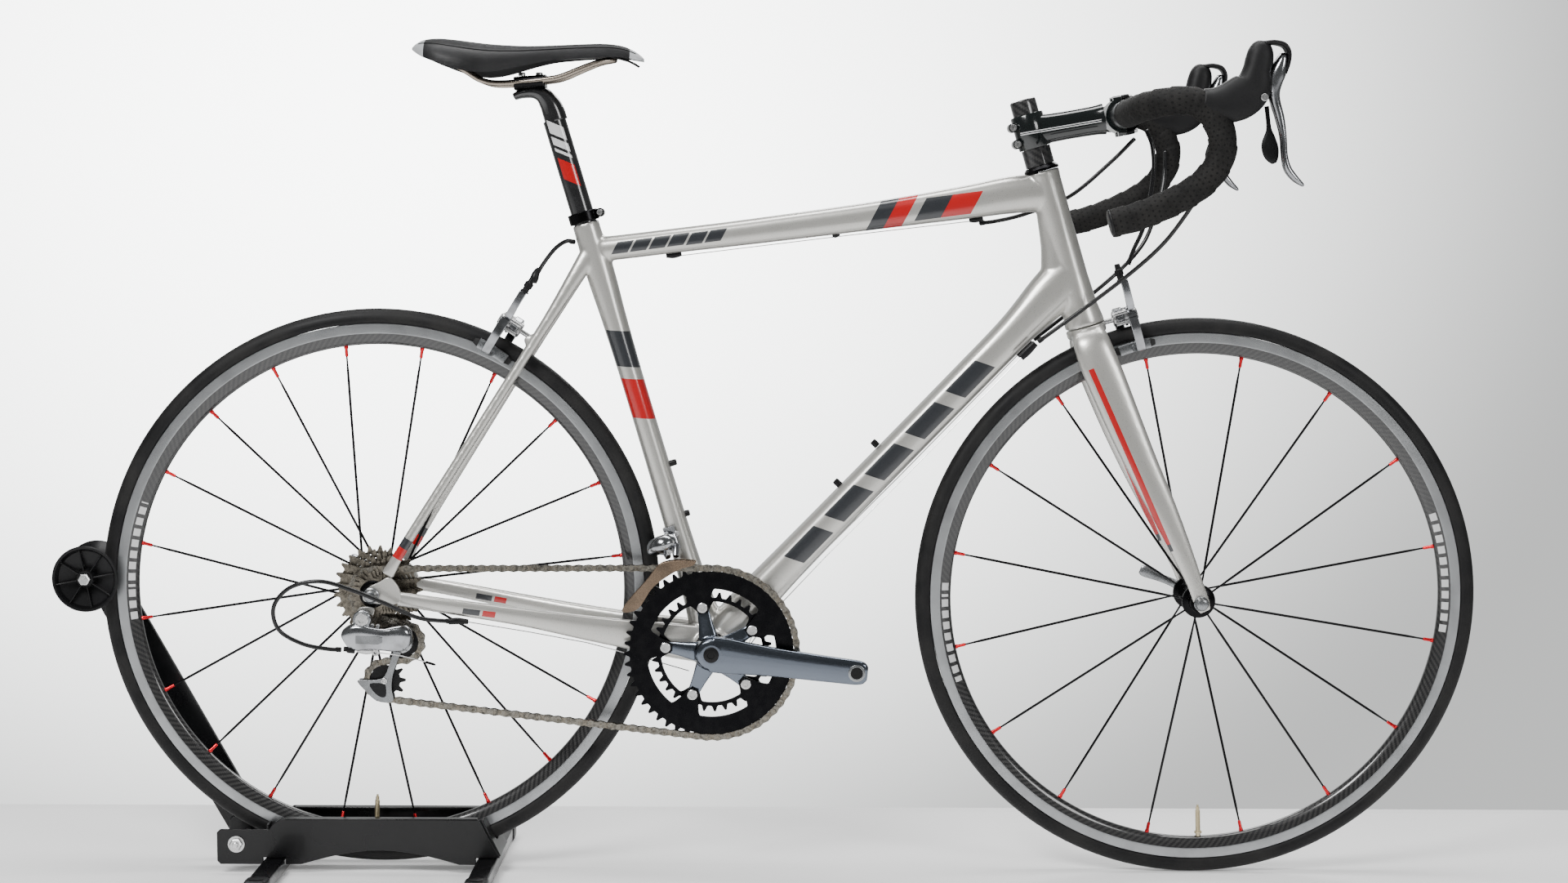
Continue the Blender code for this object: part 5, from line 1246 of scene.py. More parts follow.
def make_stem():
    start = at(steer(-0.049), 0)
    clamp = at(BAR_CENTRE, 0)
    reach = (clamp - start).normalized()
    up = Vector((-reach.z, 0, reach.x))
    s = Shape()
    s.lathe(
        [
            (0.0146, -0.0288), (0.0185, -0.0288), (0.0194, -0.0300), (0.0196, -0.0490), (0.0194, -0.0678),
            (0.0185, -0.0692), (0.0146, -0.0692),
        ],
        at(HEAD_TOP, 0),
        D(STEER_DOWN),
        56,
    )
    rows = []
    for share, across, high in (
        (0.10, 0.0165, 0.0185), (0.22, 0.0165, 0.0172), (0.45, 0.0162, 0.0168), (0.68, 0.0168, 0.0172),
        (0.80, 0.0190, 0.0186),
    ):
        p = start.lerp(clamp, share)
        rows.append((p.x + ORIGIN_X, p.y, p.z, across, high, 2.7))
    s.loft(rows, 32, 6)
    half = 0.0215
    lift = math.atan2(reach.z, reach.x)
    arc = []
    for i in range(15):
        angle = math.radians(90 + 180 * i / 14) + lift
        arc.append(
            (BAR_CENTRE[0] - ORIGIN_X + 0.0209 * math.cos(angle), BAR_CENTRE[1] + 0.0209 * math.sin(angle))
        )
    for i in range(14, -1, -1):
        angle = math.radians(90 + 180 * i / 14) + lift
        arc.append(
            (BAR_CENTRE[0] - ORIGIN_X + 0.0164 * math.cos(angle), BAR_CENTRE[1] + 0.0164 * math.sin(angle))
        )
    s.prism(arc, (0, half, 0), (1, 0, 0), (0, 0, 1), 2 * half)
    for side in (-1, 1):
        for y in (-0.0145, 0.0145):
            lug = clamp + up * side * 0.0188 - reach * 0.0045
            s.lathe(
                [(0, -0.0045), (0.0048, -0.0045), (0.0048, 0.0045), (0, 0.0045)],
                lug + Vector((0, y, 0)),
                reach,
                20,
            )
    back = -D(STEER_FRONT)
    for down in (-0.0585, -0.0385):
        spot = at(steer(down), 0) + back * 0.0200
        s.lathe(
            [
                (0, -0.0135), (0.0050, -0.0135), (0.0056, -0.0120), (0.0056, 0.0120), (0.0050, 0.0135),
                (0, 0.0135),
            ],
            spot,
            Y_AXIS,
            20,
        )
    s.finish("stem_body", ["stem"], "fork", ["stem"], "black_alloy", sharp=38)
    bolts = Shape()
    for down in (-0.0585, -0.0385):
        spot = at(steer(down), 0) + back * 0.0200
        bolts.bolt(spot + Vector((0, -0.0130, 0)), (0, -1, 0), 0.0041, 0.0032)
        bolts.bolt(spot + Vector((0, 0.0130, 0)), (0, 1, 0), 0.0041, 0.0032)
    for side in (-1, 1):
        for y in (-0.0145, 0.0145):
            lug = clamp + up * side * 0.0188 + reach * 0.0100
            bolts.bolt(lug + Vector((0, y, 0)), reach, 0.0037, 0.0040)
    bolts.finish("stem_bolts", ["zinc"], "fork", (), "nickel_steel", sharp=25)
    face = Shape()
    arc = []
    for i in range(15):
        angle = math.radians(-88 + 176 * i / 14) + lift
        arc.append(
            (
                BAR_CENTRE[0] - ORIGIN_X + 0.0010 + 0.0209 * math.cos(angle),
                BAR_CENTRE[1] + 0.0209 * math.sin(angle),
            )
        )
    for i in range(14, -1, -1):
        angle = math.radians(-88 + 176 * i / 14) + lift
        arc.append(
            (
                BAR_CENTRE[0] - ORIGIN_X + 0.0010 + 0.0164 * math.cos(angle),
                BAR_CENTRE[1] + 0.0164 * math.sin(angle),
            )
        )
    face.prism(arc, (0, half, 0), (1, 0, 0), (0, 0, 1), 2 * half)
    for side in (-1, 1):
        for y in (-0.0145, 0.0145):
            lug = clamp + up * side * 0.0188 + reach * 0.0055
            face.lathe(
                [(0, -0.0045), (0.0048, -0.0045), (0.0048, 0.0045), (0, 0.0045)],
                lug + Vector((0, y, 0)),
                reach,
                20,
            )
    face.finish("stem_face", ["black_metal"], "fork", ["stem_faceplate"], "black_alloy", bevel=0.0005)


def bar_path():
    y = -BAR_HALF_WIDTH
    return [
        (BAR_CENTRE[0], 0.0, BAR_CENTRE[1]), (BAR_CENTRE[0], -0.060, BAR_CENTRE[1]), (0.8805, -0.130, 0.9065),
        (0.8880, -0.175, 0.9095), (0.9080, -0.202, 0.9130), (0.9320, -0.2115, 0.9125), (0.9530, y, 0.8985),
        (0.9640, y, 0.8760), (0.9640, y, 0.8540), (0.9530, y, 0.8330), (0.9330, y, 0.8150),
        (0.9020, y, 0.7985), (0.8700, y, 0.7860), (0.8455, y, 0.7794),
    ]


def make_bars():
    right = bar_path()
    path = flip(right)[::-1] + right[1:]
    sections = []
    for p in spline(path, 6):
        reach = abs(p[1])
        radius = 0.0120
        if reach < 0.062:
            radius = 0.0120 + 0.0039 * min(1.0, max(0.0, (0.058 - reach) / 0.018))
        sections.append((*p, radius, radius, 2.0))
    bar = Shape()
    bar.loft(sections, 28, 1)
    bar.finish("bar_tube", ["satin"], "fork", ["handlebar"], "black_alloy", sharp=0)
    for word, side in (("right", -1), ("left", 1)):
        half = right[1:] if side < 0 else flip(right[1:])
        route = spline(half, 22)
        kept = [p for p in route if abs(p[1]) > 0.058]
        wrap = 0.0215
        rows = [(*p, 0.0151, 0.0151, 2.0) for p in kept]

        def ripple(run, angle):
            turn = (run / wrap + angle / (2 * math.pi)) % 1.0
            lap = 0.085 * (1.0 - turn) if turn > 0.08 else 0.085 * (turn / 0.08)
            grain = noise.noise(Vector((run * 90, angle * 1.6, 3.1 * side)))
            return lap + 0.012 * grain

        tape = Shape()
        tape.loft(rows, 40, 1, ripple=ripple)
        tape.finish(f"tape_wrap_{word}", ["tape"], "fork", [f"bar_tape_{word}"], "bar_tape", sharp=0)
        end = Vector(kept[-1])
        before = Vector(kept[-4])
        run = (end - before).normalized()
        plug = Shape()
        plug.lathe(
            [(0, 0.0), (0.0150, 0.0), (0.0158, 0.0008), (0.0150, 0.0026), (0.0120, 0.0036), (0, 0.0040)],
            W(*end),
            run,
            32,
        )
        plug.finish(f"bar_plug_{word}", ["plastic"], "fork", (), "black_plastic", sharp=0)
        collar = Shape()
        first = kept[0]
        collar.lathe(
            [(0.0125, -0.006), (0.0163, -0.005), (0.0166, 0.0), (0.0163, 0.008), (0.0125, 0.009)],
            W(*first) + Vector((0, side * 0.004, 0)),
            Y_AXIS,
            36,
        )
        collar.finish(f"tape_finish_{word}", ["plastic"], "fork", (), "bar_tape", sharp=0)


def make_controls(word, side):
    """Hood, brake lever and shift paddle of one hand."""
    y = BAR_HALF_WIDTH * side
    hood = Shape()
    hood.loft(
        [
            (0.9420, y, 0.9110, 0.0162, 0.0158, 2.0), (0.9540, y, 0.9095, 0.0168, 0.0182, 2.1),
            (0.9700, y, 0.9110, 0.0170, 0.0222, 2.3), (0.9860, y, 0.9180, 0.0166, 0.0236, 2.4),
            (0.9975, y, 0.9300, 0.0162, 0.0212, 2.5), (1.0010, y, 0.9450, 0.0158, 0.0158, 2.5),
            (1.0035, y, 0.9570, 0.0154, 0.0152, 2.4), (1.0050, y, 0.9670, 0.0145, 0.0136, 2.3),
            (1.0060, y, 0.9745, 0.0115, 0.0098, 2.1), (1.0065, y, 0.9780, 0.0060, 0.0050, 2.0),
        ],
        36,
        6,
    )
    hood.finish(f"hood_cover_{word}", ["hood"], "fork", [f"hood_{word}"], "hood_rubber", sharp=0)
    trim = Shape()
    trim.lathe(
        [(0, -0.0172), (0.0036, -0.0172), (0.0042, -0.0166), (0.0042, 0.0166), (0.0036, 0.0172), (0, 0.0172)],
        W(1.0075, y, 0.9165),
        Y_AXIS,
        20,
    )
    trim.finish(f"lever_pin_{word}", ["zinc"], "fork", (), "polished_alloy")
    bezel = Shape()
    bezel.loft(
        [
            (1.0080, y, 0.9755, 0.0105, 0.0028, 2.6), (1.0190, y, 0.9765, 0.0112, 0.0030, 2.8),
            (1.0300, y, 0.9735, 0.0114, 0.0030, 2.8), (1.0350, y, 0.9650, 0.0112, 0.0028, 2.8),
            (1.0345, y, 0.9540, 0.0108, 0.0024, 2.8), (1.0315, y, 0.9430, 0.0100, 0.0018, 2.6),
        ],
        24,
        6,
    )
    bezel.finish(f"lever_bezel_{word}", ["plastic"], f"brake_lever_{word}", (), "black_plastic", sharp=0)
    blade = Shape()
    blade.loft(
        [
            (1.0290, y, 0.9650, 0.0070, 0.0030, 2.2), (1.0285, y, 0.9600, 0.0115, 0.0052, 2.5),
            (1.0245, y, 0.9460, 0.0128, 0.0088, 2.6), (1.0205, y, 0.9330, 0.0118, 0.0084, 2.5),
            (1.0200, y, 0.9210, 0.0100, 0.0064, 2.4), (1.0222, y, 0.9100, 0.0088, 0.0056, 2.4),
            (1.0268, y, 0.8950, 0.0080, 0.0052, 2.3), (1.0310, y, 0.8740, 0.0078, 0.0038, 2.3),
            (1.0328, y, 0.8540, 0.0078, 0.0036, 2.3), (1.0362, y, 0.8400, 0.0076, 0.0044, 2.3),
            (1.0440, y, 0.8296, 0.0070, 0.0040, 2.2), (1.0520, y, 0.8228, 0.0052, 0.0024, 2.1),
            (1.0545, y, 0.8208, 0.0030, 0.0012, 2.0),
        ],
        32,
        6,
    )
    blade.finish(
        f"lever_blade_{word}",
        ["alloy"],
        f"brake_lever_{word}",
        [f"brake_lever_{word}"],
        "polished_alloy",
        sharp=0,
    )
    inner = y - side * 0.0135
    paddle = Shape()
    paddle.loft(
        [
            (1.0148, inner, 0.9080, 0.0030, 0.0026, 2.2), (1.0165, inner, 0.8950, 0.0026, 0.0024, 2.2),
            (1.0178, inner, 0.8830, 0.0026, 0.0030, 2.2), (1.0184, inner, 0.8750, 0.0028, 0.0062, 2.4),
            (1.0188, inner, 0.8660, 0.0031, 0.0090, 2.6), (1.0205, inner, 0.8570, 0.0030, 0.0090, 2.6),
            (1.0228, inner, 0.8500, 0.0025, 0.0064, 2.4), (1.0245, inner, 0.8455, 0.0014, 0.0026, 2.0),
        ],
        24,
        6,
    )
    paddle.finish(
        f"paddle_{word}",
        ["plastic"],
        f"shift_paddle_{word}",
        [f"shift_paddle_{word}"],
        "black_plastic",
        sharp=0,
    )


# ---------------------------------------------------------------- brakes


def make_brake(name, centre, up, out, frame_body):
    up_3d = D(up)
    out_3d = D(out)
    middle = at(centre, 0)
    arm = [
        (-0.0085, 0.0020), (-0.0055, 0.0080), (0.0010, 0.0098), (0.0120, 0.0118), (0.0240, 0.0098),
        (0.0325, 0.0010), (0.0345, -0.0130), (0.0318, -0.0290), (0.0268, -0.0415), (0.0210, -0.0410),
        (0.0220, -0.0330), (0.0256, -0.0240), (0.0250, -0.0110), (0.0165, -0.0035), (0.0060, -0.0066),
        (-0.0030, -0.0082), (-0.0085, -0.0040),
    ]
    for word, side in (("right", -1), ("left", 1)):
        body = f"{name}_arm_{word}"
        across = Vector((0, side, 0))
        thick = 0.0105
        low = 0.0006 if word == "right" else -0.0110
        normal = across.cross(up_3d).normalized()
        start = middle + out_3d * (low if normal.dot(out_3d) > 0 else low + thick)
        s = Shape()
        s.prism(arm, start, across, up_3d, thick, smooth_steps=4)
        if word == "right":
            horn = [
                (0.0150, 0.0070), (0.0250, 0.0040), (0.0325, 0.0180), (0.0348, 0.0400), (0.0335, 0.0440),
                (0.0282, 0.0440), (0.0262, 0.0240),
            ]
            s.prism(horn, start, across, up_3d, thick * 0.8, smooth_steps=4)
        s.finish(f"{body}_forging", ["alloy"], body, [body], "polished_alloy", bevel=0.0013)
        grip = Shape()
        pad = middle + across * 0.0170 - up_3d * 0.0375
        rows = []
        for i in range(9):
            share = -0.5 + i / 8
            spot = pad + out_3d * share * 0.050 + up_3d * 0.0016 * (1 - (2 * share) ** 2)
            taper = 1.0 - 0.35 * max(0.0, abs(share) - 0.38) / 0.12
            rows.append(
                (spot.x + ORIGIN_X, spot.y - across.y * 0.0028, spot.z, 0.0020 * taper, 0.0050 * taper, 3.0)
            )
        grip.loft(rows, 20, 3, mat=1)
        rows = [(x, yy + across.y * 0.0042, z, a * 1.1, b * 1.25, p) for x, yy, z, a, b, p in rows[1:-1]]
        grip.loft(rows, 20, 3, mat=0)
        grip.bolt(pad + across * 0.0042, across, 0.0048, 0.0062, mat=0)
        grip.finish(f"{body}_pad", ["satin", "pad"], body, (), "black_plastic", sharp=35)
        trim = Shape()
        if word == "right":
            top = middle + across * 0.0310 + up_3d * 0.0440 + out_3d * 0.0038
            trim.lathe(
                [
                    (0, 0.0), (0.0052, 0.0), (0.0052, 0.0016), (0.0040, 0.0022), (0.0040, 0.0060),
                    (0.0046, 0.0066), (0.0046, 0.0130), (0.0036, 0.0140), (0.0032, 0.0200), (0, 0.0200),
                ],
                top,
                up_3d,
                24,
                mat=0,
            )
            for i in range(10):
                spin = 2 * math.pi * i / 10
                sidev = across * math.cos(spin) * 0.0045 + out_3d * math.sin(spin) * 0.0045
                trim.lathe(
                    [(0, 0.0068), (0.0007, 0.0070), (0.0007, 0.0128), (0, 0.0130)],
                    top + sidev,
                    up_3d,
                    6,
                    mat=0,
                )
            trim.bolt(
                middle + across * 0.0245 + up_3d * 0.0070 + out_3d * 0.0070,
                out_3d,
                0.0042,
                0.0040,
                mat=1,
            )
        else:
            trim.bolt(middle + out_3d * (-0.0112), -out_3d, 0.0060, 0.0030, mat=1, hexagon=True)
            clampp = middle + across * 0.0300 + up_3d * 0.0020 - out_3d * 0.0004
            trim.lathe(
                [(0, 0), (0.0055, 0), (0.0055, 0.0045), (0.0045, 0.0052), (0, 0.0052)],
                clampp,
                out_3d,
                24,
                mat=1,
            )
        trim.finish(f"{body}_fittings", ["plastic", "zinc"], body, (), "nickel_steel", sharp=30)
    pivot = Shape()
    barrel = [
        (0, -0.0150), (0.0078, -0.0150), (0.0090, -0.0142), (0.0090, -0.0116), (0.0072, -0.0112),
        (0.0072, -0.0016),
    ]
    barrel += [(0.0112, -0.0012), (0.0112, 0.0012), (0.0080, 0.0016), (0.0080, 0.0100), (0, 0.0100)]
    pivot.lathe(barrel, middle, out_3d, 36)
    for side in (-1, 1):
        for rise in (-0.006, 0.006):
            spot = middle + Vector((0, side * 0.0128, 0)) + up_3d * rise - out_3d * 0.0020
            pivot.lathe([(0, -0.0110), (0.0026, -0.0110), (0.0026, 0.0150), (0, 0.0150)], spot, out_3d, 12)
    pivot.lathe(
        [
            (0, 0.0108), (0.0068, 0.0108), (0.0068, 0.0142), (0.0058, 0.0152), (0.0030, 0.0154),
            (0.0028, 0.0125), (0, 0.0125),
        ],
        middle,
        out_3d,
        28,
    )
    pivot.finish(f"{name}_pivot", ["zinc"], f"{name}_arm_right", (), "nickel_steel", sharp=30)
    bolt = Shape()
    tail = 0.034 if name == "front_brake" else 0.026
    bolt.lathe(
        [
            (0, -0.0100 - tail), (0.0030, -0.0100 - tail), (0.0030, -0.0120), (0.0060, -0.0120),
            (0.0060, -0.0104), (0, -0.0104),
        ],
        middle,
        out_3d,
        20,
    )
    bolt.finish(f"{name}_mount", ["zinc"], frame_body, (), "nickel_steel", sharp=30)


# ---------------------------------------------------------------- seat


def make_seat():
    post = Shape()
    low = at_flat(seat_line(0.436))
    high = at_flat(seat_line(0.655))
    sections = []
    for share in (0.0, 0.2, 0.4, 0.6, 0.8, 1.0):
        sections.append((*[a + (b - a) * share for a, b in zip(low, high)], 0.0136, 0.0136, 2.0))
    post.loft(sections, 40, 2)
    post.finish("seatpost_tube", ["seatpost"], "seat", ["seatpost"], "gloss_carbon", sharp=30)
    head = Shape()
    head.loft(
        [
            (0.2135, 0, 0.8980, 0.0136, 0.0136, 2.0), (0.2100, 0, 0.9090, 0.0137, 0.0134, 2.0),
            (0.2055, 0, 0.9190, 0.0140, 0.0122, 2.1), (0.1975, 0, 0.9285, 0.0146, 0.0098, 2.3),
            (0.1870, 0, 0.9322, 0.0150, 0.0078, 2.5), (0.1740, 0, 0.9305, 0.0146, 0.0060, 2.5),
            (0.1640, 0, 0.9265, 0.0125, 0.0042, 2.3),
        ],
        32,
        6,
    )
    head.finish("seatpost_head", ["seatpost"], "seat", (), "gloss_carbon", sharp=0)
    clamp = Shape()
    for z, high_half in ((0.9385, 0.0032), (0.9475, 0.0036)):
        rows = []
        for x, half in (
            (0.1650, 0.0150), (0.1680, 0.0172), (0.1830, 0.0180), (0.1980, 0.0172), (0.2015, 0.0150),
        ):
            rows.append((x, 0, z + (x - 0.183) * 0.08, half, high_half, 3.4))
        clamp.loft(rows, 28, 4, mat=0)
    for y in (-0.0195, 0.0195):
        rows = [
            (x, y, 0.9435 + (x - 0.183) * 0.08, 0.0058, 0.0066, 2.6)
            for x in (0.1660, 0.1740, 0.1830, 0.1920, 0.2000)
        ]
        clamp.loft(rows, 20, 3, mat=0)
    for x in (0.1730, 0.1935):
        clamp.bolt(W(x, 0, 0.9510), (0, 0, 1), 0.0042, 0.0040, mat=1)
    clamp.finish("rail_clamp", ["black_metal", "zinc"], "seat", (), "black_alloy", sharp=32)
    rails = Shape()
    right = [
        (0.0860, -0.0290, 0.9700), (0.0980, -0.0268, 0.9625), (0.1120, -0.0252, 0.9540),
        (0.1260, -0.0238, 0.9455), (0.1430, -0.0230, 0.9415), (0.1700, -0.0220, 0.9425),
        (0.2050, -0.0220, 0.9460), (0.2220, -0.0208, 0.9495), (0.2450, -0.0168, 0.9590),
        (0.2650, -0.0120, 0.9665), (0.2790, -0.0055, 0.9690),
    ]
    rails.tube(right + [(0.2825, 0.0, 0.9692)] + flip(right)[::-1], 0.0035, 16, 5)
    rails.finish("saddle_rail_pair", ["titanium"], "seat", ["saddle_rails"], "titanium", sharp=0)
    stations = [
        (0.0470, 0.0240, 0.9838, 0.9800), (0.0520, 0.0400, 0.9870, 0.9765), (0.0620, 0.0545, 0.9912, 0.9705),
        (0.0780, 0.0655, 0.9926, 0.9640), (0.0980, 0.0694, 0.9912, 0.9570), (0.1200, 0.0678, 0.9884, 0.9525),
        (0.1400, 0.0600, 0.9864, 0.9525), (0.1600, 0.0488, 0.9853, 0.9560), (0.1820, 0.0372, 0.9848, 0.9615),
        (0.2100, 0.0268, 0.9856, 0.9672), (0.2400, 0.0222, 0.9870, 0.9700), (0.2700, 0.0200, 0.9878, 0.9715),
        (0.2920, 0.0178, 0.9852, 0.9715), (0.3060, 0.0145, 0.9795, 0.9695), (0.3140, 0.0100, 0.9740, 0.9680),
        (0.3172, 0.0050, 0.9705, 0.9672),
    ]
    stations = spline(stations, 5)
    rows = []
    uvs = []
    for x, wide, top, skirt in stations:
        drop = top - skirt
        half = []
        for i in range(15):
            a = i / 14
            spread = math.sin(a * math.pi / 2) ** 0.85
            fall = (1 - math.cos(a * math.pi / 2)) ** 1.5
            crown = 0.0006 * math.sin(min(1.0, a * 2.2) * math.pi)
            half.append((wide * spread, top + crown - drop * fall))
        inner = [
            (wide * 0.95, skirt + 0.0006),
            (wide * 0.80, skirt + drop * 0.22),
            (wide * 0.50, top - 0.0125 if drop > 0.02 else top - drop * 0.55),
            (0.0, top - 0.0120 if drop > 0.02 else top - drop * 0.5),
        ]
        row = [(y, z) for y, z in half] + inner
        row += [(-y, z) for y, z in inner[:-1]][::-1] + [(-y, z) for y, z in half[1:]][::-1]
        rows.append([W(x, y, z) for y, z in row])
        uvs.append([(x, 0.004 * j) for j in range(len(row) + 1)])
    pad = Shape()

    def pick(i, j):
        x = stations[min(i, len(stations) - 1)][0]
        under = 14 <= j <= 21
        if x > 0.2990:
            return 1
        if x < 0.0640:
            return 1
        return 2 if under else 0

    pad.grid(rows, uvs, mats=pick)
    saddle = pad.finish(
        "saddle_cover",
        ["leather", "pale", "plastic"],
        "seat",
        ["saddle_pad"],
        "saddle_cover",
        sharp=50,
    )
    seams = Shape()
    for side in (-1, 1):
        line = []
        for x, wide, top, skirt in stations[8:-8:2]:
            a = 0.60
            spread = math.sin(a * math.pi / 2) ** 0.85
            fall = (1 - math.cos(a * math.pi / 2)) ** 1.5
            line.append((x, side * wide * spread, top - (top - skirt) * fall + 0.0003))
        seams.tube(line, 0.0006, 6, 1)
    seams.finish("saddle_seams", ["plastic"], "seat", (), "saddle_cover", sharp=0)
    base = Shape()
    rows = []
    for x, wide, top, skirt in stations[8:-6:3]:
        z = top - 0.0145
        rows.append((x, 0, z, wide * 0.44, 0.0014, 3.2))
    base.loft(rows, 24, 1)
    base.finish("saddle_tray", ["plastic"], "seat", ["saddle_base"], "black_plastic", sharp=0)


def make_collar():
    centre = at(seat_line(0.5355), 0)
    s = Shape()
    profile = [
        (0.0140, -0.0062), (0.0174, -0.0062), (0.0180, -0.0052), (0.0180, 0.0052), (0.0174, 0.0062),
        (0.0140, 0.0062),
    ]
    s.lathe(profile, centre, D(SEAT_UP), 56)
    front = Vector((SEAT_UP[1], 0, -SEAT_UP[0]))
    ear = centre + front * 0.0205
    s.lathe(
        [(0, -0.0095), (0.0046, -0.0095), (0.0052, -0.0088), (0.0052, -0.0010), (0, -0.0010)],
        ear,
        Y_AXIS,
        24,
    )
    s.lathe([(0, 0.0010), (0.0052, 0.0010), (0.0052, 0.0088), (0.0046, 0.0095), (0, 0.0095)], ear, Y_AXIS, 24)
    s.bolt(ear - Vector((0, 0.0090, 0)), (0, -1, 0), 0.0036, 0.0030, mat=1)
    s.finish("seat_clamp", ["black_metal", "zinc"], "bicycle", ["seat_collar"], "black_alloy", sharp=30)


# ---------------------------------------------------------------- drive train


def pitch_radius(teeth):
    return CHAIN_PITCH / (2 * math.sin(math.pi / teeth))


def toothed(teeth):
    """The radius at a share of a turn, with a tooth tip at each whole number of teeth."""
    pitch = pitch_radius(teeth)
    low = pitch - 0.0040
    high = pitch + 0.0026

    def radius(share):
        phase = (share * teeth + 0.5) % 1.0
        distance = abs(phase - 0.5) * 2
        if distance < 0.16:
            return high
        rise = min(1.0, (distance - 0.16) / 0.52)
        return high - (high - low) * math.sin(rise * math.pi / 2) ** 1.3

    return radius


def make_cassette():
    s = Shape()
    teeth = [11, 12, 13, 14, 15, 17, 19, 21, 23, 25]
    chain_cog = teeth.index(14)
    for i, count in enumerate(teeth):
        y = COG_Y + (i - chain_cog) * 0.00385
        tip = toothed(count)
        limit = 0.0565
        scale = min(1.0, limit / (pitch_radius(count) + 0.0026))
        bore = 0.0165 if count > 13 else 0.0140
        spokes = 5 if count > 16 else 0
        depth = pitch_radius(count) * scale - 0.0075

        def inner(share, bore=bore, spokes=spokes, depth=depth):
            if not spokes or depth < bore + 0.003:
                return bore
            wave = math.cos(2 * math.pi * share * spokes)
            return depth if wave < 0.35 else bore

        s.ring(
            REAR_AXLE,
            count * 12,
            lambda t,
            tip=tip,
            scale=scale: tip(t) * scale,
            inner,
            y - 0.0008,
            y + 0.0008,
        )
        if i + 1 < len(teeth):
            edge = min(pitch_radius(count) - 0.0075, 0.030)
            s.lathe(
                [
                    (bore * 0.9, y + 0.0008), (max(edge * 0.75, bore + 0.002), y + 0.0008),
                    (max(edge * 0.75, bore + 0.002), y + 0.0030), (bore * 0.9, y + 0.0030),
                ],
                at(REAR_AXLE, 0),
                segments=36,
            )
    y = COG_Y - chain_cog * 0.00385
    s.lathe(
        [
            (0.0062, y - 0.0040), (0.0120, y - 0.0040), (0.0150, y - 0.0030), (0.0162, y - 0.0012),
            (0.0062, y - 0.0012),
        ],
        at(REAR_AXLE, 0),
        segments=36,
        mat=1,
    )
    s.lathe(
        [(0.0058, y - 0.0012), (0.0135, y - 0.0012), (0.0135, -0.0198), (0.0058, -0.0198)],
        at(REAR_AXLE, 0),
        segments=36,
    )
    s.finish("cassette_cogs", ["steel", "black_metal"], "cassette", ["cassette"], "nickel_steel", sharp=25)


def make_chainrings():
    s = Shape()
    tip = toothed(50)
    low, high = RING_Y - 0.0014, RING_Y + 0.0014

    def bays(tab, bay):
        """Five tabs reach in to the bolts, with open bays between them."""

        def inner(share):
            away = abs((share * 5 + 0.5) % 1.0 - 0.5) * 72
            rise = min(1.0, max(0.0, (away - 5.5) / 9.0))
            return tab + (bay - tab) * rise * rise * (3 - 2 * rise)

        return inner

    phase = math.radians(29.5)
    s.ring(BOTTOM_BRACKET, 600, tip, bays(0.0478, 0.0765), low, high, phase=phase)
    s.finish("big_ring", ["ring_black"], "crank", ["outer_chainring"], "black_alloy", sharp=25)
    s = Shape()
    s.ring(BOTTOM_BRACKET, 408, toothed(34), bays(0.0480, 0.0605), -0.0412, -0.0386, phase=phase)
    s.finish("small_ring", ["ring_black"], "crank", ["inner_chainring"], "nickel_steel", sharp=25)
    bolts = Shape()
    for i in range(5):
        angle = 2 * math.pi * i / 5 + phase
        spot = W(
            BOTTOM_BRACKET[0] + 0.055 * math.cos(angle),
            -0.0484,
            BOTTOM_BRACKET[1] + 0.055 * math.sin(angle),
        )
        bolts.bolt(spot, (0, -1, 0), 0.0060, 0.0016)
        bolts.lathe(
            [(0, 0), (0.0052, 0), (0.0052, 0.0014), (0, 0.0014)],
            spot + Vector((0, 0.0100, 0)),
            Y_AXIS,
            18,
        )
    bolts.finish("chainring_bolts", ["zinc"], "crank", (), "nickel_steel", sharp=25)


def arm_sections(direction, y_boss, y_eye):
    rows = []
    for distance, thick, wide in (
        (0.0, 0.0066, 0.0215), (0.020, 0.0070, 0.0215), (0.045, 0.0070, 0.0192), (0.085, 0.0066, 0.0170),
        (0.130, 0.0062, 0.0158), (0.158, 0.0060, 0.0152), (0.172, 0.0060, 0.0148), (0.181, 0.0056, 0.0128),
        (0.1855, 0.0040, 0.0080),
    ):
        share = min(1.0, distance / 0.172)
        ease = share * share * (3 - 2 * share)
        y = y_boss + (y_eye - y_boss) * ease
        rows.append(
            (
                BOTTOM_BRACKET[0] + direction[0] * distance,
                y,
                BOTTOM_BRACKET[1] + direction[1] * distance,
                thick,
                wide,
                3.0,
            )
        )
    return rows


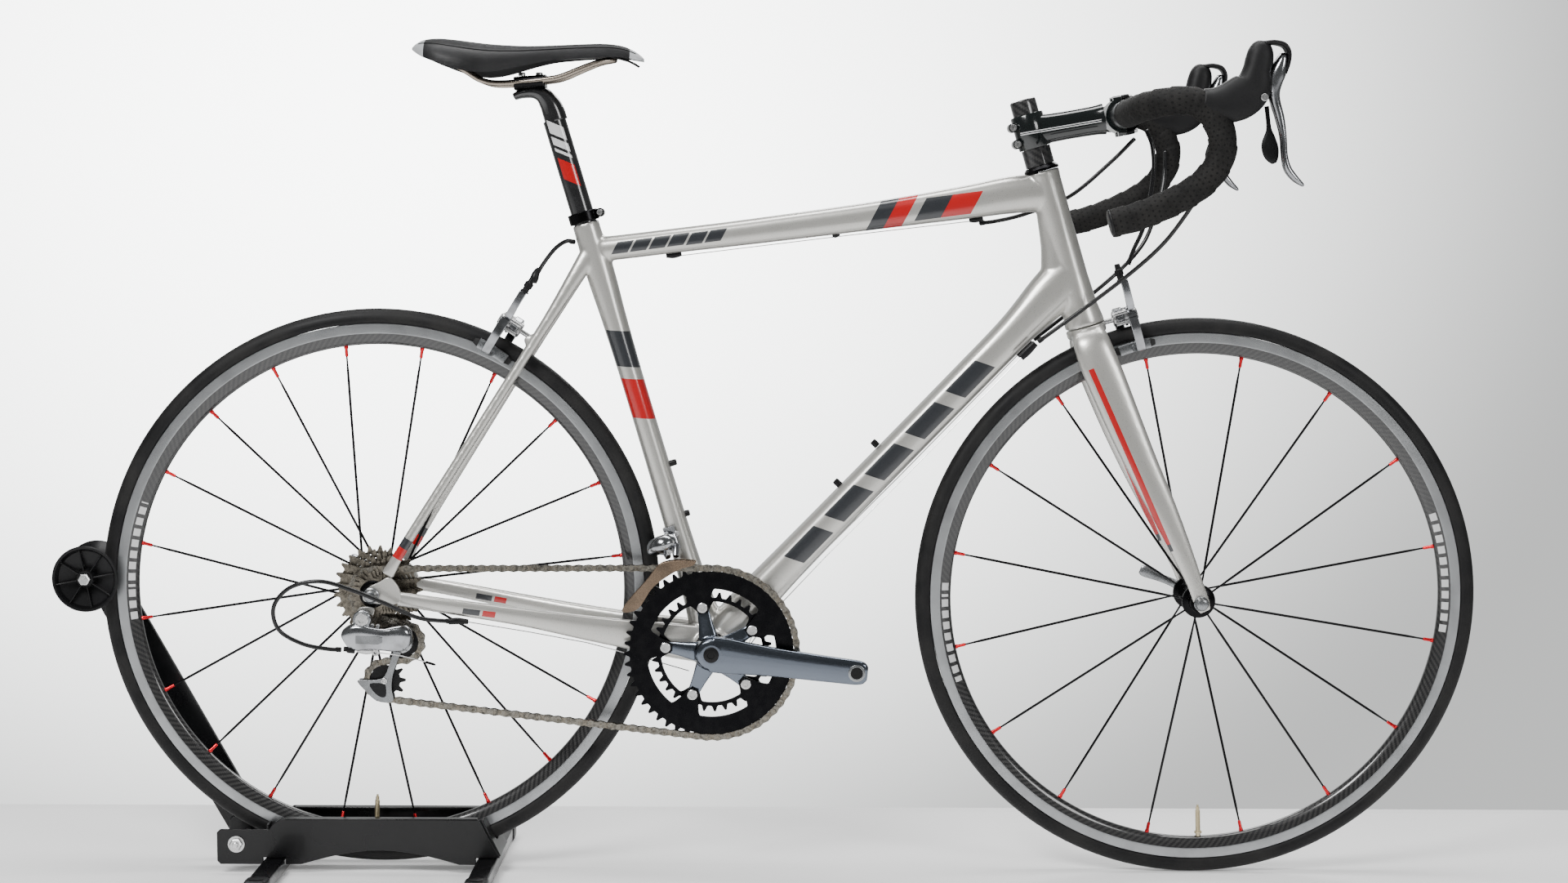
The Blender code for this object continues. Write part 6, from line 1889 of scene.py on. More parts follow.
def make_cranks():
    drop = math.radians(6.5)
    direction = (math.cos(drop), -math.sin(drop))
    centre = at(BOTTOM_BRACKET, 0)
    right = Shape()
    right.loft(arm_sections(direction, -0.0565, -0.0665), 32, 6)
    right.lathe(
        [
            (0, -0.0635), (0.0125, -0.0635), (0.0165, -0.0622), (0.0190, -0.0590), (0.0200, -0.0530),
            (0.0210, -0.0440), (0.0190, -0.0418), (0, -0.0418),
        ],
        centre,
        segments=56,
    )
    for i in range(5):
        angle = 2 * math.pi * i / 5 - drop + math.pi / 5
        rows = []
        for radius, y, thick, wide in (
            (0.006, -0.0500, 0.0060, 0.0130), (0.020, -0.0480, 0.0055, 0.0115),
            (0.034, -0.0455, 0.0038, 0.0090), (0.047, -0.0436, 0.0020, 0.0076),
            (0.057, -0.0434, 0.0017, 0.0068), (0.0615, -0.0434, 0.0012, 0.0040),
        ):
            rows.append(
                (
                    BOTTOM_BRACKET[0] + radius * math.cos(angle),
                    y,
                    BOTTOM_BRACKET[1] + radius * math.sin(angle),
                    thick,
                    wide,
                    2.8,
                )
            )
        right.loft(rows, 20, 4)
    made = right.finish("crank_right_forging", ["crank"], "crank", ["crank_right"], "polished_alloy", sharp=0)
    fuse = made.modifiers.new("fuse", "REMESH")
    fuse.mode = "VOXEL"
    fuse.voxel_size = 0.0009
    fuse.use_smooth_shade = True
    melt = made.modifiers.new("melt", "SMOOTH")
    melt.iterations = 5
    left = Shape()
    back = (-direction[0], -direction[1])
    left.loft(arm_sections(back, 0.0545, 0.0665), 32, 6)
    left.lathe(
        [(0, 0.0415), (0.0182, 0.0415), (0.0190, 0.0440), (0.0180, 0.0590), (0.0160, 0.0620), (0, 0.0620)],
        centre,
        segments=56,
    )
    made = left.finish("crank_left_forging", ["crank"], "crank", ["crank_left"], "polished_alloy", sharp=0)
    fuse = made.modifiers.new("fuse", "REMESH")
    fuse.mode = "VOXEL"
    fuse.voxel_size = 0.0011
    fuse.use_smooth_shade = True
    melt = made.modifiers.new("melt", "SMOOTH")
    melt.iterations = 5
    fittings = Shape()
    for way, y in ((direction, -0.0665), (back, 0.0665)):
        side = -1 if y < 0 else 1
        eye = W(BOTTOM_BRACKET[0] + way[0] * 0.1725, y, BOTTOM_BRACKET[1] + way[1] * 0.1725)
        rim = [
            (0.0068, 0.0058), (0.0098, 0.0058), (0.0100, 0.0066), (0.0092, 0.0070), (0.0074, 0.0070),
            (0.0068, 0.0064),
        ]
        fittings.lathe(rim, eye, (0, side, 0), 32, mat=0)
        fittings.lathe(
            [(0, 0.0056), (0.0070, 0.0056), (0.0070, 0.0066), (0, 0.0066)],
            eye,
            (0, side, 0),
            24,
            mat=1,
        )
        cap = at(BOTTOM_BRACKET, -0.0634 if side < 0 else 0.0618)
        fittings.bolt(cap, (0, side, 0), 0.0092, 0.0022, mat=1)
    fittings.lathe(
        [(0.0, -0.041), (0.0119, -0.041), (0.0119, 0.0415), (0.0, 0.0415)],
        centre,
        segments=32,
        mat=0,
    )
    fittings.finish("crank_fittings", ["satin", "plastic"], "crank", (), "polished_alloy", sharp=28)
    cups = Shape()
    for side in (-1, 1):
        cup = [
            (0.0124, 0.0342), (0.0216, 0.0342), (0.0220, 0.0350), (0.0220, 0.0382), (0.0206, 0.0398),
            (0.0150, 0.0404), (0.0124, 0.0404),
        ]
        cups.lathe(cup, centre, (0, side, 0), 48)
        for i in range(16):
            angle = 2 * math.pi * i / 16
            spot = centre + Vector((math.cos(angle) * 0.0221, side * 0.0345, math.sin(angle) * 0.0221))
            cups.lathe([(0, 0), (0.0011, 0), (0.0011, 0.0034), (0, 0.0034)], spot, (0, side, 0), 6)
    cups.finish("bracket_cups", ["black_metal"], "bicycle", ["bottom_bracket"], "black_alloy", sharp=28)


def chain_track():
    """Dense (x, z) points round the chain's loop."""
    circles = [
        (REAR_AXLE, pitch_radius(14), 1), (GUIDE_PULLEY, pitch_radius(11), -1),
        (TENSION_PULLEY, pitch_radius(11), 1), (BOTTOM_BRACKET, pitch_radius(50), 1),
    ]
    headings = []
    for i in range(4):
        (c1, r1, s1), (c2, r2, s2) = circles[i], circles[(i + 1) % 4]
        run = Vector((c2[0] - c1[0], c2[1] - c1[1]))
        headings.append(math.atan2(run.y, run.x) + math.asin((s1 * r1 - s2 * r2) / run.length))
    points = []
    for i, (centre, radius, sense) in enumerate(circles):
        arrive, leave = headings[i - 1], headings[i]
        turn = (leave - arrive) % (2 * math.pi)
        if sense < 0:
            turn = -((arrive - leave) % (2 * math.pi))
        steps = max(8, round(abs(turn) * radius / 0.0015))
        for step in range(steps + 1):
            heading = arrive + turn * step / steps
            left = Vector((-math.sin(heading), math.cos(heading)))
            points.append(Vector(centre) - left * radius * sense)
    return points


def chain_y(x):
    share = min(max((x - 0.05) / 0.30, 0.0), 1.0)
    return COG_Y + (RING_Y - COG_Y) * share


def link_outline():
    """A figure of eight: two round ends and a waist, for one half pitch each way."""
    half = CHAIN_PITCH / 2
    end = 0.0042
    outline = []
    for i in range(7):
        angle = math.radians(-100 + 200 * i / 6)
        outline.append((half + end * math.cos(angle), end * math.sin(angle)))
    outline.append((0.0, 0.0030))
    for i in range(7):
        angle = math.radians(80 + 200 * i / 6)
        outline.append((-half + end * math.cos(angle), end * math.sin(angle)))
    outline.append((0.0, -0.0030))
    return outline


def make_chain():
    track = chain_track()
    track.append(track[0])
    lengths = [0.0]
    for a, b in zip(track, track[1:]):
        lengths.append(lengths[-1] + (b - a).length)
    count = 2 * round(lengths[-1] / CHAIN_PITCH / 2)
    joints = []
    i = 0
    for k in range(count):
        target = lengths[-1] * k / count
        while lengths[i + 1] < target:
            i += 1
        span = lengths[i + 1] - lengths[i]
        joints.append(track[i].lerp(track[i + 1], (target - lengths[i]) / span if span else 0.0))
    s = Shape()
    outline = link_outline()
    for k in range(count):
        a, b = joints[k], joints[(k + 1) % count]
        run = (b - a).normalized()
        middle = (a + b) / 2
        y = chain_y(middle.x)
        across = Vector((run.x, 0, run.y))
        up = Vector((-run.y, 0, run.x))
        offset, thick = (0.00160, 0.0009) if k % 2 else (0.00255, 0.0009)
        for side in (-1, 1):
            start = W(middle.x, y + side * offset, middle.y)
            normal = across.cross(up)
            if normal.y * side < 0:
                start = start + Vector((0, side * thick, 0))
            s.prism(outline, start, across, up, thick, mat=k % 2)
        s.lathe(
            [(0, -0.0036), (0.0017, -0.0036), (0.0017, 0.0036), (0, 0.0036)],
            W(a.x, chain_y(a.x), a.y),
            Y_AXIS,
            8,
            mat=1,
        )
        s.lathe(
            [(0, -0.0014), (0.0038, -0.0014), (0.0038, 0.0014), (0, 0.0014)],
            W(a.x, chain_y(a.x), a.y),
            Y_AXIS,
            10,
            mat=0,
        )
    s.finish("chain_links", ["chain", "steel"], "bicycle", ["chain"], "nickel_steel", sharp=30)


def make_front_derailleur():
    outline = [
        (0.3404, 0.3800), (0.3768, 0.3823), (0.3758, 0.3765), (0.3586, 0.3712), (0.3299, 0.3515),
        (0.3118, 0.3255), (0.2936, 0.3210), (0.2965, 0.3306), (0.3204, 0.3580),
    ]
    cage = Shape()
    for high, thick in ((-0.0526, 0.0012), (-0.0404, 0.0012)):
        cage.prism(outline, W(0, high, 0), (1, 0, 0), (0, 0, 1), thick, smooth_steps=4)
    cage.block(W(0.3540, -0.0471, 0.3803), (0.012, 0.0130, 0.0016))
    cage.block(W(0.2962, -0.0471, 0.3222), (0.003, 0.0130, 0.0016))
    cage.finish(
        "derailleur_cage_front",
        ["cage"],
        "front_derailleur_cage",
        ["front_derailleur_cage"],
        "nickel_steel",
        bevel=0.0004,
    )
    body = Shape()
    lean = 0.29
    body.loft(
        [
            (0.3300, -0.0300, 0.3900, 0.0050, 0.0080, 3.0), (0.3330, -0.0380, 0.3960, 0.0090, 0.0120, 3.0),
            (0.3420, -0.0420, 0.4000, 0.0100, 0.0135, 3.0), (0.3480, -0.0350, 0.4030, 0.0080, 0.0110, 3.0),
        ],
        24,
        5,
        side=(0, 0, 1),
    )
    body.block(W(0.3500, -0.0246, 0.4060), (0.014, 0.0110, 0.0280), lean)
    body.loft(
        [
            (0.3520, -0.0300, 0.4080, 0.0040, 0.0050, 3.0),
            (0.3560, -0.0400, 0.3980, 0.0036, 0.0046, 3.0),
            (0.3560, -0.0470, 0.3870, 0.0034, 0.0040, 3.0),
        ],
        16,
        4,
        side=(1, 0, 0),
    )
    body.loft(
        [
            (0.3360, -0.0300, 0.4000, 0.0040, 0.0050, 3.0),
            (0.3420, -0.0400, 0.3930, 0.0036, 0.0046, 3.0),
            (0.3470, -0.0470, 0.3860, 0.0034, 0.0040, 3.0),
        ],
        16,
        4,
        side=(1, 0, 0),
    )
    body.finish(
        "derailleur_body_front",
        ["alloy"],
        "bicycle",
        ["front_derailleur"],
        "polished_alloy",
        bevel=0.0006,
    )
    bolts = Shape()
    for x, y, z in ((0.3560, -0.0300, 0.4120), (0.3420, -0.0530, 0.4000), (0.3480, -0.0470, 0.3920)):
        bolts.bolt(W(x, y + 0.0006, z), (0, -1, 0), 0.0032, 0.0030)
    bolts.finish("derailleur_bolts_front", ["zinc"], "bicycle", (), "nickel_steel", sharp=25)


def make_rear_derailleur():
    body = Shape()
    body.loft(
        [
            (-0.0290, -0.0800, 0.2900, 0.0080, 0.0100, 2.6), (-0.0230, -0.0810, 0.2935, 0.0095, 0.0150, 3.0),
            (-0.0140, -0.0818, 0.2955, 0.0095, 0.0165, 3.2), (0.0000, -0.0815, 0.2945, 0.0090, 0.0140, 3.4),
            (0.0140, -0.0805, 0.2930, 0.0090, 0.0135, 3.4), (0.0260, -0.0785, 0.2930, 0.0095, 0.0155, 3.0),
            (0.0370, -0.0760, 0.2935, 0.0105, 0.0160, 2.6), (0.0440, -0.0745, 0.2930, 0.0090, 0.0120, 2.3),
            (0.0470, -0.0740, 0.2925, 0.0050, 0.0060, 2.0),
        ],
        32,
        6,
    )
    body.lathe(
        [
            (0, -0.0560), (0.0125, -0.0560), (0.0140, -0.0575), (0.0140, -0.0720), (0.0120, -0.0760),
            (0, -0.0760),
        ],
        W(0.0340, 0, 0.2885),
        segments=40,
    )
    body.lathe(
        [
            (0, -0.0705), (0.0095, -0.0705), (0.0110, -0.0720), (0.0110, -0.0840), (0.0098, -0.0856),
            (0, -0.0856),
        ],
        W(-0.0095, 0, 0.3165),
        segments=40,
    )
    made = body.finish(
        "derailleur_body_rear",
        ["alloy"],
        "bicycle",
        ["rear_derailleur"],
        "polished_alloy",
        sharp=0,
    )
    fuse = made.modifiers.new("fuse", "REMESH")
    fuse.mode = "VOXEL"
    fuse.voxel_size = 0.0008
    fuse.use_smooth_shade = True
    melt = made.modifiers.new("melt", "SMOOTH")
    melt.iterations = 4
    link = Shape()
    link.prism(
        [
            (-0.0160, 0.2985), (0.0100, 0.2975), (0.0150, 0.2960), (0.0150, 0.2900), (0.0100, 0.2880),
            (-0.0160, 0.2890),
        ],
        W(0, -0.0900, 0),
        (1, 0, 0),
        (0, 0, 1),
        0.0016,
        mat=0,
    )
    link.bolt(W(-0.0095, -0.0852, 0.3165), (0, -1, 0), 0.0080, 0.0034, mat=1)
    link.lathe(
        [(0.0060, 0.0), (0.0096, 0.0), (0.0096, 0.0012), (0.0060, 0.0012)],
        W(-0.0095, -0.0856, 0.3165),
        (0, -1, 0),
        32,
        mat=0,
    )
    for x, z in ((-0.0215, 0.2940), (0.0265, 0.2930)):
        link.lathe(
            [(0, -0.0150), (0.0026, -0.0150), (0.0026, 0.0150), (0, 0.0150)],
            W(x, -0.0800, z),
            (0, 0, 1),
            14,
            mat=1,
        )
    for x, z in ((0.0020, 0.3090), (0.0085, 0.3085)):
        link.bolt(W(x, -0.0760, z), (0, -1, 0), 0.0022, 0.0050, mat=1)
    link.loft(
        [
            (-0.0160, -0.0785, 0.2800, 0.0040, 0.0034, 2.6),
            (-0.0060, -0.0785, 0.2790, 0.0046, 0.0046, 2.6),
            (0.0040, -0.0785, 0.2790, 0.0040, 0.0034, 2.6),
        ],
        16,
        4,
        mat=1,
    )
    link.bolt(W(0.0060, -0.0800, 0.2775), (0, -1, 0), 0.0044, 0.0052, mat=1)
    link.lathe(
        [
            (0, 0.0), (0.0040, 0.0), (0.0044, 0.0010), (0.0044, 0.0080), (0.0038, 0.0090), (0.0030, 0.0095),
            (0.0030, 0.0130), (0, 0.0130),
        ],
        W(-0.0185, -0.0820, 0.2800),
        Vector((-1, -0.05, 0.10)),
        20,
        mat=2,
    )
    link.finish("derailleur_link", ["satin", "zinc", "plastic"], "bicycle", (), "polished_alloy", sharp=28)
    cage = Shape()
    for high, thick in ((-0.0538, 0.0016), (-0.0418, 0.0014)):
        outline = [
            (0.0215, 0.2150), (0.0195, 0.2300), (0.0215, 0.2470), (0.0300, 0.2700), (0.0395, 0.2870),
            (0.0330, 0.2950), (0.0265, 0.2850), (0.0190, 0.2640), (0.0110, 0.2440), (-0.0010, 0.2395),
            (-0.0195, 0.2395), (-0.0190, 0.2345), (-0.0110, 0.2260), (-0.0010, 0.2160), (0.0110, 0.2125),
        ]
        cage.prism(outline, W(0, high, 0), (1, 0, 0), (0, 0, 1), thick, smooth_steps=3)
    for x, z in (TENSION_PULLEY, GUIDE_PULLEY):
        cage.bolt(W(x, -0.0552, z), (0, -1, 0), 0.0038, 0.0020, mat=1)
        cage.lathe(
            [(0, -0.0550), (0.0030, -0.0550), (0.0030, -0.0420), (0, -0.0420)],
            W(x, 0, z),
            segments=14,
            mat=1,
        )
    cage.finish(
        "derailleur_cage_rear",
        ["satin", "zinc"],
        "bicycle",
        ["derailleur_cage"],
        "nickel_steel",
        bevel=0.0005,
    )
    window = Shape()
    window.prism(
        [
            (-0.0060, 0.2352), (0.0100, 0.2352), (0.0130, 0.2300), (0.0125, 0.2200), (0.0060, 0.2195),
            (-0.0020, 0.2260),
        ],
        W(0, -0.0554, 0),
        (1, 0, 0),
        (0, 0, 1),
        0.0003,
        smooth_steps=3,
    )
    window.finish("cage_window", ["plastic"], "bicycle", (), "black_plastic")
    for word, centre in (("guide", GUIDE_PULLEY), ("tension", TENSION_PULLEY)):
        wheel = Shape()
        tip = toothed(11)
        wheel.ring(centre, 132, lambda t: tip(t) - 0.0006, lambda t: 0.0062, COG_Y - 0.0012, COG_Y + 0.0012)
        wheel.lathe(
            [
                (0.0032, COG_Y - 0.0022), (0.0066, COG_Y - 0.0022), (0.0066, COG_Y + 0.0022),
                (0.0032, COG_Y + 0.0022),
            ],
            W(centre[0], 0, centre[1]),
            segments=24,
        )
        wheel.finish(
            f"{word}_jockey",
            ["plastic"],
            f"{word}_pulley",
            [f"{word}_pulley"],
            "black_plastic",
            sharp=28,
        )


# ---------------------------------------------------------------- cables


def make_cable(name, points, body, replaces, ferrules, radius=0.0025, slot="cable_sleeve"):
    s = Shape()
    s.tube(points, radius, 14, 8, mat=0)
    made = s.finish(name, ["housing"], body, replaces, slot, sharp=0)
    ends = Shape()
    for end, inner in ferrules:
        start = W(*points[end])
        other = W(*points[inner])
        run = (other - start).normalized()
        ends.lathe(
            [(0, 0.0), (0.0024, 0.0), (0.0030, 0.0006), (0.0030, 0.0060), (0.0024, 0.0068), (0, 0.0068)],
            start,
            run,
            14,
        )
    return made, ends


def make_cables():
    rear = [
        (0.2345, 0.0, 0.7560), (0.2250, -0.0060, 0.7570), (0.2120, -0.0120, 0.7480),
        (0.1980, -0.0210, 0.7290), (0.1895, -0.0300, 0.7120),
    ]
    made, ends = make_cable("rear_brake_housing", rear, "bicycle", ["rear_brake_cable"], ((0, 1), (-1, -2)))
    ends.finish("rear_brake_ferrules", ["plastic"], "bicycle", (), "black_plastic")
    boot = Shape()
    boot.loft(
        [
            (0.1885, -0.0310, 0.7080, 0.0036, 0.0036), (0.1895, -0.0300, 0.7140, 0.0050, 0.0050),
            (0.1915, -0.0285, 0.7200, 0.0042, 0.0042), (0.1945, -0.0262, 0.7245, 0.0028, 0.0028),
        ],
        18,
        5,
    )
    boot.finish("rear_brake_boot", ["plastic"], "bicycle", (), "black_plastic", sharp=0)
    loop = [
        (0.0930, -0.0690, 0.3120), (0.0560, -0.0800, 0.3180), (0.0200, -0.0900, 0.3360),
        (-0.0200, -0.0990, 0.3540), (-0.0560, -0.1030, 0.3640), (-0.0900, -0.1030, 0.3560),
        (-0.1090, -0.1015, 0.3330), (-0.1040, -0.0975, 0.3060), (-0.0780, -0.0925, 0.2890),
        (-0.0500, -0.0870, 0.2820), (-0.0340, -0.0835, 0.2805),
    ]
    made, ends = make_cable("rear_shift_housing", loop, "bicycle", ["rear_shift_cable"], ((0, 1), (-1, -2)))
    ends.finish("rear_shift_ferrules", ["plastic"], "bicycle", (), "black_plastic")
    tail = Shape()
    tail.tube(
        [
            (0.0080, -0.0820, 0.2770), (0.0300, -0.0810, 0.2740), (0.0480, -0.0800, 0.2700),
            (0.0640, -0.0790, 0.2655),
        ],
        0.0007,
        6,
        4,
        mat=1,
    )
    tail.lathe(
        [(0, 0), (0.0015, 0), (0.0015, 0.0100), (0.0008, 0.0120), (0, 0.0120)],
        W(0.0640, -0.0790, 0.2655),
        Vector((0.95, 0, -0.28)),
        10,
        mat=0,
    )
    tail.finish("rear_shift_tail", ["black_metal", "zinc"], "bicycle", (), "nickel_steel")
    front = [
        (0.9060, -0.0240, 0.8880), (0.9130, -0.0280, 0.8680), (0.9140, -0.0310, 0.8350),
        (0.9050, -0.0320, 0.7800), (0.8920, -0.0318, 0.7480), (0.8860, -0.0314, 0.7310),
    ]
    made, ends = make_cable("front_brake_housing", front, "fork", ["front_brake_cable"], ((-1, -2),))
    ends.finish("front_brake_ferrules", ["plastic"], "fork", (), "black_plastic")
    under = [
        (0.9000, 0.0300, 0.8800), (0.8700, 0.0330, 0.8500), (0.8230, 0.0315, 0.8110),
        (0.7700, 0.0300, 0.7900), (0.7350, 0.0220, 0.7815), (0.7150, 0.0090, 0.7790),
    ]
    made, ends = make_cable("rear_brake_bar_housing", under, None, ["rear_brake_bar_cable"], ((-1, -2),))
    ends.finish("rear_brake_bar_ferrules", ["plastic"], "bicycle", (), "black_plastic")
    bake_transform(made)
    for word, side in (("right", -1), ("left", 1)):
        run = [
            (0.9590, side * 0.1940, 0.8700), (0.9570, side * 0.1810, 0.8420), (0.9490, side * 0.1560, 0.8130),
            (0.9350, side * 0.1180, 0.7820), (0.9180, side * 0.0820, 0.7540), (0.8900, side * 0.0580, 0.7250),
            (0.8450, side * 0.0420, 0.6880), (0.7820, side * 0.0285, 0.6400),
        ]
        made, ends = make_cable(f"shift_housing_{word}", run, None, [f"shift_cable_{word}"], ((-1, -2),))
        ends.finish(f"shift_ferrules_{word}", ["plastic"], "bicycle", (), "black_plastic")
        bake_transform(made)


# ---------------------------------------------------------------- stand


def make_stand():
    outer, inner = 0.0360, 0.0330
    rear, front, half, rest = -0.1265, 0.1285, 0.0134, 0.0203
    outline = [
        (-0.1915, 0.0120), (-0.1955, 0.0160), (-0.1955, 0.0505), (-0.1915, 0.0545), (-0.1330, 0.0545),
        (-0.1290, 0.0600), (-0.1265, 0.0625), (-0.1160, 0.0680),
    ]
    outline += [
        (0.1160, 0.0680), (0.1200, 0.0660), (0.1440, 0.0205), (front + half, rest), (front - half, rest),
        (front - half, 0.0120), (0.1020, 0.0120),
    ]
    for step in range(0, 13):
        share = step / 12
        outline.append((0.095 - 0.190 * share, 0.0120 + 0.0174 * math.sin(math.pi * share)))
    outline += [
        (-0.1020, 0.0120), (rear + half, 0.0120), (rear + half, rest), (rear - half, rest),
        (rear - half, 0.0120),
    ]
    s = Shape()
    for low, high in ((-outer, -inner), (inner, outer)):
        s.prism(outline, W(0, high, 0), (1, 0, 0), (0, 0, 1), high - low)
    for side in (-1, 1):
        low, high = sorted((side * 0.0252, side * outer))
        s.prism(
            [(-0.1140, 0.0656), (0.1175, 0.0656), (0.1175, 0.0679), (-0.1140, 0.0679)],
            W(0, high, 0),
            (1, 0, 0),
            (0, 0, 1),
            high - low,
        )
    notch = REAR_AXLE[1] - math.sqrt(0.334**2 - 0.1325**2) - 0.0006
    yoke = [
        (-0.0345, 0.0212), (0.0345, 0.0212), (0.0345, 0.0606), (0.0150, 0.0606), (0.0128, 0.0580),
        (0.0128, notch + 0.004), (0.0090, notch), (-0.0090, notch), (-0.0128, notch + 0.004),
        (-0.0128, 0.0580), (-0.0150, 0.0606), (-0.0345, 0.0606),
    ]
    s.prism(yoke, W(-0.1358, 0, 0), (0, 1, 0), (0, 0, 1), 0.0026)
    rise = Vector((0.1210 - 0.1425, 0, 0.0655 - 0.0215))
    length = rise.length
    rise.normalize()
    base = W(0.1425, 0, 0.0215)
    cut = (notch - 0.0215) / rise.z
    yoke = [
        (-0.0345, 0.0), (0.0345, 0.0), (0.0345, length), (0.0150, length), (0.0128, length - 0.003),
        (0.0128, cut + 0.004), (0.0090, cut), (-0.0090, cut), (-0.0128, cut + 0.004),
        (-0.0128, length - 0.003), (-0.0150, length), (-0.0345, length),
    ]
    s.prism(yoke, base, (0, 1, 0), rise, 0.0026)
    s.finish("cradle_plates", ["coat"], "stand", ["stand_cradle"], "stand_steel", bevel=0.0008)
    for word, x in (("rear", rear), ("front", front)):
        foot = Shape()
        foot.loft(
            [(x, y, 0.0107, 0.0125, 0.0088, 6.0) for y in (-0.140, -0.07, 0.0, 0.07, 0.140)],
            32,
            1,
            side=(1, 0, 0),
        )
        foot.finish(f"foot_tube_{word}", ["coat"], "stand", [f"stand_foot_{word}"], "stand_steel", sharp=40)
        caps = Shape()
        for side in (-1, 1):
            y = side * 0.138
            rows = []
            for push, grow in ((-0.0118, 0.86), (-0.0108, 0.97), (0.0, 1.0), (0.0104, 0.98), (0.0118, 0.84)):
                rows.append((x, y + push, 0.0107, 0.0143 * grow, 0.0105 * grow, 5.0))
            caps.loft(rows, 32, 1, side=(1, 0, 0))
            caps.lathe(
                [(0, 0.0), (0.0085, 0.0), (0.0085, 0.0008), (0.0072, 0.0012), (0, 0.0012)],
                W(x, y, 0.0209),
                (0, 0, 1),
                24,
            )
        caps.finish(f"foot_caps_{word}", ["plastic"], "stand", (), "black_plastic", sharp=35)
    x, z = PIVOT_BOLT
    bolt = Shape()
    near = -outer - 0.0003
    bolt.lathe([(0, 0), (0.0100, 0), (0.0100, 0.0012), (0, 0.0012)], W(x, near, z), (0, -1, 0), 28)
    bolt.lathe(
        [(0, 0.0012), (0.0078, 0.0012), (0.0078, 0.0050), (0.0066, 0.0058), (0, 0.0058)],
        W(x, near, z),
        (0, -1, 0),
        6,
    )
    bolt.lathe(
        [(0, 0.0050), (0.0036, 0.0050), (0.0036, 0.0078), (0.0028, 0.0084), (0, 0.0084)],
        W(x, near, z),
        (0, -1, 0),
        18,
    )
    bolt.lathe([(0, near), (0.0038, near), (0.0038, 0.0440), (0, 0.0440)], W(x, 0, z), Y_AXIS, 20)
    bolt.lathe(
        [(0, 0.0438), (0.0078, 0.0438), (0.0078, 0.0480), (0.0066, 0.0488), (0, 0.0488)],
        W(x, 0, z),
        Y_AXIS,
        6,
    )
    bolt.finish("pivot_bolt", ["zinc"], "stand", ["stand_pivot_bolt"], "nickel_steel", sharp=25)


def make_stand_arm():
    start = Vector(PIVOT_BOLT)
    end = Vector(ROLLER_AXLE)
    run = (end - start).normalized()
    across = Vector((-run.y, run.x))
    length = (end - start).length
    low, high = [], []
    for distance, half in (
        (-0.016, 0.009), (-0.012, 0.0160), (-0.004, 0.0200), (0.010, 0.0216), (0.050, 0.0220),
        (0.180, 0.0220), (length - 0.045, 0.0220), (length - 0.015, 0.0205), (length + 0.006, 0.0150),
        (length + 0.014, 0.0080),
    ):
        point = start + run * distance
        low.append(tuple(point + across * half))
        high.append(tuple(point - across * half))
    s = Shape()
    web = [(a - ORIGIN_X, b) for a, b in low + high[::-1]]
    s.prism(web, (0, 0.0395, 0), (1, 0, 0), (0, 0, 1), 0.0028)
    for sign in (-1, 1):
        rows = []
        for distance in (0.012, 0.06, 0.14, 0.22, length - 0.040):
            point = start + run * distance + across * sign * 0.0205
            rows.append((point.x, 0.0402, point.y, 0.0032, 0.0014, 4.0))
        s.loft(rows, 12, 1)
    s.finish("arm_channel", ["coat"], "stand_arm", ["stand_arm"], "stand_steel", bevel=0.0006)
    pin = Shape()
    reach = 0.0293
    pin.lathe(
        [(0, -reach - 0.0058), (0.0036, -reach - 0.0058), (0.0036, reach + 0.013), (0, reach + 0.013)],
        at(ROLLER_AXLE, 0),
        segments=20,
    )
    pin.lathe([(0, reach), (0.0075, reach), (0.0075, 0.0364), (0, 0.0364)], at(ROLLER_AXLE, 0), Y_AXIS, 24)
    pin.lathe(
        [
            (0, reach), (0.0072, reach), (0.0072, reach + 0.0042), (0.0060, reach + 0.0050),
            (0, reach + 0.0050),
        ],
        at(ROLLER_AXLE, 0),
        (0, -1, 0),
        6,
    )
    pin.lathe(
        [(0, 0.0396), (0.0072, 0.0396), (0.0072, 0.0440), (0.0060, 0.0450), (0, 0.0450)],
        at(ROLLER_AXLE, 0),
        Y_AXIS,
        6,
    )
    pin.finish("roller_pin", ["zinc"], "stand_arm", (), "nickel_steel", sharp=25)


def make_roller():
    s = Shape()
    half = 0.0290
    profile = [
        (0.0040, -half + 0.0006), (0.0095, -half + 0.0004), (0.0105, -half + 0.0020),
        (0.0120, -half + 0.0110), (0.0330, -half + 0.0060), (0.0362, -half + 0.0004), (0.0385, -half),
        (0.0396, -half + 0.0012), (0.0388, -half + 0.0034), (0.0240, -0.0140), (0.0150, -0.0050),
        (0.0126, 0.0000), (0.0150, 0.0050), (0.0240, 0.0140), (0.0388, half - 0.0034),
        (0.0396, half - 0.0012), (0.0385, half), (0.0362, half - 0.0004), (0.0330, half - 0.0060),
        (0.0120, half - 0.0110), (0.0105, half - 0.0020), (0.0095, half - 0.0004), (0.0040, half - 0.0006),
    ]
    s.lathe(profile, at(ROLLER_AXLE, 0), segments=80)
    for side in (-1, 1):
        for i in range(8):
            angle = 2 * math.pi * (i + 0.25) / 8
            radial = Vector((math.cos(angle), 0, math.sin(angle)))
            rows = []
            for radius, depth in ((0.0090, 0.0016), (0.0180, 0.0020), (0.0280, 0.0020), (0.0355, 0.0010)):
                p = at(ROLLER_AXLE, side * (half - depth - 0.0030)) + radial * radius
                rows.append((p.x + ORIGIN_X, p.y, p.z, 0.0032, 0.0009, 3.0))
            s.loft(rows, 10, 2)
    s.finish("roller_body", ["plastic"], "roller", ["stand_roller"], "black_plastic", sharp=32)


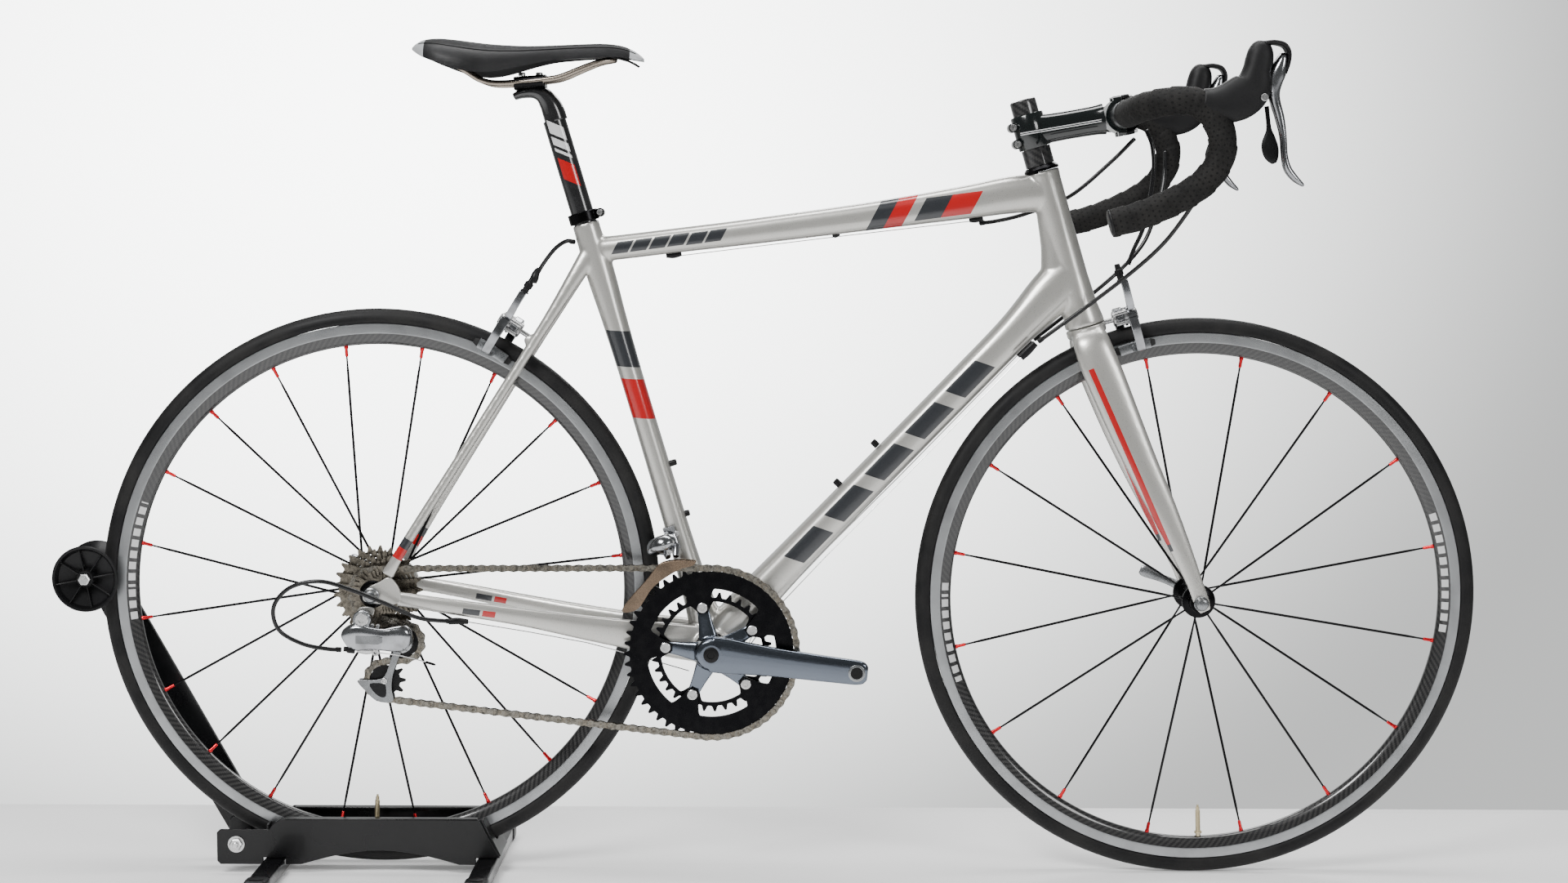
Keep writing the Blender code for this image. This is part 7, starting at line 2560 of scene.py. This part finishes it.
def make_floor():
    made = bmesh.new()
    rows = []
    for y, z in ((-3.6, 0.0), (0.30, 0.0), (0.34, -0.004), (0.36, -0.03), (0.36, -0.6)):
        rows.append([made.verts.new((x, y, z)) for x in (-3.5, 3.5)])
    for a, b in zip(rows, rows[1:]):
        made.faces.new((a[0], a[1], b[1], b[0]))
    mesh = bpy.data.meshes.new("studio_floor")
    made.to_mesh(mesh)
    made.free()
    mesh.materials.append(floor_material())
    floor = bpy.data.objects.new("studio_floor", mesh)
    scene.collection.objects.link(floor)


def seatpost_material():
    """Clear-coated carbon with plain white and red marks on its sides."""
    n = Nodes("seatpost_carbon")
    start = at(seat_line(0.60), 0)
    up = n.along(start, tuple(D(SEAT_UP)))
    front = n.along(start, (SEAT_UP[1], 0, -SEAT_UP[0]))
    slant = n.maths("ADD", up, n.maths("MULTIPLY", front, 0.8))
    body = n.band(front, -0.0085, 0.0085)
    white = n.maths(
        "MAXIMUM",
        n.band(slant, 0.012, 0.016),
        n.maths("MAXIMUM", n.band(slant, 0.020, 0.030), n.band(slant, 0.034, 0.050)),
    )
    red = n.band(slant, -0.022, 0.004)
    colour = n.mix(n.ramp(n.noise(40, 4), 0.4, 0.7), (0.005, 0.005, 0.0055), (0.014, 0.014, 0.015))
    colour = n.mix(n.maths("MULTIPLY", white, body), colour, (0.62, 0.62, 0.62))
    colour = n.mix(n.maths("MULTIPLY", red, body), colour, RED)
    n.set("Base Color", colour)
    n.set("Roughness", n.ramp(n.noise(500, 2), 0.3, 0.7, 0.18, 0.26))
    n.set("Coat Weight", 1.0)
    n.set("Coat Roughness", 0.04)
    n.bump(n.noise(300, 2), 0.03, 0.0004)
    return n.material


MAT["seatpost"] = seatpost_material()

add_camera()
add_studio()
make_floor()
make_wheel("front", FRONT_AXLE, "front_wheel", math.radians(-88.1))
make_wheel("rear", REAR_AXLE, "rear_wheel", math.radians(-91.8))
make_front_hub()
make_rear_hub()
make_axle("front", FRONT_AXLE, 0.050, "fork", "front_release_lever")
make_axle("rear", REAR_AXLE, 0.065, "bicycle", "rear_release_lever")
make_frame()
make_fork()
make_stem()
make_bars()
for hand, hand_side in (("right", -1), ("left", 1)):
    make_controls(hand, hand_side)
make_brake("front_brake", FRONT_CALIPER, (-STEER_DOWN[0], -STEER_DOWN[1]), STEER_FRONT, "fork")
make_brake("rear_brake", REAR_CALIPER, STAY_UP, STAY_OUT, "bicycle")
make_seat()
make_collar()
make_cassette()
make_chainrings()
make_cranks()
make_chain()
make_front_derailleur()
make_rear_derailleur()
make_cables()
make_stand()
make_stand_arm()
make_roller()
